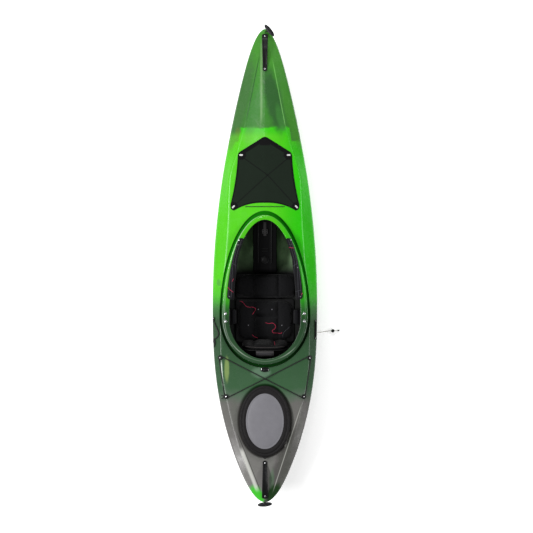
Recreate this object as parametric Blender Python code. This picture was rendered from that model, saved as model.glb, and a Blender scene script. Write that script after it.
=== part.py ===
"""Crossover kayak: a moulded shell with cockpit, seat, braces, hatch, drop-down skeg and deck fittings.

The bow points along +Y, the deck faces +Z and the flat of the keel lies on z = 0.  Lengths are metres.
"""
import math

import bpy
import bmesh
from mathutils import Matrix, Vector
from mathutils.bvhtree import BVHTree

# Hull form
HULL_LENGTH = 3.622
HULL_BEAM = 0.804
HULL_WALL = 0.005
WIDEST_Y = -0.290
BOW_FULLNESS = (2.0, 0.895, 0.28, 4.0)
STERN_FULLNESS = (2.6, 0.86, 0.25, 5.0)
GUNWALE_HEIGHT = 0.235
BOW_SHEER_RISE = 0.085
STERN_SHEER_RISE = 0.045
KEEL_FLAT_FRONT = 0.80
KEEL_FLAT_BACK = -0.84
KEEL_FLAT_HALF = 0.130
BOW_ROCKER = 0.085
STERN_ROCKER = 0.060
STEM_SWEEP = 0.24
STERN_SWEEP = 0.19
CHINE_HEIGHT = 0.055
GUNWALE_ROUNDING = 0.28
CHINE_SHARE_MIDDLE = 0.80
CHINE_SHARE_END = 0.45
SOLID_END = 0.100

# Deck lines: share of the half length from midships, then centre height, ridge half-width, ridge height
DECK_LINES = (
    (-1.00, 0.272, 0.000, 0.270),
    (-0.95, 0.292, 0.045, 0.288),
    (-0.80, 0.302, 0.170, 0.292),
    (-0.60, 0.310, 0.275, 0.299),
    (-0.40, 0.316, 0.335, 0.305),
    (-0.18, 0.330, 0.342, 0.315),
    (0.03, 0.345, 0.300, 0.325),
    (0.20, 0.362, 0.281, 0.334),
    (0.36, 0.366, 0.272, 0.337),
    (0.49, 0.362, 0.205, 0.343),
    (0.62, 0.358, 0.140, 0.347),
    (0.90, 0.350, 0.045, 0.346),
    (1.00, 0.336, 0.000, 0.334),
)

# Clearances
TOUCH_GAP = 0.0003
DECK_GAP = 0.0004
RUN_GAP = 0.0010

# Cockpit rim
COCKPIT_Y = -0.398
COCKPIT_HALF = 0.273
COCKPIT_FRONT = 0.750
COCKPIT_BACK = 0.312
RIM_HEIGHT = 0.356
RIM_SLOPE = 0.045
RIM_THICKNESS = 0.006
RIM_WIDTH = 0.054
RIM_LIP = 0.010
RISER_INNER = 0.040
RISER_WALL = 0.005

# Rear hatch
HATCH_Y = -1.185
HATCH_HALF = 0.195
HATCH_HALF_LENGTH = 0.272
HATCH_NECK_INSET = 0.035
HATCH_NECK_WALL = 0.006
HATCH_NECK_TOP = 0.3255
HATCH_NECK_BOTTOM = 0.268
HATCH_COVER_THICKNESS = 0.009
HATCH_SKIRT_DEPTH = 0.008
HATCH_PANEL_HALF = (0.145, 0.212)
HATCH_PANEL_EDGE = 0.0045
HATCH_PANEL_CROWN = 0.009
HATCH_TAB_LENGTH = 0.018

# Skeg
SKEG_PIVOT_Y = -1.425
SKEG_PIVOT_RISE = 0.016
SKEG_LENGTH = 0.225
SKEG_CREST = (-0.100, 0.081)
SKEG_SLOT_FRONT = 0.016
SKEG_SLOT_BACK = 0.012
SKEG_FLUSH = 0.004
SKEG_THICKNESS = 0.008
SKEG_SIDE_GAP = 0.003
SKEG_BOX_WALL = 0.003
SKEG_BOX_HEIGHT = 0.108
SKEG_PIN_RADIUS = 0.003
PIN_GAP = 0.0004
SKEG_TUBE_RADIUS = 0.004

# Seat
SEAT_BACK_Y = -0.590
SEAT_FRONT_Y = -0.062
SEAT_SPLIT_Y = -0.252
SEAT_HALF = 0.225
SEAT_TRAY_HEIGHT = 0.048
SEAT_PLATE = 0.005
SEAT_RUNNER_X = 0.100
SEAT_RUNNER_WIDTH = 0.020
HANGER_FRONT_Y = -0.335
HANGER_BACK_Y = -0.450
HANGER_WAIST = ((0.250, 0.120), (0.264, 0.200))
RIM_BOLT_YS = (-0.363, -0.421)
RIM_BOLT_SETBACK = 0.028
BOLT_RADIUS = 0.003
BOLT_GAP = 0.0009
BOLT_HEAD_RADIUS = 0.0105
BOLT_LENGTH = 0.024
LIFTER_GAP = 0.005
RUNNER_BACK_Y = -0.570
RUNNER_FRONT_Y = -0.112
SEAT_PAD_THICKNESS = 0.036
SEAT_PAD_GAP = 0.016
SEAT_PAD_INSET = 0.020
SEAT_CHANNELS = (-0.345, 0.345)
LIFTER_PAD_THICKNESS = 0.034
HIP_PAD_HEIGHTS = (0.126, 0.196)
HIP_PAD_FACE = ((0.238, 0.198), (0.226, 0.185), (0.220, 0.140), (0.228, 0.124))
BACKREST_PIVOT_Y = -0.592
BACKREST_PIVOT_Z = 0.078
BACKREST_HEIGHT = 0.245
BACKREST_HALF = 0.185
BACKREST_LEAN = 12.0
BACK_HINGE_X = 0.155
EAR_X = 0.160
EAR_HALF = 0.012
EAR_PIN_RADIUS = 0.004
EAR_PIN_REACH = 0.014
EAR_PIN_GAP = 0.0006
BACKREST_PAD_THICKNESS = 0.034
BACK_LUG = ((-0.009, -0.008), (0.004, -0.010), (0.010, -0.004), (0.010, 0.004), (0.004, 0.012),
            (-0.004, 0.022))
BACK_STRAP_HALF = 0.070
STRAP_THICKNESS = 0.0025

# Thigh braces
BRACE_FRONT_Y = 0.213
BRACE_BACK_Y = -0.253
BRACE_LINE = ((0.020, 0.0), (-0.014, 0.0), (-0.0205, -0.012), (-0.0215, -0.050), (-0.0245, -0.078))
BRACE_THICKNESS = 0.004
BRACE_PAD_THICKNESS = 0.007

# Step-out pillar
PILLAR_HALF = 0.092
PILLAR_FRONT_Y = 0.620
PILLAR_TOP_Y = 0.500
PILLAR_FACE = ((0.430, 0.300), (0.360, 0.262), (0.020, 0.150), (-0.028, 0.132), (-0.046, 0.112))
PILLAR_WALL = 0.005
PILLAR_RIB_X = 0.052
PILLAR_BOSS = ((0.0, -0.002), (0.030, -0.002), (0.030, 0.005), (0.025, 0.008), (0.0, 0.008))

# Foot braces
RAIL_FRONT_Y = 0.900
RAIL_BACK_Y = 0.430
RAIL_HEIGHT = 0.026
RAIL_Z = 0.150
RAIL_DEPTH = 0.016
PEDAL_Y = 0.640
PEDAL_SHOE = ((0.0, -0.045), (0.010, -0.045), (0.014, -0.012), (0.034, -0.005), (0.034, 0.005),
              (0.014, 0.006), (0.010, 0.045), (0.0, 0.045))
PEDAL_WIDTH = 0.075
PEDAL_HEIGHT = 0.110

# Deck cover
COVER_APEX_Y = 0.990
COVER_SHOULDER = (0.206, 0.862)
COVER_LOBE_OUT = (0.262, 0.452)
COVER_LOBE_IN = (0.234, 0.424)
COVER_MIDDLE_Y = 0.481
COVER_LIFT = 0.0035
COVER_CORD_RADIUS = 0.0025
COVER_CORD_HALF = 0.150
COVER_CORD_Y = 0.4525
COVER_ANCHORS = (("front", 0.1805, 0.846, 0.0), ("rear", 0.2395, 0.452, 45.0))
ANCHOR_HALF = (0.0165, 0.0065)
ANCHOR_THICKNESS = 0.004

# Carry handles and grips
BOW_HANDLE_YS = (1.772, 1.484)
STERN_HANDLE_YS = (-1.783, -1.489)
HANDLE_TIP_WIDTH = 0.047
HANDLE_INNER_WIDTH = 0.032
HANDLE_THICKNESS = 0.008
HANDLE_RISE = 0.026
HANDLE_FOOT = 0.036
GRIP_HALF_LENGTH = 0.056
GRIP_HALF_WIDTH = 0.0175
GRIP_HALF_HEIGHT = 0.010
GRIP_CORD_RADIUS = 0.0035
BOW_GRIP_X = 0.034
BOW_GRIP_OVERHANG = -0.016
BOW_GRIP_TURN = -51.5
BOW_CORD_INSET = 0.026
STERN_GRIP_OVERHANG = 0.0115
STERN_GRIP_TURN = 5.0
STERN_CORD_INSET = 0.014

# Rear deck bungee: its corners are the inset from the hull's widest line, then y
BUNGEE_FRONT = (0.064, -0.701)
BUNGEE_BACK = (0.108, -0.998)
BUNGEE_RADIUS = 0.003
BUTTON_FOOT_RADIUS = 0.012
BUTTON_STEM_RADIUS = 0.007
BUTTON_HEAD_RADIUS = 0.0175
BUTTON_CORD_HEIGHT = 0.0085

# Deck fittings: those near an edge have their inset from the hull's widest line, then y
LOOP_Y = -0.7925
LOOP_PLATE_HALF = (0.034, 0.0185)
LOOP_OUTER = 0.021
LOOP_INNER = 0.0125
LOOP_WIDTH = 0.011
FAIRLEAD_INSET = 0.016
FAIRLEAD_Y = -0.488
FAIRLEAD_LENGTH = 0.146
FAIRLEAD_HALF = 0.009
FAIRLEAD_HEIGHT = 0.009
TUBE_ROUTE = ((0.340, -0.60, 0.205), (0.325, -0.72, 0.205), (0.300, -0.92, 0.205), (0.255, -1.12, 0.200),
              (0.175, -1.32, 0.192), (0.060, -1.45, 0.188))
CORD_ROUTE = ((0.430, -0.511, 0.190), (0.440, -0.514, 0.100), (0.453, -0.513, 0.022), (0.476, -0.510, 0.0035))
CORD_RADIUS = 0.0025
BEAD_RADIUS = 0.0135
BEAD_BORE_GAP = 0.0006
KEEPER_EYE_PLACE = (0.0125, -0.411)
KEEPER_EYE = ((-0.007, -0.018), (0.007, -0.018), (0.008, 0.0), (0.007, 0.018), (-0.007, 0.018), (-0.008, 0.0))
KEEPER_HOOK_PLACE = (0.0155, -0.566)
KEEPER_HOOK = ((-0.006, -0.022), (0.004, -0.024), (0.008, -0.012), (0.006, 0.006), (-0.006, 0.007),
               (-0.009, -0.008))
KEEPER_ROUTE = ((0.0150, -0.433), (0.0240, -0.455), (0.0380, -0.485), (0.0485, -0.511), (0.0460, -0.530),
                (0.0340, -0.548), (0.0225, -0.558))
BULKHEAD_Y = -0.835
BULKHEAD_THICKNESS = 0.050


def clear_scene():
    for item in list(bpy.data.objects):
        bpy.data.objects.remove(item, do_unlink=True)


def make_material(name, color, roughness, metallic=0.0):
    material = bpy.data.materials.new(name)
    material.use_nodes = True
    shader = material.node_tree.nodes["Principled BSDF"]
    shader.inputs["Base Color"].default_value = (*color, 1.0)
    shader.inputs["Roughness"].default_value = roughness
    shader.inputs["Metallic"].default_value = metallic
    material.diffuse_color = (*color, 1.0)
    return material


# Fairing, outlines and small geometry helpers

def fair(points, x):
    """Monotone cubic curve through the points, read at x."""
    xs = [p[0] for p in points]
    ys = [p[1] for p in points]
    x = min(max(x, xs[0]), xs[-1])
    slopes = [(ys[i + 1] - ys[i]) / (xs[i + 1] - xs[i]) for i in range(len(xs) - 1)]
    tangents = [slopes[0]]
    for before, after in zip(slopes, slopes[1:]):
        tangents.append(0.0 if before * after <= 0.0 else 2.0 * before * after / (before + after))
    tangents.append(slopes[-1])
    i = max(k for k in range(len(xs) - 1) if xs[k] <= x)
    width = xs[i + 1] - xs[i]
    t = (x - xs[i]) / width
    return (ys[i] * (1 + 2 * t) * (1 - t) ** 2 + tangents[i] * width * t * (1 - t) ** 2
            + ys[i + 1] * t * t * (3 - 2 * t) + tangents[i + 1] * width * t * t * (t - 1))


def smooth_path(points, steps):
    """Catmull-Rom curve through a route's own points."""
    ends = [2 * points[0] - points[1], *points, 2 * points[-1] - points[-2]]
    path = []
    for i in range(1, len(ends) - 2):
        a, b, c, d = ends[i - 1:i + 3]
        for k in range(steps):
            t = k / steps
            path.append(0.5 * (2 * b + (c - a) * t + (2 * a - 5 * b + 4 * c - d) * t * t
                               + (3 * b - a - 3 * c + d) * t ** 3))
    return path + [points[-1]]


def bend(start, corner, end, steps):
    """Points of a quadratic curve from start to end that is drawn towards the corner."""
    points = []
    for k in range(steps + 1):
        t = k / steps
        points.append(start * (1 - t) ** 2 + corner * 2 * t * (1 - t) + end * t * t)
    return points


def round_corner(before, corner, after, share, steps):
    return bend(corner.lerp(before, share), corner, corner.lerp(after, share), steps)


def circle(center, radius, count=10):
    points = []
    for k in range(count):
        angle = 2 * math.pi * k / count
        points.append(Vector((center.x + radius * math.cos(angle), center.y + radius * math.sin(angle))))
    return points


def ellipse(center_y, half_x, half_front, half_back, count):
    points = []
    for k in range(count):
        angle = 2 * math.pi * k / count
        reach = half_front if math.sin(angle) > 0 else half_back
        points.append(Vector((half_x * math.cos(angle), center_y + reach * math.sin(angle))))
    return points


# Hull lines

def end_way(y):
    """Share of the way from the widest station to the nearer end, and whether that end is the bow."""
    if y >= WIDEST_Y:
        return min((y - WIDEST_Y) / (HULL_LENGTH / 2 - WIDEST_Y), 1.0), True
    return min((WIDEST_Y - y) / (HULL_LENGTH / 2 + WIDEST_Y), 1.0), False


def beam_share(y):
    way, bow = end_way(y)
    power, start, drop, sharpness = BOW_FULLNESS if bow else STERN_FULLNESS
    return max(1 - way ** power, 0.0) ** (start - drop * way ** sharpness)


def half_beam(y):
    return HULL_BEAM / 2 * beam_share(y)


def edge_x(inset):
    """Where the inset from the hull's widest line lies on the right side."""
    return HULL_BEAM / 2 - inset


def sweep_share(y):
    """Share of the hull's depth that is left where the keel sweeps up into the stem."""
    bow = y > 0
    sweep = STEM_SWEEP if bow else STERN_SWEEP
    into = (abs(y) - (HULL_LENGTH / 2 - sweep)) / sweep
    return math.sqrt(max(1 - max(into, 0.0) ** 2, 0.0))


def gunwale_height(y):
    rise = BOW_SHEER_RISE if y > 0 else STERN_SHEER_RISE
    return GUNWALE_HEIGHT + rise * (2 * y / HULL_LENGTH) ** 2


def keel_height(y):
    past, reach, rocker = 0.0, 1.0, 0.0
    if y > KEEL_FLAT_FRONT:
        past, reach, rocker = y - KEEL_FLAT_FRONT, HULL_LENGTH / 2 - KEEL_FLAT_FRONT, BOW_ROCKER
    if y < KEEL_FLAT_BACK:
        past, reach, rocker = KEEL_FLAT_BACK - y, HULL_LENGTH / 2 + KEEL_FLAT_BACK, STERN_ROCKER
    level = rocker * (past / reach) ** 2
    return gunwale_height(y) - (gunwale_height(y) - level) * sweep_share(y)


def deck_line(y, column):
    share = 2 * y / HULL_LENGTH
    return fair([(row[0], row[column]) for row in DECK_LINES], share)


def half_section(y):
    """Right half of the hull's section at y, from the keel up to the middle of the deck, as (x, z)."""
    share = beam_share(y)
    beam = half_beam(y)
    keel = keel_height(y)
    gunwale = gunwale_height(y)
    way = end_way(y)[0]
    chine_share = CHINE_SHARE_MIDDLE - (CHINE_SHARE_MIDDLE - CHINE_SHARE_END) * way ** 2
    lift = min(1.0, share * 4)
    middle = Vector((0.0, keel))
    flat = Vector((min(KEEL_FLAT_HALF, beam * 0.4), keel))
    chine = Vector((beam * chine_share, keel + CHINE_HEIGHT * (gunwale - keel) / GUNWALE_HEIGHT))
    ridge_x = min(deck_line(y, 2), beam * 0.86)
    ridge = Vector((ridge_x, gunwale + (deck_line(y, 3) - gunwale) * lift))
    lost = GUNWALE_ROUNDING / 4
    side_x = (beam - lost * (chine.x + ridge.x)) / (1 - 2 * lost)
    side = Vector((side_x, gunwale))
    top = Vector((0.0, gunwale + (deck_line(y, 1) - gunwale) * lift))
    points = [middle, flat]
    points += round_corner(flat, chine, side, 0.30, 3)
    points += round_corner(chine, side, ridge, GUNWALE_ROUNDING, 4)
    points += round_corner(side, ridge, top, 0.22, 2)
    points += [top.lerp(ridge, 0.4) + Vector((0.0, 0.12 * (top.y - ridge.y))), top]
    return points


def offset_half(points, distance):
    """A half section moved out by the distance, square to itself."""
    moved = []
    for i, point in enumerate(points):
        before = points[i - 1] if i else Vector((-points[1].x, points[1].y))
        after = points[i + 1] if i + 1 < len(points) else Vector((-points[-2].x, points[-2].y))
        first = (point - before).normalized()
        second = (after - point).normalized()
        normal = Vector((first.y + second.y, -first.x - second.x)).normalized()
        spread = max(normal.dot(Vector((first.y, -first.x))), 0.5)
        moved.append(point + normal * (distance / spread))
    return moved


def hull_stations():
    """Station positions, closer together towards the two ends."""
    bow = [HULL_LENGTH / 2 - (HULL_LENGTH / 2 - WIDEST_Y) * (1 - k / 17) ** 1.5 for k in range(1, 17)]
    stern = [-HULL_LENGTH / 2 + (HULL_LENGTH / 2 + WIDEST_Y) * (1 - k / 13) ** 1.5 for k in range(1, 13)]
    return sorted(stern + [WIDEST_Y] + bow + [KEEL_FLAT_FRONT, KEEL_FLAT_BACK])


def ring_at(y, distance):
    half = offset_half(half_section(y), distance)
    right = [Vector((p.x, y, p.y)) for p in half]
    left = [Vector((-p.x, y, p.y)) for p in reversed(half[1:-1])]
    return right + left


def band_faces(first, second, count):
    """Triangles between two rings, whose diagonals mirror each other on the left and right halves."""
    faces = []
    for k in range(count):
        n = (k + 1) % count
        a, b, c, d = first + k, second + k, second + n, first + n
        faces += [(a, b, c), (a, c, d)] if k < count / 2 else [(a, b, d), (b, c, d)]
    return faces


def loft_data(rings, tips=()):
    """Vertices and faces of a closed body through the rings; tips close its ends, or flat caps do."""
    count = len(rings[0])
    verts = [point for ring in rings for point in ring]
    faces = []
    for i in range(len(rings) - 1):
        faces += band_faces(i * count, (i + 1) * count, count)
    last = (len(rings) - 1) * count
    if tips:
        verts += list(tips)
        first_tip, last_tip = len(verts) - 2, len(verts) - 1
        faces += [(first_tip, k, (k + 1) % count) for k in range(count)]
        faces += [(last_tip, last + (k + 1) % count, last + k) for k in range(count)]
    else:
        faces.append(tuple(range(count)))
        faces.append(tuple(last + k for k in reversed(range(count))))
    return verts, faces


def hull_data(distance):
    """The outside of the hull and deck, moved out by the distance."""
    rings = [ring_at(y, distance) for y in hull_stations()]
    reach = HULL_LENGTH / 2 + max(distance, 0.0)
    tips = (Vector((0, -reach, gunwale_height(-reach))), Vector((0, reach, gunwale_height(reach))))
    return loft_data(rings, tips)


def cavity_data(distance):
    """The inside of the shell, drawn in by the distance."""
    reach = HULL_LENGTH / 2 - SOLID_END
    ys = [y for y in hull_stations() if abs(y) < reach - 0.02]
    ys = [-reach + distance - HULL_WALL] + ys + [reach - distance + HULL_WALL]
    return loft_data([ring_at(y, -distance) for y in ys])


DECK_TREE = None


def deck_at(x, y):
    """The point and the outward normal of the deck above (x, y)."""
    point, normal, _, _ = DECK_TREE.ray_cast(Vector((x, y, 1.0)), Vector((0.0, 0.0, -1.0)))
    return point, normal


def deck_frame(x, y, lift=0.0):
    """A frame on the deck: Z along the deck's normal, Y as near to the bow as that allows."""
    point, normal = deck_at(x, y)
    side = Vector((0.0, 1.0, 0.0)).cross(normal).normalized()
    ahead = normal.cross(side)
    turn = Matrix((side, ahead, normal)).transposed().to_4x4()
    return Matrix.Translation(point + normal * lift) @ turn


def rim_height(y):
    return RIM_HEIGHT + RIM_SLOPE * (y - COCKPIT_Y)


def rim_point(angle, setback):
    """A point of the cockpit outline, moved out by the setback."""
    reach = COCKPIT_FRONT if math.sin(angle) > 0 else COCKPIT_BACK
    x = (COCKPIT_HALF + setback) * math.cos(angle)
    return x, COCKPIT_Y + (reach + setback) * math.sin(angle)


def rim_angle(y):
    """Angle on the right side of the cockpit outline at y."""
    reach = COCKPIT_FRONT if y > COCKPIT_Y else COCKPIT_BACK
    return math.asin((y - COCKPIT_Y) / reach)


# Objects

def add_object(name, verts, faces, material):
    mesh = bpy.data.meshes.new(name)
    mesh.from_pydata([tuple(v) for v in verts], [], faces)
    mesh.validate()
    work = bmesh.new()
    work.from_mesh(mesh)
    bmesh.ops.recalc_face_normals(work, faces=work.faces)
    work.to_mesh(mesh)
    work.free()
    item = bpy.data.objects.new(name, mesh)
    bpy.context.collection.objects.link(item)
    if material:
        mesh.materials.append(material)
    return item


def smooth(item, angle=35.0):
    item.data.shade_smooth()
    item.data.set_sharp_from_angle(angle=math.radians(angle))
    return item


def as_cutter(item):
    item.hide_render = True
    item.display_type = "WIRE"
    return item


def boolean(target, other, operation):
    modifier = target.modifiers.new(operation.lower() + "_" + other.name, "BOOLEAN")
    modifier.operation = operation
    modifier.solver = "EXACT"
    modifier.object = other
    return target


def cut(target, cutter):
    return boolean(target, cutter, "DIFFERENCE")


def join(target, other):
    return boolean(target, as_cutter(other), "UNION")


def keep_inside(target, cutter):
    return boolean(target, cutter, "INTERSECT")


def add_prism(name, outline, low, high, material=None):
    """A flat outline of (x, y) points made into a plate between two heights."""
    count = len(outline)
    verts = [Vector((p[0], p[1], low)) for p in outline] + [Vector((p[0], p[1], high)) for p in outline]
    faces = [tuple(reversed(range(count))), tuple(range(count, 2 * count))]
    faces += [(k, (k + 1) % count, count + (k + 1) % count, count + k) for k in range(count)]
    return add_object(name, verts, faces, material)


def add_side_prism(name, outline, left, right, material=None):
    """A side view outline of (y, z) points made into a plate between two x positions."""
    count = len(outline)
    verts = [Vector((left, p[0], p[1])) for p in outline] + [Vector((right, p[0], p[1])) for p in outline]
    faces = [tuple(range(count)), tuple(reversed(range(count, 2 * count)))]
    faces += [(k, count + k, count + (k + 1) % count, (k + 1) % count) for k in range(count)]
    return add_object(name, verts, faces, material)


def add_box(name, low, high, material=None):
    outline = [(low[0], low[1]), (high[0], low[1]), (high[0], high[1]), (low[0], high[1])]
    return add_prism(name, outline, low[2], high[2], material)


def add_loft(name, rings, material=None, cyclic=False):
    """A body through equal rings of points, closed on itself or by flat caps."""
    if not cyclic:
        verts, faces = loft_data(rings)
        return add_object(name, verts, faces, material)
    count = len(rings[0])
    verts = [point for ring in rings for point in ring]
    faces = []
    for i in range(len(rings)):
        faces += band_faces(i * count, (i + 1) % len(rings) * count, count)
    return add_object(name, verts, faces, material)


def add_turned(name, profile, segments, material=None):
    """A body turned about Z from (radius, height) points that start and end on the axis."""
    rings = []
    for k in range(segments):
        angle = 2 * math.pi * k / segments
        rings.append([(r * math.cos(angle), r * math.sin(angle), z) for r, z in profile[1:-1]])
    count = len(profile) - 2
    verts = [Vector(p) for ring in rings for p in ring]
    verts += [Vector((0, 0, profile[0][1])), Vector((0, 0, profile[-1][1]))]
    bottom, top = len(verts) - 2, len(verts) - 1
    faces = []
    for i in range(segments):
        j = (i + 1) % segments
        faces.append((bottom, j * count, i * count))
        faces.append((top, i * count + count - 1, j * count + count - 1))
        for k in range(count - 1):
            faces.append((i * count + k, j * count + k, j * count + k + 1, i * count + k + 1))
    return smooth(add_object(name, verts, faces, material))


def add_tube(name, points, radius, material, cyclic=False, swell=None):
    """A cord or tube along the points; swell gives each point's radius as a share."""
    curve = bpy.data.curves.new(name, "CURVE")
    curve.dimensions = "3D"
    curve.bevel_depth = radius
    curve.bevel_resolution = 2
    curve.use_fill_caps = not cyclic
    spline = curve.splines.new("POLY")
    spline.points.add(len(points) - 1)
    for i, point in enumerate(points):
        spline.points[i].co = (*point, 1.0)
        spline.points[i].radius = swell[i] if swell else 1.0
    spline.use_cyclic_u = cyclic
    curve.materials.append(material)
    item = bpy.data.objects.new(name, curve)
    bpy.context.collection.objects.link(item)
    return item


def as_mesh(item):
    """A curve object's own tube as a mesh object, for use as a cutter."""
    bpy.context.view_layer.update()
    mesh = bpy.data.meshes.new_from_object(item)
    copy = bpy.data.objects.new(item.name + "_mesh", mesh)
    bpy.context.collection.objects.link(copy)
    bpy.data.objects.remove(item, do_unlink=True)
    return copy


def thick_line(points, thickness):
    """A plate's section: a polyline of (across, up) points given a thickness."""
    left, right = [], []
    for i, point in enumerate(points):
        before = points[max(i - 1, 0)]
        after = points[min(i + 1, len(points) - 1)]
        first = (point - before).normalized() if i else (after - point).normalized()
        second = (after - point).normalized() if i + 1 < len(points) else first
        normal = Vector((-first.y - second.y, first.x + second.x)).normalized()
        spread = normal.dot(Vector((-first.y, first.x)))
        left.append(point + normal * (thickness / 2 / spread))
        right.append(point - normal * (thickness / 2 / spread))
    return left + right[::-1]


def place(item, matrix):
    item.matrix_world = matrix
    return item


def pivot_on(item, point):
    """Move an object's origin to its joint's axis and leave its shape where it is."""
    item.data.transform(Matrix.Translation(-Vector(point)))
    item.location = point
    return item


# Shell

def build_deck_forms():
    """Hidden forms that trim what lies on the deck or stands inside the shell."""
    global DECK_TREE
    verts, faces = hull_data(0.0)
    DECK_TREE = BVHTree.FromPolygons(verts, faces)
    forms = {}
    for name, distance in (("deck_clear", DECK_GAP), ("deck_cover_top", DECK_GAP + COVER_LIFT)):
        forms[name] = as_cutter(add_object(name, *hull_data(distance), None))
    forms["cavity_clear"] = as_cutter(add_object("cavity_clear", *cavity_data(HULL_WALL + DECK_GAP), None))
    return forms


def coaming_ring(count=44):
    rings = []
    for k in range(count):
        angle = 2 * math.pi * k / count
        foot_x, foot_y = rim_point(angle, RISER_INNER + RISER_WALL / 2)
        foot = deck_at(foot_x, foot_y)[0].z - HULL_WALL * 0.6
        outer = RISER_INNER + RISER_WALL
        section = (
            (0.0, 0.0), (RIM_WIDTH - 0.004, 0.0), (RIM_WIDTH, -0.004), (RIM_WIDTH - 0.003, -RIM_LIP),
            (outer, -RIM_LIP), (outer, None), (RISER_INNER, None), (RISER_INNER, -RIM_THICKNESS),
            (0.0, -RIM_THICKNESS),
        )
        ring = []
        for out, drop in section:
            x, y = rim_point(angle, out)
            ring.append(Vector((x, y, foot if drop is None else rim_height(y) + drop)))
        rings.append(ring)
    return rings


def hatch_outline(inset, count=36):
    return ellipse(HATCH_Y, HATCH_HALF - inset, HATCH_HALF_LENGTH - inset, HATCH_HALF_LENGTH - inset, count)


def rim_bolt_places():
    places = []
    for side in (-1, 1):
        for y in RIM_BOLT_YS:
            places.append((side, y, side * rim_point(rim_angle(y), RIM_BOLT_SETBACK)[0]))
    return places


def bolt_holes(name, radius):
    """Hidden drills through the rim and the seat's hanger tabs."""
    drills = []
    for i, (_, y, x) in enumerate(rim_bolt_places()):
        top = rim_height(y)
        outline = circle(Vector((x, y)), radius, 8)
        drills.append(as_cutter(add_prism(f"{name}_{i}", outline, top - BOLT_LENGTH, top + BOLT_LENGTH / 2)))
    return drills


def build_shell(material):
    shell = add_object("hull_shell", *hull_data(0.0), material)
    cut(shell, as_cutter(add_object("shell_cavity", *cavity_data(HULL_WALL), None)))
    opening = [rim_point(2 * math.pi * k / 44, RISER_INNER) for k in range(44)]
    cut(shell, as_cutter(add_prism("cockpit_cut", opening, 0.20, 0.50)))
    hatch_opening = hatch_outline(HATCH_NECK_INSET + HATCH_NECK_WALL)
    cut(shell, as_cutter(add_prism("hatch_cut", hatch_opening, 0.20, 0.40)))
    half = SKEG_THICKNESS / 2 + SKEG_SIDE_GAP
    front, back = skeg_slot_ends()
    slot_top = keel_height(SKEG_PIVOT_Y) + SKEG_BOX_HEIGHT - SKEG_BOX_WALL
    cut(shell, as_cutter(add_box("skeg_slot", (-half, back, -SKEG_LENGTH), (half, front, slot_top))))
    return shell


def build_coaming(material, forms):
    """The cockpit rim on its riser, which stands on the deck round the opening."""
    coaming = add_loft("coaming", coaming_ring(), material, cyclic=True)
    cut(coaming, forms["deck_clear"])
    for drill in bolt_holes("rim_drill", BOLT_RADIUS + BOLT_GAP):
        cut(coaming, drill)
    return coaming


def build_hatch_neck(material, forms):
    """The wall round the hatch opening, which the hatch cover caps."""
    outer = hatch_outline(HATCH_NECK_INSET)
    inner = hatch_outline(HATCH_NECK_INSET + HATCH_NECK_WALL)
    rings = []
    for o, i in zip(outer, inner):
        rings.append([Vector((o.x, o.y, HATCH_NECK_BOTTOM)), Vector((o.x, o.y, HATCH_NECK_TOP)),
                      Vector((i.x, i.y, HATCH_NECK_TOP)), Vector((i.x, i.y, HATCH_NECK_BOTTOM))])
    return cut(add_loft("hatch_neck", rings, material, cyclic=True), forms["deck_clear"])


def build_bulkhead(material, forms):
    front = BULKHEAD_Y + BULKHEAD_THICKNESS / 2
    bulkhead = add_box("rear_bulkhead", (-0.5, front - BULKHEAD_THICKNESS, -0.1), (0.5, front, 0.5), material)
    keep_inside(bulkhead, forms["cavity_clear"])
    hole = as_mesh(add_tube("tube_hole", skeg_tube_path(), SKEG_TUBE_RADIUS + RUN_GAP, material))
    return cut(bulkhead, as_cutter(hole))


# Seat

def tray_floor():
    return HULL_WALL + TOUCH_GAP


def build_seat_pan(material):
    tray_low = SEAT_TRAY_HEIGHT - SEAT_PLATE
    pan = add_box("seat_pan", (-SEAT_HALF, SEAT_BACK_Y, tray_low),
                  (SEAT_HALF, SEAT_SPLIT_Y - LIFTER_GAP, SEAT_TRAY_HEIGHT), material)
    under = tray_low - TOUCH_GAP
    sunk = tray_low + SEAT_PLATE / 2
    for side in (-1, 1):
        x = side * SEAT_RUNNER_X
        step = SEAT_SPLIT_Y - 2 * LIFTER_GAP
        outline = [(RUNNER_BACK_Y, tray_floor()), (RUNNER_FRONT_Y, tray_floor()), (RUNNER_FRONT_Y, under),
                   (step, under), (step, sunk), (RUNNER_BACK_Y, sunk)]
        half = side * SEAT_RUNNER_WIDTH / 2
        join(pan, add_side_prism(f"runner_{side}", outline, x - half, x + half))
        join(pan, build_hanger(side))
        join(pan, build_back_ear(side))
    for drill in bolt_holes("tab_drill", BOLT_RADIUS + BOLT_GAP):
        cut(pan, drill)
    return pan


def build_back_ear(side):
    """An ear with a stub pin at the rear of the tray, on which the backrest tilts."""
    y, z = BACKREST_PIVOT_Y, BACKREST_PIVOT_Z
    low = SEAT_TRAY_HEIGHT - SEAT_PLATE / 2
    outline = [(y - EAR_HALF, low), (y + EAR_HALF, low), (y + EAR_HALF, z + EAR_HALF * 0.8),
               (y + EAR_HALF / 2, z + EAR_HALF * 1.2), (y - EAR_HALF / 2, z + EAR_HALF * 1.2),
               (y - EAR_HALF, z + EAR_HALF * 0.8)]
    inner = side * EAR_X
    ear = add_side_prism(f"back_ear_{side}", outline, inner, inner + side * SEAT_PLATE)
    pin = circle(Vector((y, z)), EAR_PIN_RADIUS)
    return join(ear, add_side_prism(f"back_pin_{side}", pin, inner - side * EAR_PIN_REACH,
                                    inner + side * SEAT_PLATE / 2))


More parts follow.
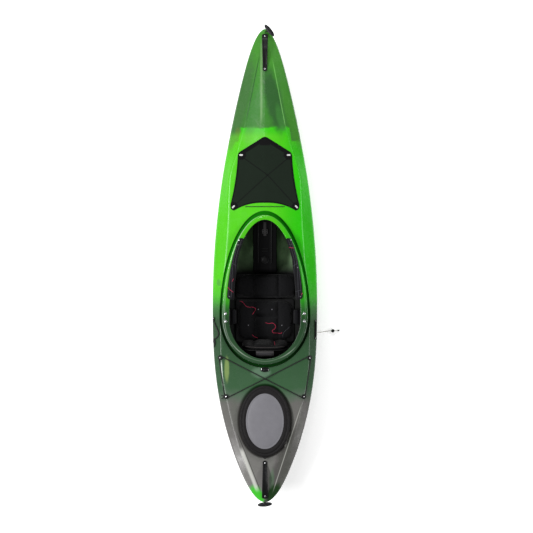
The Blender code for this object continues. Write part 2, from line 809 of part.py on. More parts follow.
def build_hanger(side):
    """A side wing from the tray up to a tab under the cockpit rim."""
    waist = [Vector(p) for p in HANGER_WAIST]
    rings = []
    for k in range(5):
        y = HANGER_BACK_Y + (HANGER_FRONT_Y - HANGER_BACK_Y) * k / 4
        top = rim_height(y) - RIM_THICKNESS - TOUCH_GAP - SEAT_PLATE / 2
        line = [Vector((SEAT_HALF - 0.012, SEAT_TRAY_HEIGHT - SEAT_PLATE / 2)),
                *waist, Vector((waist[-1].x, top)),
                Vector((COCKPIT_HALF + RISER_INNER - 0.004, top))]
        section = thick_line(line, SEAT_PLATE)
        rings.append([Vector((side * p.x, y, p.y)) for p in section])
    return add_loft(f"hanger_{side}", rings)


def cushion_rings(width, length, thickness, channels, count_x, count_y):
    """A cushion as (x, y, z) rings along its length, crowned, with drawn-in sides and channels across x."""
    rings = []
    for j in range(count_y + 1):
        v = -1 + 2 * j / count_y
        end = math.sqrt(max(1 - abs(v) ** 6, 0.0))
        y = length / 2 * v
        top, bottom = [], []
        for i in range(count_x + 1):
            u = -1 + 2 * i / count_x
            edge = math.sqrt(max(1 - abs(u) ** 6, 0.0))
            groove = sum(math.exp(-((u - c) / 0.05) ** 2) for c in channels)
            rise = 0.30 + 0.70 * edge * end * (1 - 0.35 * groove)
            x = width / 2 * u * (0.965 + 0.035 * end)
            top.append(Vector((x, y, thickness * rise)))
            bottom.append(Vector((x * 0.985, y, 0.12 * thickness * (1 - edge * end))))
        rings.append(bottom + top[::-1])
    return rings


def add_cushion(name, width, length, thickness, channels, material, count_x=18, count_y=8):
    rings = cushion_rings(width, length, thickness, channels, count_x, count_y)
    return smooth(add_loft(name, rings, material), 50.0)


def build_seat_pads(plastic, fabric):
    front, back = SEAT_SPLIT_Y - SEAT_PAD_GAP, SEAT_BACK_Y + EAR_HALF
    pad = add_cushion("seat_pad", 2 * SEAT_HALF - SEAT_PAD_INSET, front - back, SEAT_PAD_THICKNESS,
                      SEAT_CHANNELS, fabric)
    place(pad, Matrix.Translation((0, (front + back) / 2, SEAT_TRAY_HEIGHT + TOUCH_GAP)))
    hinge = (0.0, SEAT_SPLIT_Y + LIFTER_GAP, SEAT_TRAY_HEIGHT)
    lifter = add_box("leg_lifter", (-SEAT_HALF, hinge[1], SEAT_TRAY_HEIGHT - SEAT_PLATE),
                     (SEAT_HALF, SEAT_FRONT_Y, SEAT_TRAY_HEIGHT), plastic)
    pivot_on(lifter, hinge)
    length = SEAT_FRONT_Y - SEAT_SPLIT_Y
    top_pad = add_cushion("lifter_pad", 2 * SEAT_HALF + SEAT_PAD_INSET, length, LIFTER_PAD_THICKNESS,
                          SEAT_CHANNELS, fabric)
    top_pad.data.transform(Matrix.Translation((0, length / 2 - LIFTER_GAP / 2, TOUCH_GAP)))
    place(top_pad, Matrix.Translation(hinge))
    return pad, lifter, top_pad


def build_backrest(plastic, fabric, webbing):
    lean = Matrix.Rotation(math.radians(BACKREST_LEAN), 4, "X")
    pivot = Matrix.Translation((0.0, BACKREST_PIVOT_Y, BACKREST_PIVOT_Z))
    frame = add_prism("backrest_frame", backrest_outline(), 0.0, SEAT_PLATE, plastic)
    frame.data.transform(Matrix.Rotation(math.radians(90), 4, "X"))
    place(frame, pivot @ lean)
    for side in (-1, 1):
        edge = side * (BACK_HINGE_X + RUN_GAP)
        lug = add_side_prism(f"back_lug_{side}", BACK_LUG, edge, edge - side * (SEAT_PLATE + RUN_GAP))
        join(frame, place(lug, pivot @ lean))
    bore = circle(Vector((0.0, 0.0)), EAR_PIN_RADIUS + EAR_PIN_GAP)
    cut(frame, as_cutter(place(add_side_prism("back_bore", bore, -EAR_X, EAR_X), pivot @ lean)))
    pad = add_cushion("backrest_pad", 2 * BACKREST_HALF - 0.016, BACKREST_HEIGHT - 0.030,
                      BACKREST_PAD_THICKNESS, SEAT_CHANNELS, fabric, 16, 8)
    pad.data.transform(Matrix.Translation((0, BACKREST_HEIGHT / 2 + 0.002, 0.0)))
    pad.data.transform(Matrix.Rotation(math.radians(90), 4, "X"))
    pad.data.transform(Matrix.Rotation(math.radians(180), 4, "Z"))
    pad.data.transform(Matrix.Translation((0, TOUCH_GAP, 0)))
    place(pad, pivot @ lean)
    behind = -SEAT_PLATE - TOUCH_GAP - STRAP_THICKNESS * 0.6
    line = [Vector((behind, BACKREST_HEIGHT - 0.055)), Vector((behind, BACKREST_HEIGHT - 0.012)),
            Vector((-0.020, BACKREST_HEIGHT + 0.004)), Vector((-0.052, BACKREST_HEIGHT - 0.020))]
    section = thick_line(line, STRAP_THICKNESS)
    strap = add_side_prism("back_strap", section, -BACK_STRAP_HALF, BACK_STRAP_HALF, webbing)
    place(strap, pivot @ lean)
    return frame, pad, strap


def backrest_outline():
    """The back plate, round-shouldered above the belly line and narrowed to its hinge below."""
    belly = BACKREST_HEIGHT / 2
    outline = []
    for k in range(17):
        angle = math.pi * k / 16
        across = math.copysign(abs(math.cos(angle)) ** 0.5, math.cos(angle))
        outline.append((BACKREST_HALF * across, belly + (BACKREST_HEIGHT - belly) * math.sin(angle) ** 0.6))
    foot = [(-BACK_HINGE_X, 0.034), (-BACK_HINGE_X, 0.0), (BACK_HINGE_X, 0.0), (BACK_HINGE_X, 0.034)]
    return outline + foot


def hanger_inner_x(height):
    """The hanger's inner face between its two waist points, less the gap that a pad keeps to it."""
    low, high = HANGER_WAIST
    slope = (high[0] - low[0]) / (high[1] - low[1])
    across = SEAT_PLATE / 2 * math.sqrt(1 + slope * slope)
    return low[0] + (height - low[1]) * slope - across - 2 * TOUCH_GAP


def build_hip_pads(fabric):
    pads = []
    for side, name in ((-1, "hip_pad_left"), (1, "hip_pad_right")):
        outline = [(hanger_inner_x(z), z) for z in HIP_PAD_HEIGHTS] + list(HIP_PAD_FACE)
        rings = []
        for k, inset in enumerate((0.010, 0.0, 0.0, 0.010)):
            y = HANGER_BACK_Y + 0.004 + (HANGER_FRONT_Y - HANGER_BACK_Y - 0.008) * (0.0, 0.12, 0.88, 1.0)[k]
            ring = []
            for x, z in outline:
                soft = inset if (x, z) in HIP_PAD_FACE else 0.0
                ring.append(Vector((side * (x + soft), y, z)))
            rings.append(ring)
        pads.append(smooth(add_loft(name, rings, fabric)))
    return pads


def build_rim_bolts(metal):
    names = iter(("rim_bolt_rear_left", "rim_bolt_front_left", "rim_bolt_rear_right", "rim_bolt_front_right"))
    bolts = []
    shank = BOLT_LENGTH - 0.004
    nut = BOLT_HEAD_RADIUS * 0.6
    profile = [(0.0, -shank), (BOLT_RADIUS, -shank), (BOLT_RADIUS, TOUCH_GAP), (BOLT_HEAD_RADIUS, TOUCH_GAP),
               (BOLT_HEAD_RADIUS, 0.0018), (nut, 0.0020), (nut, 0.0042), (nut / 2, 0.0052), (0.0, 0.0052)]
    for side, y, x in sorted(rim_bolt_places(), key=lambda p: (p[0], p[1])):
        bolt = add_turned(next(names), profile, 10, metal)
        seat = rim_height(y) + RIM_SLOPE * BOLT_HEAD_RADIUS
        bolts.append(place(bolt, Matrix.Translation((x, y, seat))))
    return bolts


# Braces

def brace_sweep(name, section, side, material, steps=10):
    first, last = rim_angle(BRACE_BACK_Y), rim_angle(BRACE_FRONT_Y)
    rings = []
    for k in range(steps + 1):
        angle = first + (last - first) * k / steps
        ring = []
        for out, up in section:
            x, y = rim_point(angle, out)
            base = rim_height(y)
            ring.append(Vector((side * x, y, base + up)))
        rings.append(ring)
    return smooth(add_loft(name, rings, material), 50.0)


def build_thigh_braces(plastic, fabric):
    lift = TOUCH_GAP + BRACE_THICKNESS / 2
    line = [Vector((out, up + lift)) for out, up in BRACE_LINE]
    plate = [(p.x, p.y) for p in thick_line(line, BRACE_THICKNESS)]
    pieces = []
    upper = thick_line(line, BRACE_THICKNESS + 2 * TOUCH_GAP)[len(line):][::-1]
    crown = thick_line(line, BRACE_THICKNESS + 2 * TOUCH_GAP + 2 * BRACE_PAD_THICKNESS)[len(line):][::-1]
    soft = [u.lerp(c, (0.35, 1.0, 1.0, 1.0, 0.35)[i]) for i, (u, c) in enumerate(zip(upper, crown))]
    pad = [(p.x, p.y) for p in upper + soft[::-1]]
    for side, word in ((-1, "left"), (1, "right")):
        pieces.append(brace_sweep(f"thigh_brace_{word}", plate, side, plastic))
        pieces.append(brace_sweep(f"thigh_pad_{word}", pad, side, fabric))
    return pieces


def rail_line():
    """Where the foot rails stand: back and front points against the inside of the hull."""
    ends = []
    for y in (RAIL_BACK_Y, RAIL_FRONT_Y):
        inside = offset_half(half_section(y), -HULL_WALL)
        rows = [(p.y, p.x) for p in inside if CHINE_HEIGHT < p.y < gunwale_height(y)]
        ends.append(Vector((fair(sorted(rows), RAIL_Z), y, RAIL_Z)))
    return ends


def build_foot_braces(metal, plastic, forms):
    back, front = rail_line()
    ahead = (front - back).normalized()
    inward = Vector((-ahead.y, ahead.x, 0.0))
    pieces = []
    for side, word in ((-1, "left"), (1, "right")):
        rings = []
        for end in (back, front):
            ring = []
            for depth, up in ((-RAIL_DEPTH, -1), (RAIL_DEPTH, -1), (RAIL_DEPTH, 1), (-RAIL_DEPTH, 1)):
                p = end + inward * depth
                ring.append(Vector((side * p.x, p.y, p.z + up * RAIL_HEIGHT / 2)))
            rings.append(ring)
        rail = add_loft(f"foot_rail_{word}", rings, metal)
        keep_inside(rail, forms["cavity_clear"])
        pieces += [rail, build_pedal(word, side, back, ahead, inward, plastic)]
    return pieces


def build_pedal(word, side, back, ahead, inward, material):
    """A pedal that rides on its rail: a shoe against the rail and a pad that faces the paddler."""
    start = back + ahead * ((PEDAL_Y - back.y) / ahead.y) + inward * (RAIL_DEPTH + TOUCH_GAP)
    pad = [(0.030, -0.008), (PEDAL_WIDTH, -0.008), (PEDAL_WIDTH, 0.004), (0.030, 0.004)]
    pedal = add_prism(f"foot_pedal_{word}", PEDAL_SHOE, -RAIL_HEIGHT / 2, RAIL_HEIGHT / 2, material)
    blade = add_prism(f"pedal_blade_{word}", pad, -PEDAL_HEIGHT / 2, PEDAL_HEIGHT / 2)
    turn = Matrix((inward, ahead, Vector((0, 0, 1)))).transposed().to_4x4()
    mirror = Matrix.Scale(side, 4, Vector((1, 0, 0)))
    for piece in (pedal, blade):
        piece.data.transform(mirror @ Matrix.Translation(start) @ turn)
        if side > 0:
            piece.data.flip_normals()
    return join(pedal, blade)


# Pillar

def build_pillar(material, forms):
    """A hollow beam from the hull's floor up to the deck, with a sloping face towards the seat."""
    floor = tray_floor()
    roof = deck_at(PILLAR_HALF, PILLAR_FRONT_Y)[0].z - HULL_WALL - 0.003 - PILLAR_WALL
    past_deck = HULL_BEAM / 2
    upper = [(PILLAR_FRONT_Y, past_deck), (PILLAR_TOP_Y, past_deck), *PILLAR_FACE]
    pillar = add_side_prism("step_out_pillar", [(PILLAR_FACE[-1][0], floor), (PILLAR_FRONT_Y, floor), *upper],
                            -PILLAR_HALF, PILLAR_HALF, material)
    keep_inside(pillar, forms["cavity_clear"])
    back, front = PILLAR_FACE[-1][0] + PILLAR_WALL, PILLAR_FRONT_Y - PILLAR_WALL
    hollow = [(back, floor - PILLAR_WALL), (front, floor - PILLAR_WALL), (front, roof), (PILLAR_TOP_Y, roof)]
    hollow += [(y + PILLAR_WALL * 0.6, z - PILLAR_WALL) for y, z in PILLAR_FACE[:-1]]
    hollow += [(back, PILLAR_FACE[-1][1] - PILLAR_WALL)]
    half = PILLAR_HALF - PILLAR_WALL
    cut(pillar, as_cutter(add_side_prism("pillar_hollow", hollow, -half, half)))
    high, low = Vector(PILLAR_FACE[1]), Vector(PILLAR_FACE[2])
    slope = math.atan2(high.y - low.y, high.x - low.x)
    face = Matrix.Translation((0, low.x, low.y)) @ Matrix.Rotation(slope, 4, "X")
    for side in (-1, 1):
        x = side * PILLAR_RIB_X
        rib = add_box(f"pillar_rib_{side}", (x - 0.004, 0.004, -0.002), (x + 0.004, 0.345, 0.006))
        join(pillar, place(rib, face))
    boss = add_turned("pillar_boss", PILLAR_BOSS, 16)
    return join(pillar, place(boss, face @ Matrix.Translation((0.0, PILLAR_BOSS[1][0], 0.0))))


# Deck cover

def cover_outline():
    apex = Vector((0.0, COVER_APEX_Y))
    shoulder = Vector(COVER_SHOULDER)
    lobe_out = Vector(COVER_LOBE_OUT)
    lobe_in = Vector(COVER_LOBE_IN)
    waist = Vector((shoulder.x + 0.012, (shoulder.y + lobe_out.y) / 2))
    middle = Vector((0.0, COVER_MIDDLE_Y))
    right = round_corner(shoulder, apex, Vector((-shoulder.x, shoulder.y)), 0.10, 2)[:2][::-1]
    right += round_corner(apex, shoulder, waist, 0.09, 2)
    right += bend(shoulder.lerp(waist, 0.3), waist, lobe_out.lerp(waist, 0.3), 2)
    right += bend(lobe_out + Vector((0, 0.02)), lobe_out + Vector((0.006, -0.022)), lobe_in, 3)
    right += bend(lobe_in, Vector((0.12, COVER_MIDDLE_Y + 0.008)), middle, 3)[1:]
    left = [Vector((-p.x, p.y)) for p in reversed(right) if p.x > 1e-6]
    return (right + left)[::-1]


def build_deck_cover(fabric, cord, plastic, forms):
    cover = add_prism("deck_cover", cover_outline(), 0.25, 0.45, fabric)
    keep_inside(cover, forms["deck_cover_top"])
    cut(cover, forms["deck_clear"])
    line = []
    for k in range(13):
        x = COVER_CORD_HALF * (k / 6 - 1)
        line.append(deck_at(x, COVER_CORD_Y)[0] + Vector((0, 0, COVER_CORD_RADIUS + 0.0007)))
    strand = add_tube("cover_cord", line, COVER_CORD_RADIUS, cord)
    anchors = []
    half_x, half_y = ANCHOR_HALF
    for end, x, y, turn in COVER_ANCHORS:
        for side, word in ((-1, "left"), (1, "right")):
            outline = ellipse(0.0, half_x, half_y, half_y, 12)
            anchor = add_prism(f"cover_anchor_{end}_{word}", outline, 0.0, ANCHOR_THICKNESS, plastic)
            frame = deck_frame(side * x, y, COVER_LIFT + DECK_GAP + 0.0007)
            anchors.append(place(anchor, frame @ Matrix.Rotation(math.radians(-side * turn), 4, "Z")))
    return cover, strand, anchors


# Handles and grips

def handle_stations(tip_y, inner_y):
    """The handle's stations: two for each flat foot and an arch between, as (y, lift, on_foot)."""
    way = math.copysign(1.0, inner_y - tip_y)
    span = abs(tip_y - inner_y) - 2 * HANDLE_FOOT
    stations = [(tip_y, 0.0, True), (tip_y + way * HANDLE_FOOT, 0.0, True)]
    steps = 10
    for k in range(1, steps):
        share = k / steps
        y = tip_y + way * (HANDLE_FOOT + span * share)
        stations.append((y, HANDLE_RISE * math.sin(math.pi * share), False))
    return stations + [(inner_y - way * HANDLE_FOOT, 0.0, True), (inner_y, 0.0, True)]


def build_handle(name, tip_y, inner_y, material, forms):
    """A carry handle bowed up between two bolted feet, wider towards the hull's end."""
    rings = []
    for y, lift, on_foot in handle_stations(tip_y, inner_y):
        share = (y - tip_y) / (inner_y - tip_y)
        half = (HANDLE_TIP_WIDTH + (HANDLE_INNER_WIDTH - HANDLE_TIP_WIDTH) * share) / 2
        base = deck_at(0.0, y)[0].z
        low = base - 0.004 if on_foot else base + lift
        high = base + lift + HANDLE_THICKNESS
        rings.append([Vector((-half, y, low)), Vector((half, y, low)), Vector((half, y, high - 0.003)),
                      Vector((half * 0.75, y, high)), Vector((-half * 0.75, y, high)),
                      Vector((-half, y, high - 0.003))])
    handle = smooth(add_loft(name, rings, material), 40)
    return cut(handle, forms["deck_clear"])


def build_handle_screws(metal):
    screws = []
    profile = [(0, TOUCH_GAP), (0.006, TOUCH_GAP), (0.0058, 0.0018), (0.0035, 0.0030), (0, 0.0032)]
    for word, (tip, inner) in (("bow", BOW_HANDLE_YS), ("stern", STERN_HANDLE_YS)):
        foot = math.copysign(HANDLE_FOOT, inner - tip)
        for end, outer_y, arch_y in (("tip", tip, tip + foot), ("inner", inner, inner - foot)):
            screw = add_turned(f"{word}_handle_screw_{end}", profile, 10, metal)
            ends = [Vector((0.0, y, deck_at(0.0, y)[0].z + HANDLE_THICKNESS)) for y in (outer_y, arch_y)]
            along = (ends[1] - ends[0]).normalized()
            normal = Vector((0.0, -along.z, along.y)) * math.copysign(1.0, along.y)
            turn = Vector((0, 0, 1)).rotation_difference(normal).to_matrix().to_4x4()
            screws.append(place(screw, Matrix.Translation((ends[0] + ends[1]) / 2) @ turn))
    return screws


def build_grip(name, center, turn, material):
    sphere = bmesh.new()
    bmesh.ops.create_uvsphere(sphere, u_segments=14, v_segments=7, radius=1.0)
    mesh = bpy.data.meshes.new(name)
    sphere.to_mesh(mesh)
    sphere.free()
    grip = bpy.data.objects.new(name, mesh)
    bpy.context.collection.objects.link(grip)
    mesh.materials.append(material)
    mesh.transform(Matrix.Diagonal((GRIP_HALF_LENGTH, GRIP_HALF_WIDTH, GRIP_HALF_HEIGHT, 1)))
    smooth(grip)
    place(grip, Matrix.Translation(center) @ Matrix.Rotation(math.radians(turn), 4, "Z"))
    outline = circle(center, GRIP_CORD_RADIUS + 0.0008)
    reach = 2 * GRIP_HALF_HEIGHT
    cut(grip, as_cutter(add_prism(name + "_hole", outline, center.z - reach, center.z + reach)))
    return grip


def build_grips(plastic, cord):
    pieces = []
    ends = (("bow", BOW_GRIP_X, BOW_GRIP_OVERHANG, BOW_GRIP_TURN, BOW_CORD_INSET, 1),
            ("stern", 0.0, STERN_GRIP_OVERHANG, STERN_GRIP_TURN, STERN_CORD_INSET, -1))
    for word, x, overhang, turn, inset, way in ends:
        y = way * (HULL_LENGTH / 2 + overhang)
        root = deck_at(0.0, way * (HULL_LENGTH / 2 - inset))[0]
        level = root.z + 0.012
        center = Vector((x, y, level + 0.0195))
        pieces.append(build_grip(word + "_grip", center, turn, plastic))
        below = Vector((x, y, root.z))
        route = [root + Vector((0, 0, 0.0006)), root + Vector((x * 0.06, way * 0.001, 0.007))]
        for share, rise in ((0.45, 0.0115), (0.85, 0.0125)):
            route.append(root.lerp(below, share) + Vector((0, 0, rise)))
        route += [center + Vector((0, 0, rise)) for rise in (-0.008, 0.006, 0.0135)]
        path = smooth_path(route, 2)
        knot = center.z + 0.0155
        path += [Vector((x, y, knot)), Vector((x, y, knot + 0.004)), Vector((x, y, knot + 0.008))]
        swell = [1.0] * (len(path) - 3) + [1.9, 2.1, 1.2]
        pieces.append(add_tube(word + "_grip_cord", path, GRIP_CORD_RADIUS, cord, swell=swell))
    return pieces


# Rear deck

def button_places():
    front_x, front_y = edge_x(BUNGEE_FRONT[0]), BUNGEE_FRONT[1]
    back_x, back_y = edge_x(BUNGEE_BACK[0]), BUNGEE_BACK[1]
    return (Vector((-front_x, front_y)), Vector((back_x, back_y)),
            Vector((front_x, front_y)), Vector((-back_x, back_y)))


def build_bungee(cord, plastic, forms):
    names = ("bungee_button_front_left", "bungee_button_rear_right", "bungee_button_front_right",
             "bungee_button_rear_left")
    height = BUTTON_CORD_HEIGHT
    low, high = height - BUNGEE_RADIUS - 0.001, height + BUNGEE_RADIUS + 0.001
    profile = [(0, -0.004), (BUTTON_FOOT_RADIUS, -0.004), (BUTTON_FOOT_RADIUS, low - 0.0005),
               (BUTTON_STEM_RADIUS, low), (BUTTON_STEM_RADIUS, high), (BUTTON_HEAD_RADIUS, high + 0.0005)]
    profile += [(BUTTON_HEAD_RADIUS, high + 0.003), (BUTTON_HEAD_RADIUS * 0.6, high + 0.006),
                (0, high + 0.007)]
    buttons = []
    places = button_places()
    for name, spot in zip(names, places):
        button = add_turned(name, profile, 12, plastic)
        place(button, deck_frame(spot.x, spot.y))
        buttons.append(cut(button, forms["deck_clear"]))
    path = []
    reach = BUTTON_STEM_RADIUS + BUNGEE_RADIUS + 0.0018
    turns = (-1, 1, 1, -1)
    crossing = 0
    for i, spot in enumerate(places):
        before = places[i - 1]
        after = places[(i + 1) % 4]
        come = math.atan2(spot.y - before.y, spot.x - before.x) - turns[i] * math.pi / 2
        leave = math.atan2(after.y - spot.y, after.x - spot.x) - turns[i] * math.pi / 2
        sweep = (leave - come) * turns[i] % (2 * math.pi)
        frame = deck_frame(spot.x, spot.y)
        steps = 5
        for k in range(steps + 1):
            angle = come + turns[i] * sweep * k / steps
            path.append(frame @ Vector((reach * math.cos(angle), reach * math.sin(angle), height)))
        start = path[-1]
        next_frame = deck_frame(after.x, after.y)
        angle = math.atan2(after.y - spot.y, after.x - spot.x) - turns[(i + 1) % 4] * math.pi / 2
        end = next_frame @ Vector((reach * math.cos(angle), reach * math.sin(angle), height))
        diagonal = spot.x * after.x < 0
        count = 14 if diagonal else 7
        for k in range(1, count):
            share = k / count
            flat = start.lerp(end, share)
            rest = deck_at(flat.x, flat.y)[0].z + BUNGEE_RADIUS + 0.0015
            if diagonal and crossing:
                rest += 2.3 * BUNGEE_RADIUS * math.exp(-((share - 0.5) / 0.13) ** 2)
            near = min(k, count - k) / count
            path.append(Vector((flat.x, flat.y, max(rest, flat.z) if near < 0.12 else rest)))
        crossing += diagonal
    return add_tube("deck_bungee", path, BUNGEE_RADIUS, cord, cyclic=True), buttons


def build_security_loop(material, forms):
    """An oval plate with an arch that a lock's shackle passes through."""
    half_x, half_y = LOOP_PLATE_HALF
    loop = add_prism("security_loop", ellipse(0.0, half_x, half_y, half_y, 20), -0.004, 0.005, material)
    arch, inner = [], []
    for k in range(9):
        angle = math.pi * k / 8
        arch.append((LOOP_OUTER * math.cos(angle), 0.003 + LOOP_OUTER * math.sin(angle)))
        inner.append((LOOP_INNER * math.cos(angle), 0.003 + LOOP_INNER * 1.08 * math.sin(angle)))
    section = arch + inner[::-1]
    rings = [[Vector((x, y, z)) for x, z in section] for y in (-LOOP_WIDTH / 2, LOOP_WIDTH / 2)]
    frame = deck_frame(0.0, LOOP_Y)
    place(loop, frame)
    join(loop, place(add_loft("loop_arch", rings), frame))
    return cut(loop, forms["deck_clear"])


# Hatch

def build_hatch(rubber, plastic):
    """A rubber cover that caps the neck, with a stiff panel on top and a pull tab at the rear."""
    clear = HATCH_NECK_INSET - 0.003
    seat = HATCH_NECK_TOP + TOUCH_GAP
    top = seat + HATCH_COVER_THICKNESS
    skirt = seat - HATCH_SKIRT_DEPTH
    rings = []
    levels = ((clear, skirt), (0.010, skirt), (0.0, skirt + 0.004), (0.0, top - 0.007), (0.008, top - 0.001),
              (0.030, top + 0.002), (HATCH_HALF - HATCH_PANEL_HALF[0] - 0.006, top))
    for inset, z in levels:
        rings.append([Vector((p.x, p.y, z)) for p in hatch_outline(inset)])
    recess = [Vector((p.x, p.y, seat)) for p in hatch_outline(clear)]
    cover = add_loft("hatch_cover", [recess] + rings, rubber)
    edge = HATCH_Y - HATCH_HALF_LENGTH
    tip = edge - HATCH_TAB_LENGTH
    tab = [(-0.010, edge - 0.012), (-0.004, tip), (0.004, tip), (0.010, edge - 0.012), (0.026, edge + 0.012),
           (-0.026, edge + 0.012)]
    join(cover, add_prism("hatch_tab", tab, skirt + 0.002, skirt + 0.008))
    base = top + TOUCH_GAP
    half_x, half_y = HATCH_PANEL_HALF
    edge = HATCH_PANEL_EDGE
    rings = []
    for inset, z in ((0.0, 0.0), (0.0, edge * 0.65), (0.004, edge), (0.045, edge + HATCH_PANEL_CROWN * 0.75),
                     (0.105, edge + HATCH_PANEL_CROWN)):
        outline = ellipse(HATCH_Y, half_x - inset, half_y - inset, half_y - inset, 32)
        rings.append([Vector((p.x, p.y, base + z)) for p in outline])
    panel = smooth(add_loft("hatch_panel", rings, plastic), 30)
    return smooth(cover, 40), panel


# Skeg

def skeg_pivot():
    return Vector((0.0, SKEG_PIVOT_Y, keel_height(SKEG_PIVOT_Y) + SKEG_PIVOT_RISE))


def skeg_slot_ends():
    return SKEG_PIVOT_Y + SKEG_SLOT_FRONT, SKEG_PIVOT_Y - SKEG_LENGTH - SKEG_SLOT_BACK


def skeg_outline(pivot):
    """The blade folded up, as (y, z) from its pin: a straight lower edge flush with the keel."""
    low = keel_height(pivot.y - SKEG_LENGTH) + SKEG_FLUSH - pivot.z
    nose = SKEG_FLUSH - SKEG_PIVOT_RISE
    outline = [(0.009, nose + 0.005), (0.004, nose), (-0.020, nose + 0.001), (0.010 - SKEG_LENGTH, low),
               (-SKEG_LENGTH, low + 0.008), (0.006 - SKEG_LENGTH, low + 0.022)]
    tip, crest, neck = Vector(outline[-1]), Vector(SKEG_CREST), Vector((-0.030, 0.055))
    return outline + bend(tip, crest, neck, 5)[1:] + [(-0.004, 0.014), (0.009, 0.008)]


def build_skeg(plastic, metal, forms):
    pivot = skeg_pivot()
    half = SKEG_THICKNESS / 2
    blade = add_side_prism("skeg_blade", skeg_outline(pivot), -half, half, plastic)
    blade.location = pivot
    axis = Vector((0.0, 0.0))
    reach = 2 * SKEG_THICKNESS
    hole = add_side_prism("skeg_bore", circle(axis, SKEG_PIN_RADIUS + PIN_GAP), -reach, reach)
    hole.location = pivot
    cut(blade, as_cutter(hole))
    half += SKEG_SIDE_GAP
    outer = half + SKEG_BOX_WALL
    front, back = skeg_slot_ends()
    top = keel_height(SKEG_PIVOT_Y) + SKEG_BOX_HEIGHT
    box = add_box("skeg_box", (-outer, back - SKEG_BOX_WALL, -SKEG_LENGTH),
                  (outer, front + SKEG_BOX_WALL, top), plastic)
    keep_inside(box, forms["cavity_clear"])
    space = add_box("skeg_space", (-half, back, -SKEG_LENGTH), (half, front, top - SKEG_BOX_WALL))
    cut(box, as_cutter(space))
    cut(box, hole)
    outer += SKEG_BOX_WALL / 2
    pin = add_side_prism("skeg_pin", circle(axis, SKEG_PIN_RADIUS), -outer, outer, metal)
    pin.location = pivot


def fairlead_frame():
    return deck_frame(edge_x(FAIRLEAD_INSET), FAIRLEAD_Y)


def skeg_tube_path():
    """The control tube's route from the deck fairlead down the side to the skeg box."""
    frame = fairlead_frame()
    normal = frame.to_3x3().col[2]
    start = frame.translation - normal * (HULL_WALL + 0.0012)
    box_top = Vector((0.0, SKEG_PIVOT_Y - SKEG_LENGTH / 2, keel_height(SKEG_PIVOT_Y) + SKEG_BOX_HEIGHT))
    route = [start, start - normal * 0.030 + Vector((0, -0.012, 0)), *[Vector(p) for p in TUBE_ROUTE]]
    route += [box_top + Vector((0, 0, rise)) for rise in (0.030, 0.012)]
    return smooth_path(route, 4) + [box_top + Vector((0, 0, 2 * TOUCH_GAP))]


def build_skeg_tube(plastic, tube_material, forms):
    add_tube("skeg_tube", skeg_tube_path(), SKEG_TUBE_RADIUS, tube_material)
    half, wide = FAIRLEAD_LENGTH / 2, FAIRLEAD_HALF
    narrow, taper = wide - 0.001, half - 0.012
    outline = [(-narrow, -half), (narrow, -half), (wide, -taper), (wide, taper), (narrow, half),
               (-narrow, half), (-wide, taper), (-wide, -taper)]
    fairlead = add_prism("skeg_fairlead", outline, -0.006, FAIRLEAD_HEIGHT, plastic)
    place(fairlead, fairlead_frame())
    cut(fairlead, forms["deck_clear"])


def build_skeg_cord(pale, black):
    """The control cord from the fairlead down to the floor and on through its bead."""
    frame = fairlead_frame()
    start = frame @ Vector((FAIRLEAD_HALF + 0.0015, -0.020, FAIRLEAD_HEIGHT / 2))
    rest = CORD_RADIUS + RUN_GAP
    eye = BEAD_RADIUS + 2 * TOUCH_GAP
    route = [start, start + frame.to_3x3().col[0] * 0.012, *[Vector(p) for p in CORD_ROUTE]]
    center = route[-1] + Vector((0.054, 0.004, eye - rest))
    passage = Vector((eye, 0.0, 0.0))
    route += [center - passage - Vector((0.012, 0.0, 0.0)), center - passage, center + passage]
    drop = rest - eye
    route += [center + passage + Vector(p) for p in ((0.010, 0.0, drop * 0.15), (0.020, 0.001, drop * 0.8),
                                                     (0.030, 0.003, drop), (0.041, 0.006, drop))]
    add_tube("skeg_cord", on_floor(smooth_path(route, 3), rest), CORD_RADIUS, pale)
    half_turn = [math.pi * k / 6 for k in range(1, 6)]
    profile = [(BEAD_RADIUS * math.sin(a), -BEAD_RADIUS * math.cos(a)) for a in half_turn]
    bead = add_turned("skeg_bead", [(0.0, -BEAD_RADIUS), *profile, (0.0, BEAD_RADIUS)], 12, black)
    place(bead, Matrix.Translation(center))
    bore = circle(Vector((center.y, center.z)), CORD_RADIUS + BEAD_BORE_GAP)
    low, high = center.x - 2 * BEAD_RADIUS, center.x + 2 * BEAD_RADIUS
    cut(bead, as_cutter(add_side_prism("bead_bore", bore, low, high)))


def on_floor(path, height):
    """A path with no point below the height at which a cord lies on the floor."""
    return [Vector((p.x, p.y, max(p.z, height))) for p in path]


# Paddle keeper

def build_paddle_keeper(plastic, cord, forms):
    for name, outline, inset, y, top in (("paddle_keeper_eye", KEEPER_EYE, *KEEPER_EYE_PLACE, 0.009),
                                         ("paddle_keeper_hook", KEEPER_HOOK, *KEEPER_HOOK_PLACE, 0.011)):
        fitting = add_prism(name, outline, -0.006, top, plastic)
        place(fitting, deck_frame(-edge_x(inset), y))
        cut(fitting, forms["deck_clear"])
    route = []
    for inset, y in KEEPER_ROUTE:
        point, normal = deck_at(-edge_x(inset), y)
        route.append(point + normal * (CORD_RADIUS + RUN_GAP))
    add_tube("paddle_keeper_cord", smooth_path(route, 3), CORD_RADIUS, cord)


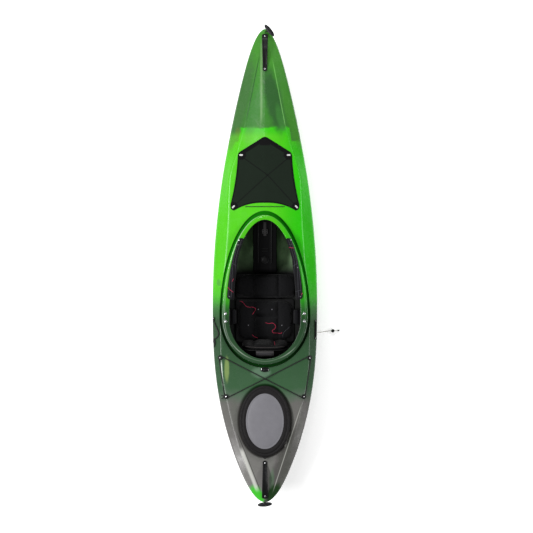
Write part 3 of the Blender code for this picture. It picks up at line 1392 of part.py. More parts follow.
def main():
    clear_scene()
    green = make_material("moulded_green", (0.05, 0.45, 0.03), 0.38)
    black = make_material("black_plastic", (0.012, 0.012, 0.014), 0.45)
    grey = make_material("grey_panel", (0.23, 0.22, 0.24), 0.45)
    rubber = make_material("hatch_rubber", (0.035, 0.033, 0.034), 0.70)
    fabric = make_material("seat_fabric", (0.008, 0.008, 0.010), 0.90)
    mesh_cloth = make_material("cover_cloth", (0.012, 0.020, 0.012), 0.85)
    bungee = make_material("black_cord", (0.010, 0.010, 0.011), 0.75)
    pale = make_material("pale_cord", (0.48, 0.46, 0.41), 0.70)
    steel = make_material("stainless", (0.62, 0.61, 0.60), 0.30, 1.0)
    foam = make_material("grey_foam", (0.06, 0.06, 0.065), 0.95)
    webbing = make_material("grey_webbing", (0.09, 0.09, 0.095), 0.85)
    white = make_material("white_plastic", (0.70, 0.70, 0.68), 0.50)

    forms = build_deck_forms()
    build_shell(green)
    build_coaming(green, forms)
    build_hatch_neck(green, forms)
    build_bulkhead(foam, forms)
    build_seat_pan(black)
    build_seat_pads(black, fabric)
    build_backrest(black, fabric, webbing)
    build_hip_pads(fabric)
    build_rim_bolts(steel)
    build_thigh_braces(black, fabric)
    build_foot_braces(steel, black, forms)
    build_pillar(black, forms)
    build_deck_cover(mesh_cloth, bungee, white, forms)
    build_handle("bow_handle", *BOW_HANDLE_YS, black, forms)
    build_handle("stern_handle", *STERN_HANDLE_YS, black, forms)
    build_handle_screws(steel)
    build_grips(black, bungee)
    build_bungee(bungee, black, forms)
    build_security_loop(black, forms)
    build_hatch(rubber, grey)
    build_skeg(black, steel, forms)
    build_skeg_tube(black, black, forms)
    build_skeg_cord(pale, black)
    build_paddle_keeper(black, bungee, forms)


main()
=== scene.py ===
"""The looks of a crossover kayak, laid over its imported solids.

Lengths are metres in the solids' own frame: the bow along +Y, the deck up, the keel's flat on z = 0.
"""

import math

import bmesh
import bpy
from mathutils import Matrix, Vector, noise
from mathutils.bvhtree import BVHTree


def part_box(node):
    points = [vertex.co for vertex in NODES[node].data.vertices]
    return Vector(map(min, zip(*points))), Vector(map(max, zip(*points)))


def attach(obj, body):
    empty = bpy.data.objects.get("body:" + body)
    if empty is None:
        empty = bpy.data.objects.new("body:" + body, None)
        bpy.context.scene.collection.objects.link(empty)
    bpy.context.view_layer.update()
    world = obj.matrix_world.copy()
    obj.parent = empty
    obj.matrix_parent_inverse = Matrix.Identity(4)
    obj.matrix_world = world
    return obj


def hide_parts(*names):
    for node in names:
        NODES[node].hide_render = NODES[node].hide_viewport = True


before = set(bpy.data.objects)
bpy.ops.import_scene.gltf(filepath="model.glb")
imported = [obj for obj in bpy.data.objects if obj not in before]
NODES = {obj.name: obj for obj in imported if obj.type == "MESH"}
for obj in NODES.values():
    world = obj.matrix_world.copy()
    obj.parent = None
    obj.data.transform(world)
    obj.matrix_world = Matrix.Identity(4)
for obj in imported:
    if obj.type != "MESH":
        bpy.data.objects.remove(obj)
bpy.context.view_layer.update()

# Camera: straight above, bow up
CAMERA_PLACE = (0.0122, -0.0038, 14.30)
CAMERA_LENS = 123.6

# Hull form
HULL_LENGTH = 3.622
HULL_BEAM = 0.804
HULL_WALL = 0.005
WIDEST_Y = -0.290
BOW_FULLNESS = (2.0, 0.895, 0.28, 4.0)
STERN_FULLNESS = (2.6, 0.86, 0.25, 5.0)
GUNWALE_HEIGHT = 0.235
BOW_SHEER_RISE = 0.085
STERN_SHEER_RISE = 0.045
KEEL_FLAT_FRONT = 0.80
KEEL_FLAT_BACK = -0.84
KEEL_FLAT_HALF = 0.130
BOW_ROCKER = 0.085
STERN_ROCKER = 0.060
STEM_SWEEP = 0.24
STERN_SWEEP = 0.19
CHINE_HEIGHT = 0.055
GUNWALE_ROUNDING = 0.28
RIDGE_ROUNDING = 0.10
CHINE_SHARE_MIDDLE = 0.80
CHINE_SHARE_END = 0.45

# Deck lines: share of the half length from midships, then centre height, ridge half-width, ridge height
DECK_LINES = (
    (-1.00, 0.272, 0.000, 0.270),
    (-0.95, 0.292, 0.045, 0.288),
    (-0.80, 0.302, 0.170, 0.292),
    (-0.60, 0.310, 0.275, 0.299),
    (-0.40, 0.316, 0.335, 0.305),
    (-0.18, 0.330, 0.342, 0.315),
    (0.03, 0.345, 0.300, 0.325),
    (0.20, 0.362, 0.281, 0.334),
    (0.36, 0.366, 0.272, 0.337),
    (0.49, 0.362, 0.205, 0.343),
    (0.62, 0.358, 0.140, 0.347),
    (0.90, 0.350, 0.045, 0.346),
    (1.00, 0.336, 0.000, 0.334),
)

# Cockpit rim and the trough in the deck round it
COCKPIT = (0.273, 0.750, 0.312, -0.398)
RIM_HEIGHT = 0.356
RIM_SLOPE = 0.045
RIM_WIDTH = 0.054
RIM_NARROWING = (0.018, 0.013)
RISER_OUTER = 0.009
RISER_WALL = 0.005
TROUGH_REACH = (0.020, 0.034, 0.028)

# Hatch and the moat round it
HATCH = (0.195, 0.272, 0.272, -1.185)
HATCH_OPENING = -0.041
MOAT_FLOOR = 0.004
MOAT_EDGE = 0.020
MOAT_DEPTH = 0.006

# Skeg slot
SLOT_HALF = 0.007
SLOT_ENDS = (-1.662, -1.409)

# The skeg's cord, from its fairlead down to the floor and through its bead
CORD_DIAMETER = 0.005
CORD_ROUTE = ((0.3963, -0.5081, 0.2597), (0.4046, -0.5081, 0.2511), (0.4300, -0.5110, 0.1900),
              (0.4400, -0.5140, 0.1000), (0.4530, -0.5130, 0.0220), (0.4760, -0.5100, 0.0035),
              (0.5039, -0.5060, 0.0141), (0.5159, -0.5060, 0.0141), (0.5441, -0.5060, 0.0141),
              (0.5541, -0.5060, 0.0125), (0.5641, -0.5050, 0.0056), (0.5741, -0.5030, 0.0035),
              (0.5851, -0.5000, 0.0035))
CORD_ON_FLOOR = 0.0035
CORD_KNOT_PLACE = (0.5735, -0.5030, 0.0060)
BEAD_PLACE = (0.5300, -0.5060, 0.0141)
BEAD_RADIUS = 0.0135

# The gap that is left between pieces that rest on each other
CLEARANCE = 0.0003


# Curves and numbers

def srgb(red, green, blue):
    """An 8-bit screen colour as linear shader values."""
    linear = []
    for part in (red, green, blue):
        share = part / 255
        linear.append(share / 12.92 if share <= 0.04045 else ((share + 0.055) / 1.055) ** 2.4)
    return (*linear, 1.0)


def step(value, start, end):
    """0 up to start, 1 from end on, and smooth between them."""
    share = min(max((value - start) / (end - start), 0.0), 1.0)
    return share * share * (3 - 2 * share)


def fair(points, x):
    """Monotone cubic curve through the points, read at x."""
    xs = [p[0] for p in points]
    ys = [p[1] for p in points]
    x = min(max(x, xs[0]), xs[-1])
    slopes = [(ys[i + 1] - ys[i]) / (xs[i + 1] - xs[i]) for i in range(len(xs) - 1)]
    tangents = [slopes[0]]
    for before, after in zip(slopes, slopes[1:]):
        tangents.append(0.0 if before * after <= 0.0 else 2.0 * before * after / (before + after))
    tangents.append(slopes[-1])
    i = max(k for k in range(len(xs) - 1) if xs[k] <= x)
    width = xs[i + 1] - xs[i]
    t = (x - xs[i]) / width
    return (ys[i] * (1 + 2 * t) * (1 - t) ** 2 + tangents[i] * width * t * (1 - t) ** 2
            + ys[i + 1] * t * t * (3 - 2 * t) + tangents[i + 1] * width * t * t * (t - 1))


def smooth_path(points, steps, cyclic=False):
    """Catmull-Rom curve through a route's own points."""
    points = [Vector(p) for p in points]
    if cyclic:
        ends = [points[-1], *points, points[0], points[1]]
    else:
        ends = [2 * points[0] - points[1], *points, 2 * points[-1] - points[-2]]
    path = []
    for i in range(1, len(ends) - 2):
        a, b, c, d = ends[i - 1:i + 3]
        for k in range(steps):
            t = k / steps
            path.append(0.5 * (2 * b + (c - a) * t + (2 * a - 5 * b + 4 * c - d) * t * t
                               + (3 * b - a - 3 * c + d) * t ** 3))
    return path if cyclic else path + [points[-1]]


def bend(start, corner, end, steps):
    """Points of a quadratic curve from start to end that is drawn towards the corner."""
    points = []
    for k in range(steps + 1):
        t = k / steps
        points.append(start * (1 - t) ** 2 + corner * 2 * t * (1 - t) + end * t * t)
    return points


def round_corner(before, corner, after, share, steps):
    return bend(corner.lerp(before, share), corner, corner.lerp(after, share), steps)


def between(start, end, steps):
    """Points strictly between two ends."""
    return [start.lerp(end, k / steps) for k in range(1, steps)]


def round_angles(count):
    """The angles of a whole turn in equal steps."""
    return [2 * math.pi * k / count for k in range(count)]


def ellipse(half_x, half_y, count):
    return [(half_x * math.cos(angle), half_y * math.sin(angle)) for angle in round_angles(count)]


def rectangle(left, low, right, high):
    return (left, low), (right, low), (right, high), (left, high)


def quarter_round(way):
    """0 at 0, rising in a quarter circle to 1 from 1 on."""
    return math.sqrt(max(1 - (1 - min(way, 1.0)) ** 2, 0.0))


def points_of(rings):
    return [p for ring in rings for p in ring]


def mirrored(half):
    """A ring from its right half, whose first and last points lie in the middle."""
    return half + [Vector((-p.x, p.y, p.z)) for p in reversed(half[1:-1])]


# Hull lines

def end_way(y):
    """Share of the way from the widest station to the nearer end, and whether that end is the bow."""
    if y >= WIDEST_Y:
        return min((y - WIDEST_Y) / (HULL_LENGTH / 2 - WIDEST_Y), 1.0), True
    return min((WIDEST_Y - y) / (HULL_LENGTH / 2 + WIDEST_Y), 1.0), False


def beam_share(y):
    way, bow = end_way(y)
    power, start, drop, sharpness = BOW_FULLNESS if bow else STERN_FULLNESS
    return max(1 - way ** power, 0.0) ** (start - drop * way ** sharpness)


def sweep_share(y):
    """Share of the hull's depth that is left where the keel sweeps up into the stem."""
    sweep = STEM_SWEEP if y > 0 else STERN_SWEEP
    into = (abs(y) - (HULL_LENGTH / 2 - sweep)) / sweep
    return math.sqrt(max(1 - max(into, 0.0) ** 2, 0.0))


def gunwale_height(y):
    rise = BOW_SHEER_RISE if y > 0 else STERN_SHEER_RISE
    return GUNWALE_HEIGHT + rise * (2 * y / HULL_LENGTH) ** 2


def keel_height(y):
    past, reach, rocker = 0.0, 1.0, 0.0
    if y > KEEL_FLAT_FRONT:
        past, reach, rocker = y - KEEL_FLAT_FRONT, HULL_LENGTH / 2 - KEEL_FLAT_FRONT, BOW_ROCKER
    if y < KEEL_FLAT_BACK:
        past, reach, rocker = KEEL_FLAT_BACK - y, HULL_LENGTH / 2 + KEEL_FLAT_BACK, STERN_ROCKER
    level = rocker * (past / reach) ** 2
    return gunwale_height(y) - (gunwale_height(y) - level) * sweep_share(y)


def deck_line(y, column):
    return fair([(row[0], row[column]) for row in DECK_LINES], 2 * y / HULL_LENGTH)


def section(y, fineness=1.0):
    """Right half of the hull at y, keel to deck middle, as (x, z), and where its deck part starts."""
    def steps(count):
        return max(int(count * fineness), 2)

    beam = HULL_BEAM / 2 * beam_share(y)
    keel, gunwale = keel_height(y), gunwale_height(y)
    way = end_way(y)[0]
    chine_share = CHINE_SHARE_MIDDLE - (CHINE_SHARE_MIDDLE - CHINE_SHARE_END) * way ** 2
    lift = min(1.0, beam_share(y) * 4)
    flat = Vector((min(KEEL_FLAT_HALF, beam * 0.4), keel))
    chine = Vector((beam * chine_share, keel + CHINE_HEIGHT * (gunwale - keel) / GUNWALE_HEIGHT))
    ridge = Vector((min(deck_line(y, 2), beam * 0.86), gunwale + (deck_line(y, 3) - gunwale) * lift))
    lost = GUNWALE_ROUNDING / 4
    side = Vector(((beam - lost * (chine.x + ridge.x)) / (1 - 2 * lost), gunwale))
    top = Vector((0.0, gunwale + (deck_line(y, 1) - gunwale) * lift))
    slot = Vector((min(SLOT_HALF, flat.x * 0.3), keel))
    points = [Vector((0.0, keel)), slot, *between(slot, flat, steps(4))]
    bilge = round_corner(flat, chine, side, 0.30, steps(9))
    shoulder = round_corner(chine, side, ridge, GUNWALE_ROUNDING, steps(14))
    edge = round_corner(side, ridge, top, RIDGE_ROUNDING, steps(6))
    points += bilge + between(bilge[-1], shoulder[0], steps(6)) + shoulder
    points += between(shoulder[-1], edge[0], steps(10))
    deck_start = len(points)
    points += edge
    last = edge[-1]
    count = steps(44)
    for k in range(1, count + 1):
        t = k / count
        crown = t + 0.5 * t * (1 - t)
        points.append(Vector((last.x * (1 - t), last.y + (top.y - last.y) * crown)))
    return points, deck_start


def setback(x, y, form):
    """How far (x, y) lies outside a cockpit or hatch outline; less than 0 is inside it."""
    half, front, back, center = form
    reach = front if y > center else back
    low, high = -min(half, reach) + 0.001, 1.5
    for _ in range(18):
        middle = (low + high) / 2
        outside = (x / (half + middle)) ** 2 + ((y - center) / (reach + middle)) ** 2 > 1
        low, high = (middle, high) if outside else (low, middle)
    return low


def outline_point(angle, out, form):
    """A point of a cockpit or hatch outline, moved out."""
    half, front, back, center = form
    reach = front if math.sin(angle) > 0 else back
    return (half + out) * math.cos(angle), center + (reach + out) * math.sin(angle)


def outline_angle(x, y, form):
    half, front, back, center = form
    reach = front if y > center else back
    return math.atan2((y - center) / reach, x / half)


def rim_width(angle):
    """The rim's width, which is less at the front and the rear of the cockpit than at its sides."""
    along = math.sin(angle)
    return RIM_WIDTH - RIM_NARROWING[0 if along > 0 else 1] * abs(along) ** 1.6


def trough_reach(angle):
    """How far the trough reaches outside the rim."""
    side, front, rear = TROUGH_REACH
    along = math.sin(angle)
    return side + ((front if along > 0 else rear) - side) * along ** 2


def moat_dip(x, y):
    """Depth of the moat round the hatch at (x, y)."""
    if abs(y - HATCH[3]) > 0.33:
        return 0.0
    return MOAT_DEPTH * (1 - step(setback(x, y, HATCH), MOAT_FLOOR, MOAT_EDGE))


def deck_height(x, y):
    """Height of the deck above (x, y)."""
    points, start = section(y, 0.5)
    rows = sorted((p.x, p.y) for p in points[start - 8:])
    across = abs(x)
    for (x0, z0), (x1, z1) in zip(rows, rows[1:]):
        if x0 <= across <= x1:
            share = (across - x0) / max(x1 - x0, 1e-9)
            return z0 + (z1 - z0) * share
    return rows[-1][1]


def frame_at(place, normal):
    """A frame with Z along the normal and Y as near to the bow as that allows."""
    normal = Vector(normal).normalized()
    side = Vector((0, 1, 0)).cross(normal).normalized()
    turn = Matrix((side, normal.cross(side), normal)).transposed().to_4x4()
    return Matrix.Translation(Vector(place)) @ turn


def deck_frame(x, y, lift=0.0):
    """A frame that stands on the deck."""
    reach = 0.004
    across = Vector((2 * reach, 0, deck_height(x + reach, y) - deck_height(x - reach, y)))
    along = Vector((0, 2 * reach, deck_height(x, y + reach) - deck_height(x, y - reach)))
    normal = across.cross(along)
    return frame_at(Vector((x, y, deck_height(x, y))) + normal.normalized() * lift, normal)


def rim_height(y):
    return RIM_HEIGHT + RIM_SLOPE * (y - COCKPIT[3])


def rim_point(angle, out, lift, side=1):
    """A point over the rim: how far outside its inner edge, and how high above its own height."""
    x, y = outline_point(angle, out, COCKPIT)
    return Vector((side * x, y, rim_height(y) + lift))


# Mesh helpers

def add_mesh(name, verts, faces, *materials):
    mesh = bpy.data.meshes.new(name)
    mesh.from_pydata([tuple(v) for v in verts], [], faces)
    mesh.validate()
    for material in materials:
        mesh.materials.append(material)
    mesh.shade_smooth()
    item = bpy.data.objects.new(name, mesh)
    bpy.context.scene.collection.objects.link(item)
    return item


def put(item, body="kayak", replaced=()):
    """Ride on a body, and stand for CAD nodes."""
    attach(item, body)
    if replaced:
        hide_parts(*replaced)
    return item


def move(item, matrix):
    item.data.transform(matrix)
    return item


def grid_faces(rows, columns, close_rows=False, close_columns=False):
    faces = []
    for i in range(rows if close_rows else rows - 1):
        for j in range(columns if close_columns else columns - 1):
            a, b = i * columns, (i + 1) % rows * columns
            k = (j + 1) % columns
            faces.append((a + j, a + k, b + k, b + j))
    return faces


def end_caps(count, total):
    """The two faces that close a skin made of rings with this many points each."""
    return [tuple(reversed(range(count))), tuple(range(total - count, total))]


def loft(name, rings, *materials, closed=False):
    """A skin through closed rings of points, itself closed into a loop or capped."""
    count = len(rings[0])
    verts = points_of(rings)
    faces = grid_faces(len(rings), count, closed, True)
    if not closed:
        faces += end_caps(count, len(verts))
    return fix_normals(add_mesh(name, verts, faces, *materials))


def rework(item, *changes):
    """Let functions change the item's mesh in turn."""
    work = bmesh.new()
    work.from_mesh(item.data)
    for change in changes:
        change(work)
    work.to_mesh(item.data)
    work.free()
    return item


def turn_outward(work):
    bmesh.ops.recalc_face_normals(work, faces=work.faces)


def weld(work):
    bmesh.ops.remove_doubles(work, verts=work.verts, dist=1e-6)


def fix_normals(item):
    return rework(item, turn_outward)


def set_values(item, name, values):
    """Give each point of the item a number that its material reads by this name."""
    item.data.attributes.new(name, "FLOAT", "POINT").data.foreach_set("value", values)


def crease(item, angle=35.0):
    """Keep edges sharper than the angle crisp in the shading."""
    item.data.set_sharp_from_angle(angle=math.radians(angle))
    return item


def bevel(item, width, segments=2, angle=35.0):
    """Round a hard piece's edges in its mesh."""
    modifier = item.modifiers.new("rounding", "BEVEL")
    modifier.width = width
    modifier.segments = segments
    modifier.limit_method = "ANGLE"
    modifier.angle_limit = math.radians(angle)
    modifier.harden_normals = False
    return crease(item, 50.0)


def turned(name, profile, count, *materials, corners=()):
    """A body turned about Z from (radius, height) points; the rings named in corners are hexagons."""
    rings = []
    for angle in round_angles(count):
        ring = []
        for i, (radius, height) in enumerate(profile):
            if i in corners:
                radius /= math.cos((angle + math.pi / 6) % (math.pi / 3) - math.pi / 6)
            ring.append(Vector((radius * math.cos(angle), radius * math.sin(angle), height)))
        rings.append(ring)
    item = add_mesh(name, points_of(rings), grid_faces(count, len(profile), True, False), *materials)
    return crease(rework(item, weld, turn_outward), 40.0)


def prism(name, outline, low, high, *materials):
    """A flat outline of (x, y) points made into a plate between two heights."""
    count = len(outline)
    verts = [(p[0], p[1], low) for p in outline] + [(p[0], p[1], high) for p in outline]
    faces = end_caps(count, 2 * count)
    faces += [(k, (k + 1) % count, count + (k + 1) % count, count + k) for k in range(count)]
    return fix_normals(add_mesh(name, verts, faces, *materials))


def path_frames(points, cyclic=False, up=None):
    """At each point of a path: its direction and two directions across it, which don't twist."""
    count = len(points)
    frames = []
    side = None
    for i, point in enumerate(points):
        before = points[i - 1] if cyclic or i else point
        after = points[(i + 1) % count] if cyclic or i + 1 < count else point
        along = (after - before).normalized()
        if up is not None:
            side = along.cross(up[i] if isinstance(up, list) else up).normalized()
        elif side is None:
            other = Vector((0, 0, 1)) if abs(along.z) < 0.9 else Vector((1, 0, 0))
            side = along.cross(other).normalized()
        else:
            side = (side - along * side.dot(along)).normalized()
        frames.append((along, side, side.cross(along).normalized()))
    return frames


def sweep(name, points, outline, *materials, cyclic=False, up=None):
    """A closed outline of (across, up) points drawn along a path, with its length in the UV map."""
    points = [Vector(p) for p in points]
    verts = []
    for point, (_, side, above) in zip(points, path_frames(points, cyclic, up)):
        verts += [point + side * x + above * y for x, y in outline]
    count = len(outline)
    faces = grid_faces(len(points), count, cyclic, True)
    if not cyclic:
        faces += end_caps(count, len(verts))
    item = add_mesh(name, verts, faces, *materials)
    lay_length(item, path_lengths(points), count)
    return fix_normals(item)


def path_lengths(points):
    """How far along a path each of its points lies."""
    lengths = [0.0]
    for a, b in zip(points, points[1:]):
        lengths.append(lengths[-1] + (b - a).length)
    return lengths


def lay_length(item, lengths, count):
    """A UV map of a swept piece: metres along it, and the share of the way round its outline."""
    layer = item.data.uv_layers.new(name="UVMap")
    for polygon in item.data.polygons:
        corners = [item.data.loops[k].vertex_index for k in polygon.loop_indices]
        row = [c // count for c in corners]
        column = [c % count for c in corners]
        wraps = max(column) - min(column) > count / 2
        for k, loop in enumerate(polygon.loop_indices):
            u = lengths[row[k]]
            v = column[k] + (count if wraps and column[k] < count / 2 else 0)
            layer.data[loop].uv = (u, v / count)


def flat_outline(width, thickness, count=4):
    """The section of a strap with round edges."""
    outline = []
    for start, center in ((-math.pi / 2, (width - thickness) / 2), (math.pi / 2, (thickness - width) / 2)):
        for k in range(count + 1):
            angle = start + math.pi * k / count
            outline.append((center + thickness / 2 * math.cos(angle), thickness / 2 * math.sin(angle)))
    return outline


def tube(name, points, radius, *materials, cyclic=False, count=12):
    return sweep(name, points, ellipse(radius, radius, count), *materials, cyclic=cyclic)


def join(name, items):
    """Several meshes made into one piece."""
    verts, faces, slots, materials, loops = [], [], [], [], []
    for item in items:
        mesh = item.data
        base = len(verts)
        verts += [item.matrix_world @ v.co for v in mesh.vertices]
        for polygon in mesh.polygons:
            faces.append(tuple(base + v for v in polygon.vertices))
            material = mesh.materials[polygon.material_index]
            if material not in materials:
                materials.append(material)
            slots.append(materials.index(material))
            layer = mesh.uv_layers.active
            loops += [tuple(layer.data[k].uv) if layer else (0.0, 0.0) for k in polygon.loop_indices]
    mesh = bpy.data.meshes.new(name)
    mesh.from_pydata([tuple(v) for v in verts], [], faces)
    for material in materials:
        mesh.materials.append(material)
    mesh.polygons.foreach_set("material_index", slots)
    layer = mesh.uv_layers.new(name="UVMap")
    layer.data.foreach_set("uv", [value for uv in loops for value in uv])
    mesh.shade_smooth()
    joined = bpy.data.objects.new(name, mesh)
    bpy.context.scene.collection.objects.link(joined)
    for item in items:
        bpy.data.objects.remove(item, do_unlink=True)
    return crease(joined, 42.0)


# Materials

class Graph:
    """A short way to write the nodes of a material."""

    def __init__(self, name, roughness=0.5, metallic=0.0):
        self.material = bpy.data.materials.new(name)
        self.material.use_nodes = True
        self.tree = self.material.node_tree
        self.shader = self.tree.nodes["Principled BSDF"]
        self.shader.inputs["Roughness"].default_value = roughness
        self.shader.inputs["Metallic"].default_value = metallic
        self.where = self.tree.nodes.new("ShaderNodeTexCoord")
        self.parts = self.tree.nodes.new("ShaderNodeSeparateXYZ")
        self.tree.links.new(self.where.outputs["Object"], self.parts.inputs[0])
        self.x, self.y, self.z = self.parts.outputs
        self.height = None

    def feed(self, socket, value):
        if isinstance(value, bpy.types.NodeSocket):
            self.tree.links.new(value, socket)
        elif value is not None:
            socket.default_value = value

    def math(self, operation, *values):
        node = self.tree.nodes.new("ShaderNodeMath")
        node.operation = operation
        for socket, value in zip(node.inputs, values):
            self.feed(socket, value)
        return node.outputs[0]

    def chain(self, operation, values):
        """One operation through all values, from the left."""
        result = values[0]
        for value in values[1:]:
            result = self.math(operation, result, value)
        return result

    def times(self, *values):
        return self.chain("MULTIPLY", values)

    def plus(self, *values):
        return self.chain("ADD", values)

    def minus(self, *values):
        return self.chain("SUBTRACT", values)

    def attribute(self, name):
        """The numbers that set_values gave the points."""
        node = self.tree.nodes.new("ShaderNodeAttribute")
        node.attribute_name = name
        return node.outputs["Fac"]

    def uv(self):
        """The two parts of the UV map."""
        node = self.tree.nodes.new("ShaderNodeSeparateXYZ")
        self.feed(node.inputs[0], self.where.outputs["UV"])
        return node.outputs[0], node.outputs[1]

    def stretched(self, across, along, up):
        """The object's coordinates, each times its own factor."""
        node = self.tree.nodes.new("ShaderNodeMapping")
        self.feed(node.inputs["Vector"], self.where.outputs["Object"])
        node.inputs["Scale"].default_value = (across, along, up)
        return node.outputs[0]

    def noise(self, scale, detail=2.0, at=None, roughness=0.5):
        node = self.tree.nodes.new("ShaderNodeTexNoise")
        self.feed(node.inputs["Vector"], at or self.where.outputs["Object"])
        node.inputs["Scale"].default_value = scale
        node.inputs["Detail"].default_value = detail
        node.inputs["Roughness"].default_value = roughness
        return node.outputs["Fac"]

    def spread(self, value, low, high, to_low=0.0, to_high=1.0, smooth=True):
        node = self.tree.nodes.new("ShaderNodeMapRange")
        node.interpolation_type = "SMOOTHSTEP" if smooth else "LINEAR"
        for socket, item in zip(node.inputs, (value, low, high, to_low, to_high)):
            self.feed(socket, item)
        return node.outputs[0]

    def ramp(self, factor, stops):
        """Colours along a factor; each stop is a place and a colour."""
        node = self.tree.nodes.new("ShaderNodeValToRGB")
        self.feed(node.inputs[0], factor)
        elements = node.color_ramp.elements
        while len(elements) < len(stops):
            elements.new(1.0)
        for element, (place, colour) in zip(elements, stops):
            element.position = place
            element.color = colour
        return node.outputs[0]

    def mix(self, factor, first, second, kind="MIX"):
        node = self.tree.nodes.new("ShaderNodeMix")
        node.data_type = "RGBA"
        node.blend_type = kind
        self.feed(node.inputs["Factor"], factor)
        self.feed(node.inputs["A"], first)
        self.feed(node.inputs["B"], second)
        return [s for s in node.outputs if s.type == "RGBA"][0]

    def give(self, name, value):
        """Give an input of the surface a number, a colour or a socket."""
        self.feed(self.shader.inputs[name], value)

    def bump(self, height, distance):
        """Lay one more relief on the surface, of this depth in metres."""
        node = self.tree.nodes.new("ShaderNodeBump")
        node.inputs["Strength"].default_value = 1.0
        node.inputs["Distance"].default_value = distance
        self.feed(node.inputs["Height"], height)
        if self.height is not None:
            self.feed(node.inputs["Normal"], self.height)
        self.height = node.outputs[0]
        self.give("Normal", self.height)

    def weave(self, period):
        """A plain weave that shows on faces of any direction."""
        turn = 2 * math.pi / period
        waves = [self.math("SINE", self.times(part, turn)) for part in (self.x, self.y, self.z)]
        pairs = [self.times(waves[i], waves[(i + 1) % 3]) for i in range(3)]
        return self.chain("MAXIMUM", pairs)

    def braid(self, pitch, strands):
        """Strands that cross round a cord, from a UV map with metres along it."""
        along, around = self.uv()
        along = self.times(along, 2 * math.pi / pitch)
        around = self.times(around, 2 * math.pi * strands)
        one = self.math("SINE", self.plus(along, around))
        two = self.math("SINE", self.minus(along, around))
        return self.math("MAXIMUM", one, two)


def shade(colour, factor):
    return (colour[0] * factor, colour[1] * factor, colour[2] * factor, 1.0)


def plastic(name, colour, roughness=0.45, grain=0.00008, spread=0.16, shine=0.30):
    """A moulded plastic with a fine grain, light scuffs and cloudy colour."""
    graph = Graph(name)
    cloud = graph.noise(22.0, 4.0)
    fleck = graph.noise(420.0, 2.0)
    tone = graph.mix(cloud, shade(colour, 1 - spread), shade(colour, 1 + spread))
    graph.give("Base Color", graph.mix(graph.spread(fleck, 0.60, 0.75, 0.0, 0.30), tone, shade(colour, 1.6)))
    dull = graph.noise(60.0, 5.0)
    graph.give("Roughness", graph.spread(dull, 0.3, 0.7, roughness - 0.07, roughness + 0.09))
    graph.give("Specular IOR Level", shine)
    graph.bump(graph.noise(700.0, 2.0), grain)
    return graph.material


def cloth(name, colour, period, roughness=0.85, spread=0.22, depth=0.0003, sheen=0.06):
    """A woven cloth with cloudy wear and lint."""
    graph = Graph(name, roughness)
    weave = graph.weave(period)
    worn = graph.noise(14.0, 5.0, roughness=0.65)
    tone = graph.mix(worn, shade(colour, 1 - spread), shade(colour, 1 + spread))
    lit = graph.mix(graph.spread(weave, -0.2, 1.0, 0.0, 0.35), tone, shade(colour, 1.7))
    lint = graph.spread(graph.noise(900.0, 1.0), 0.70, 0.80, 0.0, 0.25)
    graph.give("Base Color", graph.mix(lint, lit, shade(colour, 3.0)))
    graph.bump(weave, depth)
    graph.bump(graph.noise(45.0, 3.0), 0.0008)
    graph.give("Specular IOR Level", 0.15)
    graph.give("Sheen Weight", sheen)
    graph.give("Sheen Roughness", 0.5)
    return graph.material


def cord_cover(name, colour, pitch=0.006, strands=4, roughness=0.7, fleck=2.2):
    """A braided cord cover with a lighter fleck."""
    graph = Graph(name, roughness)
    braid = graph.braid(pitch, strands)
    tone = graph.mix(graph.noise(120.0, 3.0), shade(colour, 0.75), shade(colour, 1.25))
    graph.give("Base Color", graph.mix(graph.spread(braid, 0.2, 1.0, 0.0, 0.5), tone, shade(colour, fleck)))
    graph.bump(braid, 0.0003)
    return graph.material


def webbing(name, colour):
    """A ribbed strap: fine rows across its length."""
    period, ribs = 0.0022, 12
    graph = Graph(name, 0.7)
    along, around = graph.uv()
    rows = graph.math("SINE", graph.times(along, 2 * math.pi / period))
    edge = graph.math("SINE", graph.times(around, 2 * math.pi * ribs))
    tone = graph.mix(graph.noise(60.0, 4.0), shade(colour, 0.8), shade(colour, 1.2))
    graph.give("Base Color", graph.mix(graph.spread(rows, -1.0, 1.0, 0.0, 0.4), tone, shade(colour, 1.6)))
    graph.bump(graph.plus(rows, graph.times(edge, 0.4)), 0.0002)
    return graph.material


def metal(name, colour, roughness=0.25):
    graph = Graph(name, roughness, 1.0)
    brushed = graph.noise(260.0, 4.0)
    graph.give("Base Color", graph.mix(brushed, shade(colour, 0.82), shade(colour, 1.1)))
    dull = graph.noise(90.0, 4.0)
    graph.give("Roughness", graph.spread(dull, 0.3, 0.7, roughness - 0.08, roughness + 0.12))
    graph.bump(brushed, 0.00003)
    return graph.material


# Where the hull's colours change, from the stern to the bow, and how far the change is blurred
HULL_ZONES = (
    (-1.811, srgb(124, 121, 120)),
    (-1.300, srgb(106, 103, 102)),
    (-1.060, srgb(102, 100, 98)),
    (-0.990, srgb(80, 98, 82)),
    (-0.930, srgb(56, 88, 60)),
    (-0.620, srgb(46, 76, 50)),
    (-0.420, srgb(34, 64, 37)),
    (-0.320, srgb(40, 104, 38)),
    (-0.220, srgb(40, 170, 6)),
    (-0.100, srgb(40, 186, 0)),
    (0.500, srgb(42, 192, 0)),
    (1.000, srgb(48, 190, 4)),
    (1.052, srgb(60, 196, 14)),
    (1.058, srgb(58, 122, 44)),
    (1.300, srgb(58, 130, 42)),
    (1.600, srgb(70, 142, 48)),
    (1.811, srgb(74, 146, 54)),
)


def hull_place(graph):
    """The place along the hull that its colour is read at, which wanders and steps back at the edges."""
    wander = graph.minus(graph.noise(5.0, 3.0, graph.stretched(1.0, 0.55, 1.0)), 0.5)
    fine = graph.minus(graph.noise(34.0, 3.0), 0.5)
    edge = graph.spread(graph.math("ABSOLUTE", graph.x), 0.185, 0.205)
    front = graph.spread(graph.y, 0.80, 0.95)
    return graph.plus(graph.y, graph.times(wander, 0.10), graph.times(fine, 0.035),
                      graph.times(edge, front, 0.11))


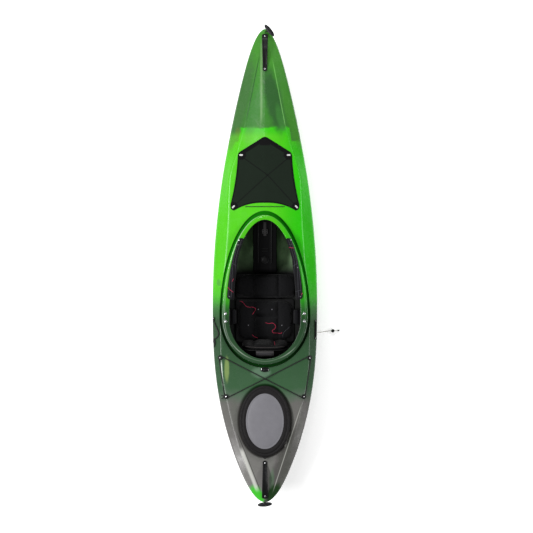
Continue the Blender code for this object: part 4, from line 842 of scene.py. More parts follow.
def blot(graph, center, half, turn):
    """1 in a soft-edged ellipse on the deck, 0 outside it."""
    blur = 0.35
    across = graph.minus(graph.x, center[0])
    along = graph.minus(graph.y, center[1])
    cosine, sine = math.cos(turn), math.sin(turn)
    u = graph.plus(graph.times(across, cosine / half[0]), graph.times(along, sine / half[0]))
    v = graph.plus(graph.times(across, -sine / half[1]), graph.times(along, cosine / half[1]))
    reach = graph.math("SQRT", graph.plus(graph.times(u, u), graph.times(v, v)))
    ragged = graph.plus(reach, graph.times(graph.noise(26.0, 4.0), 0.5))
    return graph.spread(ragged, 1.25 - blur, 1.25 + blur, 1.0, 0.0)


# Patches of another colour on the hull, and painted highlights and painted shade on its deck: centre, half
# size, turn in degrees, colour, strength
HULL_BLOTS_AND_PAINTED_LIGHT = (
    ((-0.190, 1.250), (0.070, 0.330), -15.0, srgb(66, 112, 58), 0.95),
    ((-0.090, 1.150), (0.040, 0.200), -12.0, srgb(66, 128, 60), 0.6),
    ((0.064, 1.270), (0.060, 0.250), 13.0, srgb(46, 90, 44), 0.95),
    ((0.120, 1.130), (0.030, 0.100), 14.0, srgb(60, 122, 52), 0.7),
    ((0.205, 1.140), (0.040, 0.240), 16.0, srgb(66, 140, 38), 0.7),
    ((-0.262, 0.985), (0.036, 0.080), -8.0, srgb(66, 118, 58), 0.95),
    ((-0.205, 1.025), (0.022, 0.034), 0.0, srgb(92, 120, 52), 0.6),
    ((-0.080, 0.990), (0.090, 0.070), 0.0, srgb(96, 186, 72), 0.5),
    ((-0.353, -0.127), (0.016, 0.026), 0.0, srgb(22, 92, 66), 0.8),
    # Painted highlights on the deck behind the cockpit, by the left bungee run and in the middle
    ((-0.292, -0.790), (0.018, 0.090), 0.0, srgb(136, 158, 92), 0.7),
    ((-0.030, -0.815), (0.070, 0.040), 0.0, srgb(112, 138, 118), 0.5),
    # Painted shade on the grey deck left of the hatch and on the stern's right side
    ((-0.225, -1.150), (0.045, 0.150), 14.0, srgb(96, 95, 92), 0.6),
    ((0.150, -1.500), (0.064, 0.290), -22.0, srgb(76, 73, 72), 0.85),
    ((0.052, -1.640), (0.018, 0.080), -4.0, srgb(78, 112, 82), 0.5),
    ((-0.062, -1.765), (0.052, 0.084), 28.0, srgb(62, 196, 40), 0.95),
    ((0.066, -1.755), (0.052, 0.096), -28.0, srgb(16, 50, 12), 0.97),
)

# Painted highlights (the pale lines) and painted shade (the dark lines) along ridges and creases of the
# deck: both ends, half width, colour, strength
HULL_RIDGE_HIGHLIGHTS_AND_SHADE = (
    ((0.0543, 1.591), (0.1614, 1.040), 0.0034, srgb(116, 192, 92), 0.70),
    ((-0.0383, 1.614), (-0.1484, 1.079), 0.0030, srgb(40, 78, 42), 0.85),
    ((-0.0262, 1.744), (-0.0275, 1.056), 0.0075, srgb(180, 212, 160), 0.26),
    ((-0.334, -0.722), (-0.322, -0.930), 0.0045, srgb(216, 230, 214), 0.65),
    ((-0.221, -1.255), (-0.022, -1.752), 0.0030, srgb(46, 44, 44), 0.80),
    ((-0.190, -1.380), (-0.050, -1.740), 0.0130, srgb(226, 226, 220), 0.60),
    ((0.2915, -1.025), (0.054, -1.752), 0.0030, srgb(186, 186, 180), 0.60),
    ((0.190, -1.260), (0.150, -1.390), 0.0060, srgb(220, 220, 214), 0.60),
)


def ridge_mask(graph, start, end, half):
    """1 along a line on the deck, 0 away from it and towards its ends."""
    length = math.dist(start, end)
    ahead = ((end[0] - start[0]) / length, (end[1] - start[1]) / length)
    across = graph.minus(graph.x, start[0])
    along = graph.minus(graph.y, start[1])
    aside = graph.minus(graph.times(across, ahead[1]), graph.times(along, ahead[0]))
    way = graph.plus(graph.times(across, ahead[0]), graph.times(along, ahead[1]))
    near = graph.spread(graph.math("ABSOLUTE", aside), half * 0.4, half * 1.6, 1.0, 0.0)
    started = graph.spread(way, 0.0, 0.15 * length)
    going_on = graph.spread(way, 0.85 * length, length, 1.0, 0.0)
    on_deck = graph.spread(graph.z, 0.20, 0.24)
    return graph.times(near, graph.times(started, going_on), on_deck)


def hull_tone(graph):
    """The hull's colours along its length, with its patches, streaks and flecks, painted highlights and
    painted shade along its ridges and a painted sheen over its left side.
    """
    share = graph.spread(hull_place(graph), -HULL_LENGTH / 2, HULL_LENGTH / 2, smooth=False)
    stops = [((place + HULL_LENGTH / 2) / HULL_LENGTH, colour) for place, colour in HULL_ZONES]
    tone = graph.ramp(share, stops)
    for center, half, turn, colour, strength in HULL_BLOTS_AND_PAINTED_LIGHT:
        tone = graph.mix(graph.times(blot(graph, center, half, math.radians(turn)), strength), tone, colour)
    for start, end, half, colour, strength in HULL_RIDGE_HIGHLIGHTS_AND_SHADE:
        tone = graph.mix(graph.times(ridge_mask(graph, start, end, half), strength), tone, colour)
    lime = graph.times(graph.spread(graph.y, -0.35, -0.10), graph.spread(graph.y, 0.98, 1.04, 1.0, 0.0))
    # Painted sheen: the lime on the left of the deck is mixed towards a paler yellow green, as the left
    # lamp's sheen.
    left_sheen = graph.times(graph.spread(graph.x, 0.02, 0.27, 0.46, 0.0), lime)
    streaks = graph.spread(graph.noise(3.2, 4.0, graph.stretched(6.0, 0.7, 3.0)), 0.25, 0.75, 0.0, 0.10)
    flecks = graph.spread(graph.noise(620.0, 2.0), 0.62, 0.78, 0.0, 0.05)
    pits = graph.spread(graph.noise(480.0, 1.0), 0.64, 0.80, 0.0, 0.14)
    for mask, colour in ((left_sheen, srgb(110, 210, 40)), (streaks, srgb(24, 84, 12)),
                         (flecks, srgb(190, 226, 160)), (pits, srgb(18, 56, 14))):
        tone = graph.mix(mask, tone, colour)
    return tone


def hull_plastic(name, gloss=0.25, depth=1.0):
    """Moulded plastic with a painted highlight along the rim's crown, painted shade in the trough and the
    moat, a soft orange peel and scuffs on the keel.
    """
    graph = Graph(name)
    tone = hull_tone(graph)
    hollow = graph.attribute("hollow")
    # Painted highlight: paler along the rim's crown line, where the crown values are set.
    tone = graph.mix(graph.attribute("crown"), tone, graph.mix(0.62, tone, srgb(226, 240, 222)))
    # Painted shade: the deeper the trough or the moat, the darker the colour, grey at the stern and deep
    # green elsewhere.
    painted_shade_tint = graph.mix(graph.spread(graph.y, -1.0, -0.8), (0.20, 0.19, 0.19, 1.0), (0.06, 0.34, 0.07, 1.0))
    tone = graph.mix(hollow, tone, graph.mix(1.0, tone, painted_shade_tint, "MULTIPLY"))
    low = graph.spread(graph.z, 0.02, 0.09, 1.0, 0.0)
    scratch = graph.spread(graph.noise(30.0, 5.0, graph.stretched(10.0, 0.5, 4.0)), 0.55, 0.66)
    worn = graph.times(low, scratch, 0.45)
    # A depth below 1 darkens the whole colour, as painted shade.
    if depth < 1.0:
        tone = graph.mix(1.0, tone, (depth, depth, depth, 1.0), "MULTIPLY")
    graph.give("Base Color", graph.mix(worn, tone, srgb(176, 190, 160)))
    matt = graph.spread(graph.noise(18.0, 5.0), 0.3, 0.7, gloss - 0.05, gloss + 0.07)
    graph.give("Roughness", graph.plus(matt, graph.times(worn, 0.6)))
    graph.give("Specular IOR Level", graph.spread(hollow, 0.0, 1.0, 0.30, 0.06))
    graph.give("Sheen Weight", 0.30)
    graph.give("Sheen Roughness", 0.35)
    graph.bump(graph.noise(9.0, 2.0), 0.0014)
    graph.bump(graph.noise(150.0, 2.0), 0.00022)
    graph.bump(graph.noise(900.0, 1.0), 0.00005)
    return graph.material


def inner_plastic(name):
    """The hull's unpolished inside: dull green, darker towards the stern, painted pale at the front as light
    that comes through the wall, and near black behind as shade.
    """
    graph = Graph(name, 0.6)
    front = graph.spread(graph.y, -0.06, 0.10)
    tone = graph.mix(front, srgb(6, 9, 6), srgb(142, 178, 132))
    patches = graph.times(graph.spread(graph.noise(12.0, 5.0), 0.3, 0.7, 0.0, 0.4), front)
    graph.give("Base Color", graph.mix(patches, tone, srgb(50, 78, 52)))
    graph.give("Specular IOR Level", 0.12)
    graph.bump(graph.noise(60.0, 4.0), 0.0010)
    graph.bump(graph.noise(500.0, 2.0), 0.0002)
    return graph.material


GREEN = hull_plastic("moulded_green")
# The rim's copy is glossier and painted 0.84 as bright, as shade.
GREEN_RIM = hull_plastic("moulded_green_rim", 0.15, 0.84)
GREEN_INSIDE = inner_plastic("moulded_green_inside")
BLACK = plastic("black_plastic", srgb(12, 12, 13), 0.40, shine=0.24)
BLACK_MATT = plastic("black_matt_plastic", srgb(5, 5, 6), 0.6, 0.00015, shine=0.10)
GREY_PANEL = plastic("grey_panel", srgb(114, 113, 118), 0.5, 0.00012, 0.10)
RUBBER = plastic("hatch_rubber", srgb(24, 22, 23), 0.62, 0.00012, 0.14, shine=0.18)
WHITE = plastic("white_plastic", srgb(214, 216, 212), 0.4, 0.00005, 0.05)
SEAT_CLOTH = cloth("seat_fabric", srgb(14, 14, 16), 0.0021, sheen=0.10)
# The back cushion's fabric is painted darker than the seat's, as shade.
BACK_CLOTH = cloth("back_fabric", srgb(6, 6, 7), 0.0021, sheen=0.05)
PAD_CLOTH = cloth("pad_fabric", srgb(16, 16, 19), 0.0017)
COVER_CLOTH = cloth("cover_cloth", srgb(19, 29, 20), 0.0014, depth=0.00015, sheen=0.03)
COVER_EDGE = cloth("cover_edge_cloth", srgb(8, 8, 9), 0.0018, depth=0.0002, sheen=0.02)
BLACK_CORD = cord_cover("black_cord", srgb(6, 6, 7), fleck=2.0)
PALE_CORD = cord_cover("pale_cord", srgb(184, 180, 172), 0.005, 4, 0.65, 1.25)
STEEL = metal("stainless", (0.72, 0.72, 0.74, 1.0))
FOAM = cloth("grey_foam", srgb(58, 58, 60), 0.0035, 0.95, 0.2, 0.0004, 0.05)
GREY_STRAP = webbing("grey_webbing", srgb(42, 40, 41))
RED_CLOTH = cloth("red_trim", srgb(162, 44, 70), 0.0016, 0.7, 0.2, 0.0002, 0.06)
BROW_TRIM = cloth("brow_trim", srgb(54, 50, 50), 0.0016, 0.7, 0.15, 0.0002, 0.04)
BUCKLE = plastic("buckle_plastic", srgb(64, 63, 64), 0.4)
GREY_TRIM = cloth("grey_trim", srgb(70, 70, 76), 0.0016, 0.7, 0.15, 0.0002, 0.06)
GRIP = plastic("dark_fitting", srgb(26, 27, 30), 0.35)


# Camera, light and floor

def add_camera():
    data = bpy.data.cameras.new("camera")
    data.lens = CAMERA_LENS
    data.sensor_width = 36.0
    data.clip_end = 60.0
    item = bpy.data.objects.new("camera", data)
    item.location = CAMERA_PLACE
    bpy.context.scene.collection.objects.link(item)
    bpy.context.scene.camera = item


def add_softbox(name, place, aim, size, power):
    data = bpy.data.lights.new(name, "AREA")
    data.shape = "RECTANGLE"
    data.size, data.size_y = size
    data.energy = power
    item = bpy.data.objects.new(name, data)
    item.location = place
    direction = Vector(aim) - Vector(place)
    item.rotation_euler = direction.to_track_quat("-Z", "Y").to_euler()
    bpy.context.scene.collection.objects.link(item)
    return item


def set_world(strength):
    world = bpy.data.worlds.new("studio")
    world.use_nodes = True
    back = world.node_tree.nodes["Background"]
    back.inputs["Color"].default_value = (1.0, 1.0, 1.0, 1.0)
    back.inputs["Strength"].default_value = strength
    bpy.context.scene.world = world


def add_floor():
    """A white floor that keeps the shadow, and that is white itself where no shadow falls."""
    half, low = 20.0, -0.0005
    corners = [(x, y, low) for x, y in rectangle(-half, -half, half, half)]
    material = bpy.data.materials.new("studio_floor")
    material.use_nodes = True
    nodes, links = material.node_tree.nodes, material.node_tree.links
    shader = nodes["Principled BSDF"]
    shader.inputs["Base Color"].default_value = (0.93, 0.93, 0.93, 1.0)
    shader.inputs["Roughness"].default_value = 0.9
    shader.inputs["Specular IOR Level"].default_value = 0.0
    rays = nodes.new("ShaderNodeLightPath")
    links.new(rays.outputs["Is Camera Ray"], shader.inputs["Emission Strength"])
    shader.inputs["Emission Color"].default_value = (0.45, 0.45, 0.45, 1.0)
    return add_mesh("studio_floor", corners, [(0, 1, 2, 3)], material)


def build_studio():
    bpy.context.scene.view_settings.view_transform = "Standard"
    add_camera()
    set_world(0.24)
    aim = (0.0, 0.0, 0.2)
    lamps = [
        add_softbox("left_softbox", (-4.9, -1.2, 5.5), (0.0, -0.6, 0.2), (6.6, 0.9), 480.0),
        add_softbox("right_softbox", (6.2, -0.6, 5.0), aim, (6.0, 0.8), 240.0),
        add_softbox("front_softbox", (-0.6, 7.4, 5.6), aim, (4.0, 0.6), 230.0),
        add_softbox("bow_strip", (-0.95, 2.15, 8.6), (-0.03, 1.45, 0.35), (1.5, 0.26), 32.0),
    ]
    for lamp in lamps:
        lamp.visible_camera = False
    add_floor()


# Skeg cord: from its fairlead down the side, over the floor and through the bead

def on_floor(points, height):
    return [Vector((p.x, p.y, max(p.z, height))) for p in points]


def knot(name, place, radius, cord, material, turn=0.0, body=None):
    """An overhand knot: a trefoil of cord pulled tight."""
    loop = []
    for t in round_angles(48):
        x = math.sin(t) + 2 * math.sin(2 * t)
        y = math.cos(t) - 2 * math.cos(2 * t)
        z = -math.sin(3 * t)
        spun = Matrix.Rotation(turn, 3, "Z") @ Vector((x, y, z * 1.1))
        loop.append(Vector(place) + spun * (radius / 3.0))
    item = tube(name, loop, cord, material, cyclic=True, count=8)
    return put(item, body) if body else item


def build_skeg_cord():
    path = on_floor(smooth_path(CORD_ROUTE, 3), CORD_ON_FLOOR)
    line = tube("skeg_line", smooth_path(path, 3), CORD_DIAMETER / 2, PALE_CORD, count=14)
    put(line, "kayak", ("skeg_cord",))
    profile = []
    for k in range(13):
        angle = math.pi * (0.10 + 0.80 * k / 12)
        profile.append((BEAD_RADIUS * math.sin(angle), BEAD_RADIUS * math.cos(angle)))
    inner = CORD_DIAMETER / 2 + 0.0006
    profile += [(inner, -BEAD_RADIUS * 0.93), (inner, BEAD_RADIUS * 0.93), profile[0]]
    bead = turned("skeg_ball", profile, 40, BLACK)
    move(bead, Matrix.Translation(BEAD_PLACE) @ Matrix.Rotation(math.radians(90), 4, "Y"))
    put(bead, "kayak", ("skeg_bead",))
    stop = knot("skeg_knot", CORD_KNOT_PLACE, 0.0050, 0.0022, BLACK_CORD, 0.4, "kayak")


# Hull

def stations():
    """Places along the hull: close together round the cockpit and the hatch."""
    limit = HULL_LENGTH / 2
    places = []
    y = -limit + 0.004
    coarse, close = ((0.018, 0.0052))
    while y < limit - 0.004:
        places.append(y)
        near = -1.490 < y < -0.880 or -0.810 < y < 0.440
        end = abs(y) > limit - 0.10
        y += close if near else (0.006 if end else coarse)
    places.append(limit - 0.004)
    for edge in SLOT_ENDS:
        nearest = min(range(len(places)), key=lambda k: abs(places[k] - edge))
        places[nearest] = edge
    return places


def hull_skin():
    """The outer skin as rows of points round each station, and how hollow the deck is at each point, which
    its material darkens as painted shade.
    """
    rows, dips = [], []
    fineness = 1.0
    for y in stations():
        half, start = section(y, fineness)
        row, hollow = [], []
        for i, p in enumerate(half):
            dip = moat_dip(p.x, y) if i >= start - 3 else 0.0
            row.append(Vector((p.x, y, p.y - dip)))
            hollow.append(dip / MOAT_DEPTH)
        rows.append(mirrored(row))
        dips += hollow + hollow[-2:0:-1]
    return rows, dips


def deck_edge(angle):
    """How far outside the rim's inner edge the deck ends at the trough."""
    return rim_width(angle) + trough_reach(angle)


def opening_edge(angle, form):
    """How far outside its outline an opening is cut in the deck."""
    return deck_edge(angle) if form is COCKPIT else HATCH_OPENING


def cut_opening(work, form):
    """Cut the deck along an opening's edge, and take out what lies inside it."""
    level = {}
    for vert in work.verts:
        if vert.co.z > 0.2 and abs(vert.co.y - form[3]) < 0.90:
            edge = opening_edge(outline_angle(vert.co.x, vert.co.y, form), form)
            level[vert] = setback(vert.co.x, vert.co.y, form) - edge
    cuts = set()
    for edge in list(work.edges):
        a, b = edge.verts
        if a in level and b in level and (level[a] < 0) != (level[b] < 0):
            _, vert = bmesh.utils.edge_split(edge, a, level[a] / (level[a] - level[b]))
            level[vert] = 0.0
            cuts.add(vert)
    for face in list(work.faces):
        ends = [v for v in face.verts if v in cuts]
        if len(ends) == 2 and not any(e.other_vert(ends[0]) is ends[1] for e in ends[0].link_edges):
            bmesh.utils.face_split(face, ends[0], ends[1])
    known = [f for f in work.faces if all(v in level for v in f.verts)]
    inside = [f for f in known if any(level[v] < 0 for v in f.verts)]
    bmesh.ops.delete(work, geom=inside, context="FACES")


def build_hull():
    rows, dips = hull_skin()
    count = len(rows[0])
    verts = points_of(rows)
    faces = []
    for face in grid_faces(len(rows), count, False, True):
        center = sum((verts[k] for k in face), Vector()) / 4
        column = face[0] % count
        low = column < 2 or column >= count - 2
        in_slot = abs(center.x) < SLOT_HALF and SLOT_ENDS[0] < center.y < SLOT_ENDS[1]
        if not (low and in_slot):
            faces.append(face)
    base = len(verts)
    limit = HULL_LENGTH / 2
    verts += [Vector((0.0, -limit, gunwale_height(-limit))), Vector((0.0, limit, gunwale_height(limit)))]
    faces += [(base, (k + 1) % count, k) for k in range(count)]
    last = base - count
    faces += [(base + 1, last + k, last + (k + 1) % count) for k in range(count)]
    hull = add_mesh("hull", verts, faces, GREEN, GREEN_INSIDE)
    set_values(hull, "hollow", dips + [0.0, 0.0])
    crease(fix_normals(hull), 50.0)
    rework(hull, cut_openings)
    thicken(hull)
    return put(hull, "kayak", ("hull_shell",))


def cut_openings(work):
    """Cut the cockpit and the hatch opening, with crisp edges."""
    for form in (COCKPIT, HATCH):
        cut_opening(work, form)
    for edge in work.edges:
        if edge.is_boundary:
            edge.smooth = False
    loose = [v for v in work.verts if not v.link_faces]
    bmesh.ops.delete(work, geom=loose, context="VERTS")


# The trough's skin from the deck's edge in: how far past the rim, as a share of its reach and in metres,
# and how deep
TROUGH_SECTION = (
    (1.0, 0.0030, 0.0032), (1.0, 0.0004, 0.0030), (1.0, -0.0006, 0.0042), (1.0, -0.0022, 0.0078),
    (1.0, -0.0040, 0.0112), (1.0, -0.0062, 0.0139), (1.0, -0.0086, 0.0155), (1.0, -0.0110, 0.0160),
    (0.3, 0.0, 0.0160), (0.0, -0.0020, 0.0160), (0.0, -0.0045, 0.0150), (0.0, -0.0070, 0.0085),
    (0.0, -0.0095, 0.0010), (0.0, -0.0130, 0.0),
)


def build_trough():
    """The trough round the cockpit, as rings that follow the rim."""
    count = 420
    rings, depths = [], []
    for share, shift, depth in TROUGH_SECTION:
        ring = []
        for angle in round_angles(count):
            out = rim_width(angle) + trough_reach(angle) * share + shift
            x, y = outline_point(angle, out, COCKPIT)
            ring.append(Vector((x, y, deck_height(x, y) - depth)))
            depths.append(min(depth / 0.010, 1.0))
        rings.append(ring)
    faces = grid_faces(len(rings), count, False, True)
    trough = add_mesh("cockpit_trough", points_of(rings), faces, GREEN, GREEN_INSIDE)
    if trough.data.polygons[0].normal.z < 0:
        trough.data.flip_normals()
    # How deep the trough is, which its material darkens as painted shade.
    set_values(trough, "hollow", depths)
    thicken(trough)
    return put(crease(trough, 60.0))


def thicken(item):
    """Give a skin the hull's wall on its inside."""
    shell = item.modifiers.new("wall", "SOLIDIFY")
    shell.thickness = HULL_WALL
    shell.offset = -1.0
    shell.material_offset = 1
    shell.use_even_offset = False


# Cockpit rim

# The rim's top: share of its width from the inner edge, and how far down from the rim's own height
RIM_TOP = (
    (0.000, -0.0044), (0.010, -0.0026), (0.040, -0.0014), (0.100, -0.0007), (0.220, -0.0002),
    (0.380, 0.0000), (0.560, -0.0003), (0.720, -0.0012), (0.850, -0.0028), (0.940, -0.0046),
    (0.985, -0.0066), (1.000, -0.0082), (0.990, -0.0096), (0.965, -0.0100), (0.945, -0.0090),
    (0.930, -0.0068), (0.890, -0.0062),
)
RIM_UNDER = ((0.60, -0.0062), (0.30, -0.0060), (0.055, -0.0060), (0.010, -0.0052))

# The riser under the rim: how far below the rim's own height it starts, and how far below the deck it ends
RISER_TOP = 0.010
RISER_FOOT = 0.0035

# Where round the rim its painted highlight line runs: angle in degrees, share of the rim's width, strength
CROWN_LINE = (
    (-180.0, 0.62, 0.42), (-150.0, 0.66, 0.25), (-128.0, 0.50, 0.75), (-110.0, 0.40, 0.18),
    (-90.0, 0.42, 0.22), (-70.0, 0.40, 0.18), (-52.0, 0.55, 0.75), (-38.0, 0.66, 0.05),
    (0.0, 0.66, 0.08), (30.0, 0.80, 0.30), (60.0, 0.90, 0.05), (95.0, 0.93, 0.15),
    (112.0, 0.93, 0.95), (135.0, 0.93, 0.85), (155.0, 0.75, 0.30), (180.0, 0.62, 0.42),
)
CROWN_HALF = 0.060


def crown_shine(angle, share):
    """How strong the rim's painted highlight is at an angle and a share of its width."""
    turn = math.degrees(math.atan2(math.sin(angle), math.cos(angle)))
    for (a, place_a, strength_a), (b, place_b, strength_b) in zip(CROWN_LINE, CROWN_LINE[1:]):
        if turn <= b:
            way = (turn - a) / (b - a)
            place = place_a + (place_b - place_a) * way
            strength = strength_a + (strength_b - strength_a) * way
            return strength * math.exp(-((share - place) / CROWN_HALF) ** 2)
    return 0.0


def rim_profile():
    """The rim's top with more points where they lie far apart."""
    profile = []
    for (share, drop), (next_share, next_drop) in zip(RIM_TOP, RIM_TOP[1:]):
        steps = max(int(abs(next_share - share) / 0.035), 1)
        for k in range(steps):
            way = k / steps
            profile.append((share + (next_share - share) * way, drop + (next_drop - drop) * way))
    return profile + [RIM_TOP[-1]]


def riser_points(angle, outer):
    """The wall between the rim and the trough, down its outside and up its inside."""
    x, y = outline_point(angle, outer, COCKPIT)
    foot = deck_height(x, y) - RISER_FOOT
    top = rim_height(y) - RISER_TOP
    places = [(outer + 0.0015 * step(share, 0.6, 1.0), share) for share in (0.25, 0.6, 0.9, 1.0)]
    places += [(outer - RISER_WALL, share) for share in (1.0, 0.6, 0.25)]
    points = []
    for out, share in places:
        x, y = outline_point(angle, out, COCKPIT)
        points.append(Vector((x, y, top + (foot - top) * share)))
    return points


def build_rim():
    count = 320
    profile = rim_profile()
    rings, shine = [], []
    for angle in round_angles(count):
        width = rim_width(angle)
        ring = [rim_point(angle, width * share, drop) for share, drop in profile]
        ring += riser_points(angle, width - RISER_OUTER)
        ring += [rim_point(angle, width * share, drop) for share, drop in RIM_UNDER]
        shine += [crown_shine(angle, share) for share, _ in profile]
        shine += [0.0] * (len(ring) - len(profile))
        rings.append(ring)
    rim = loft("cockpit_rim", rings, GREEN_RIM, closed=True)
    # The painted highlight line along the rim.
    set_values(rim, "crown", shine)
    return put(crease(rim, 45.0), "kayak", ("coaming",))


# Hatch

# The cover's skirt and top: how far in from its outline, and height
COVER_SECTION = (
    (0.0320, 0.3262), (0.0320, 0.3185), (0.0100, 0.3180), (0.0030, 0.3186), (0.0004, 0.3206),
    (0.0000, 0.3235), (0.0006, 0.3268), (0.0030, 0.3302), (0.0070, 0.3330), (0.0110, 0.3342),
    (0.0150, 0.3340), (0.0185, 0.3322), (0.0205, 0.3312), (0.0230, 0.3316), (0.0255, 0.3338),
    (0.0290, 0.3362), (0.0340, 0.3370), (0.0400, 0.3368), (0.0450, 0.3352), (0.0560, 0.3350),
    (0.0900, 0.3350), (0.1500, 0.3350),
)
PANEL_HALF = (0.145, 0.212)
PANEL_SECTION = (
    (0.0060, 0.3353), (0.0000, 0.3356), (0.0000, 0.3378), (0.0012, 0.3392), (0.0040, 0.3399),
    (0.0090, 0.3402), (0.0110, 0.3396), (0.0126, 0.3396), (0.0150, 0.3406), (0.0300, 0.3432),
    (0.0450, 0.3452), (0.0700, 0.3472), (0.1000, 0.3484), (0.1300, 0.3489),
)

# The right half of the pull tab's outline: how far across, and how far in from the cover's rear edge
PULL_TAB = ((0.0, -0.0180), (0.0045, -0.0165), (0.009, -0.0125), (0.016, -0.007), (0.030, 0.010))


def hatch_rings(half_x, half_y, rows, count):
    """Rings round the hatch's centre, from rows of how far in and how high."""
    rings = []
    for inset, z in rows:
        outline = ellipse(half_x - inset, half_y - inset, count)
        rings.append([Vector((x, HATCH[3] + y, z)) for x, y in outline])
    return rings


def build_hatch():
    count = 192
    cover = loft("hatch_lid", hatch_rings(HATCH[0], HATCH[1], COVER_SECTION, count), RUBBER)
    edge = HATCH[3] - HATCH[1]
    right = [(x, edge + y) for x, y in PULL_TAB]
    outline = [(-x, y) for x, y in reversed(right[1:])] + right
    tab = bevel(prism("hatch_pull", outline, 0.3200, 0.3262, RUBBER), 0.0015)
    panel = loft("hatch_disc", hatch_rings(*PANEL_HALF, PANEL_SECTION, count), GREY_PANEL)
    put(crease(cover, 60.0), "hatch", ("hatch_cover",))
    put(tab, "hatch")
    put(crease(panel, 60.0), "hatch", ("hatch_panel",))


def build_hatch_neck():
    """The wall round the hatch opening, with a rolled top."""
    inner, outer = -HATCH_OPENING, 0.035
    middle, sunk = 0.038, 0.003
    rings = []
    for angle in round_angles(160):
        ring = []
        x, y = outline_point(angle, -middle, HATCH)
        foot = deck_height(x, y) - sunk
        for inset, z in ((outer, foot), (outer, 0.3235), (outer + 0.0008, 0.3250), (outer + 0.003, 0.3255),
                         (inner - 0.0008, 0.3250), (inner, 0.3235), (inner, foot)):
            x, y = outline_point(angle, -inset, HATCH)
            ring.append(Vector((x, y, z)))
        rings.append(ring)
    neck = loft("hatch_collar", rings, GREEN, closed=True)
    return put(crease(neck, 50.0), "kayak", ("hatch_neck",))


# Deck fittings

def turn_z(degrees):
    return Matrix.Rotation(math.radians(degrees), 4, "Z")


def thick_line(points, thickness):
    """A polyline of (across, up) points given a thickness: its left side, then its right side reversed."""
    left, right = [], []
    for i, point in enumerate(points):
        before = points[max(i - 1, 0)]
        after = points[min(i + 1, len(points) - 1)]
        first = (point - before).normalized() if i else (after - point).normalized()
        second = (after - point).normalized() if i + 1 < len(points) else first
        normal = Vector((-first.y - second.y, first.x + second.x)).normalized()
        spread = normal.dot(Vector((-first.y, first.x)))
        left.append(point + normal * (thickness / 2 / spread))
        right.append(point - normal * (thickness / 2 / spread))
    return left + right[::-1]


def screw(name, radius, height, at, material=STEEL, socket=True, body="kayak"):
    """A round-headed screw, with a hexagon socket in its head or without one."""
    well = radius * 0.42
    profile = [(0.0, 0.0), (radius, 0.0), (radius, height * 0.25), (radius * 0.93, height * 0.62),
               (radius * 0.72, height * 0.90), (radius * 0.50, height)]
    if socket:
        profile += [(well, height), (well, height * 0.35), (0.0, height * 0.25)]
        item = turned(name, profile, 36, material, corners=(6, 7))
    else:
        item = turned(name, profile + [(0.0, height)], 36, material)
    return put(move(item, at), body)


# Carry handles: tip and inner end, and half widths there
HANDLES = (("bow", 1.772, 1.484), ("stern", -1.783, -1.489))
HANDLE_TIP_HALF = 0.0235
HANDLE_INNER_HALF = 0.0160
HANDLE_RISE = 0.026
HANDLE_FOOT = 0.036
HANDLE_THICKNESS = 0.008


def handle_lift(share, span):
    foot = HANDLE_FOOT / span
    if share < foot or share > 1 - foot:
        return 0.0
    return HANDLE_RISE * math.sin(math.pi * (share - foot) / (1 - 2 * foot)) ** 1.15


def build_handle(word, tip, inner):
    """A carry handle bowed up between two bolted feet, with round ends and a raised rim along it."""
    span = abs(tip - inner)
    rings = []
    count = 90
    for k in range(count + 1):
        share = 0.5 - 0.5 * math.cos(math.pi * k / count)
        y = tip + (inner - tip) * share
        half = HANDLE_TIP_HALF + (HANDLE_INNER_HALF - HANDLE_TIP_HALF) * share
        for end, reach in ((share * span, 0.012), ((1 - share) * span, 0.015)):
            if end < reach:
                half *= max(quarter_round(end / reach), 0.08)
        lift = handle_lift(share, span)
        base = deck_height(0.0, y) + lift
        low = base + (0.0004 if lift < 0.001 else 0.0)
        high = base + HANDLE_THICKNESS
        edge = min(0.0022, half * 0.4)
        dish = 0.0011 if 0.16 < share < 0.84 else 0.0003
        left = ((-half, low + edge * 0.6), (-half, high - edge), (-half + edge * 0.3, high - edge * 0.3),
                (-half + edge, high), (-half * 0.70, high), (-half * 0.60, high - dish))
        right = [(-x, z) for x, z in reversed(left)]
        under = ((half - edge * 0.6, low), (-half + edge * 0.6, low))
        rings.append([Vector((x, y, z)) for x, z in (*left, (0.0, high - dish * 0.7), *right, *under)])
    handle = loft(word + "_carry_handle", rings, BLACK)
    put(crease(handle, 50.0), "kayak", (word + "_handle",))
    for end, y in (("tip", tip + (inner - tip) * 0.063), ("inner", inner - (inner - tip) * 0.063)):
        slope = (deck_height(0.0, y + 0.01) - deck_height(0.0, y - 0.01)) / 0.02
        at = frame_at((0.0, y, deck_height(0.0, y) + HANDLE_THICKNESS - CLEARANCE), (0.0, -slope, 1.0))
        item = screw(f"{word}_{end}_screw", 0.0060, 0.0032, at @ turn_z(17 if end == "tip" else 41))
        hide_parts(f"{word}_handle_screw_{end}")


# End grips: half sizes, and how far each is turned in degrees
GRIP_HALF = (0.056, 0.0175, 0.010)
GRIP_TURNS = {"bow": -51.5, "stern": 5.0}
GRIP_COLLAR = 0.0057


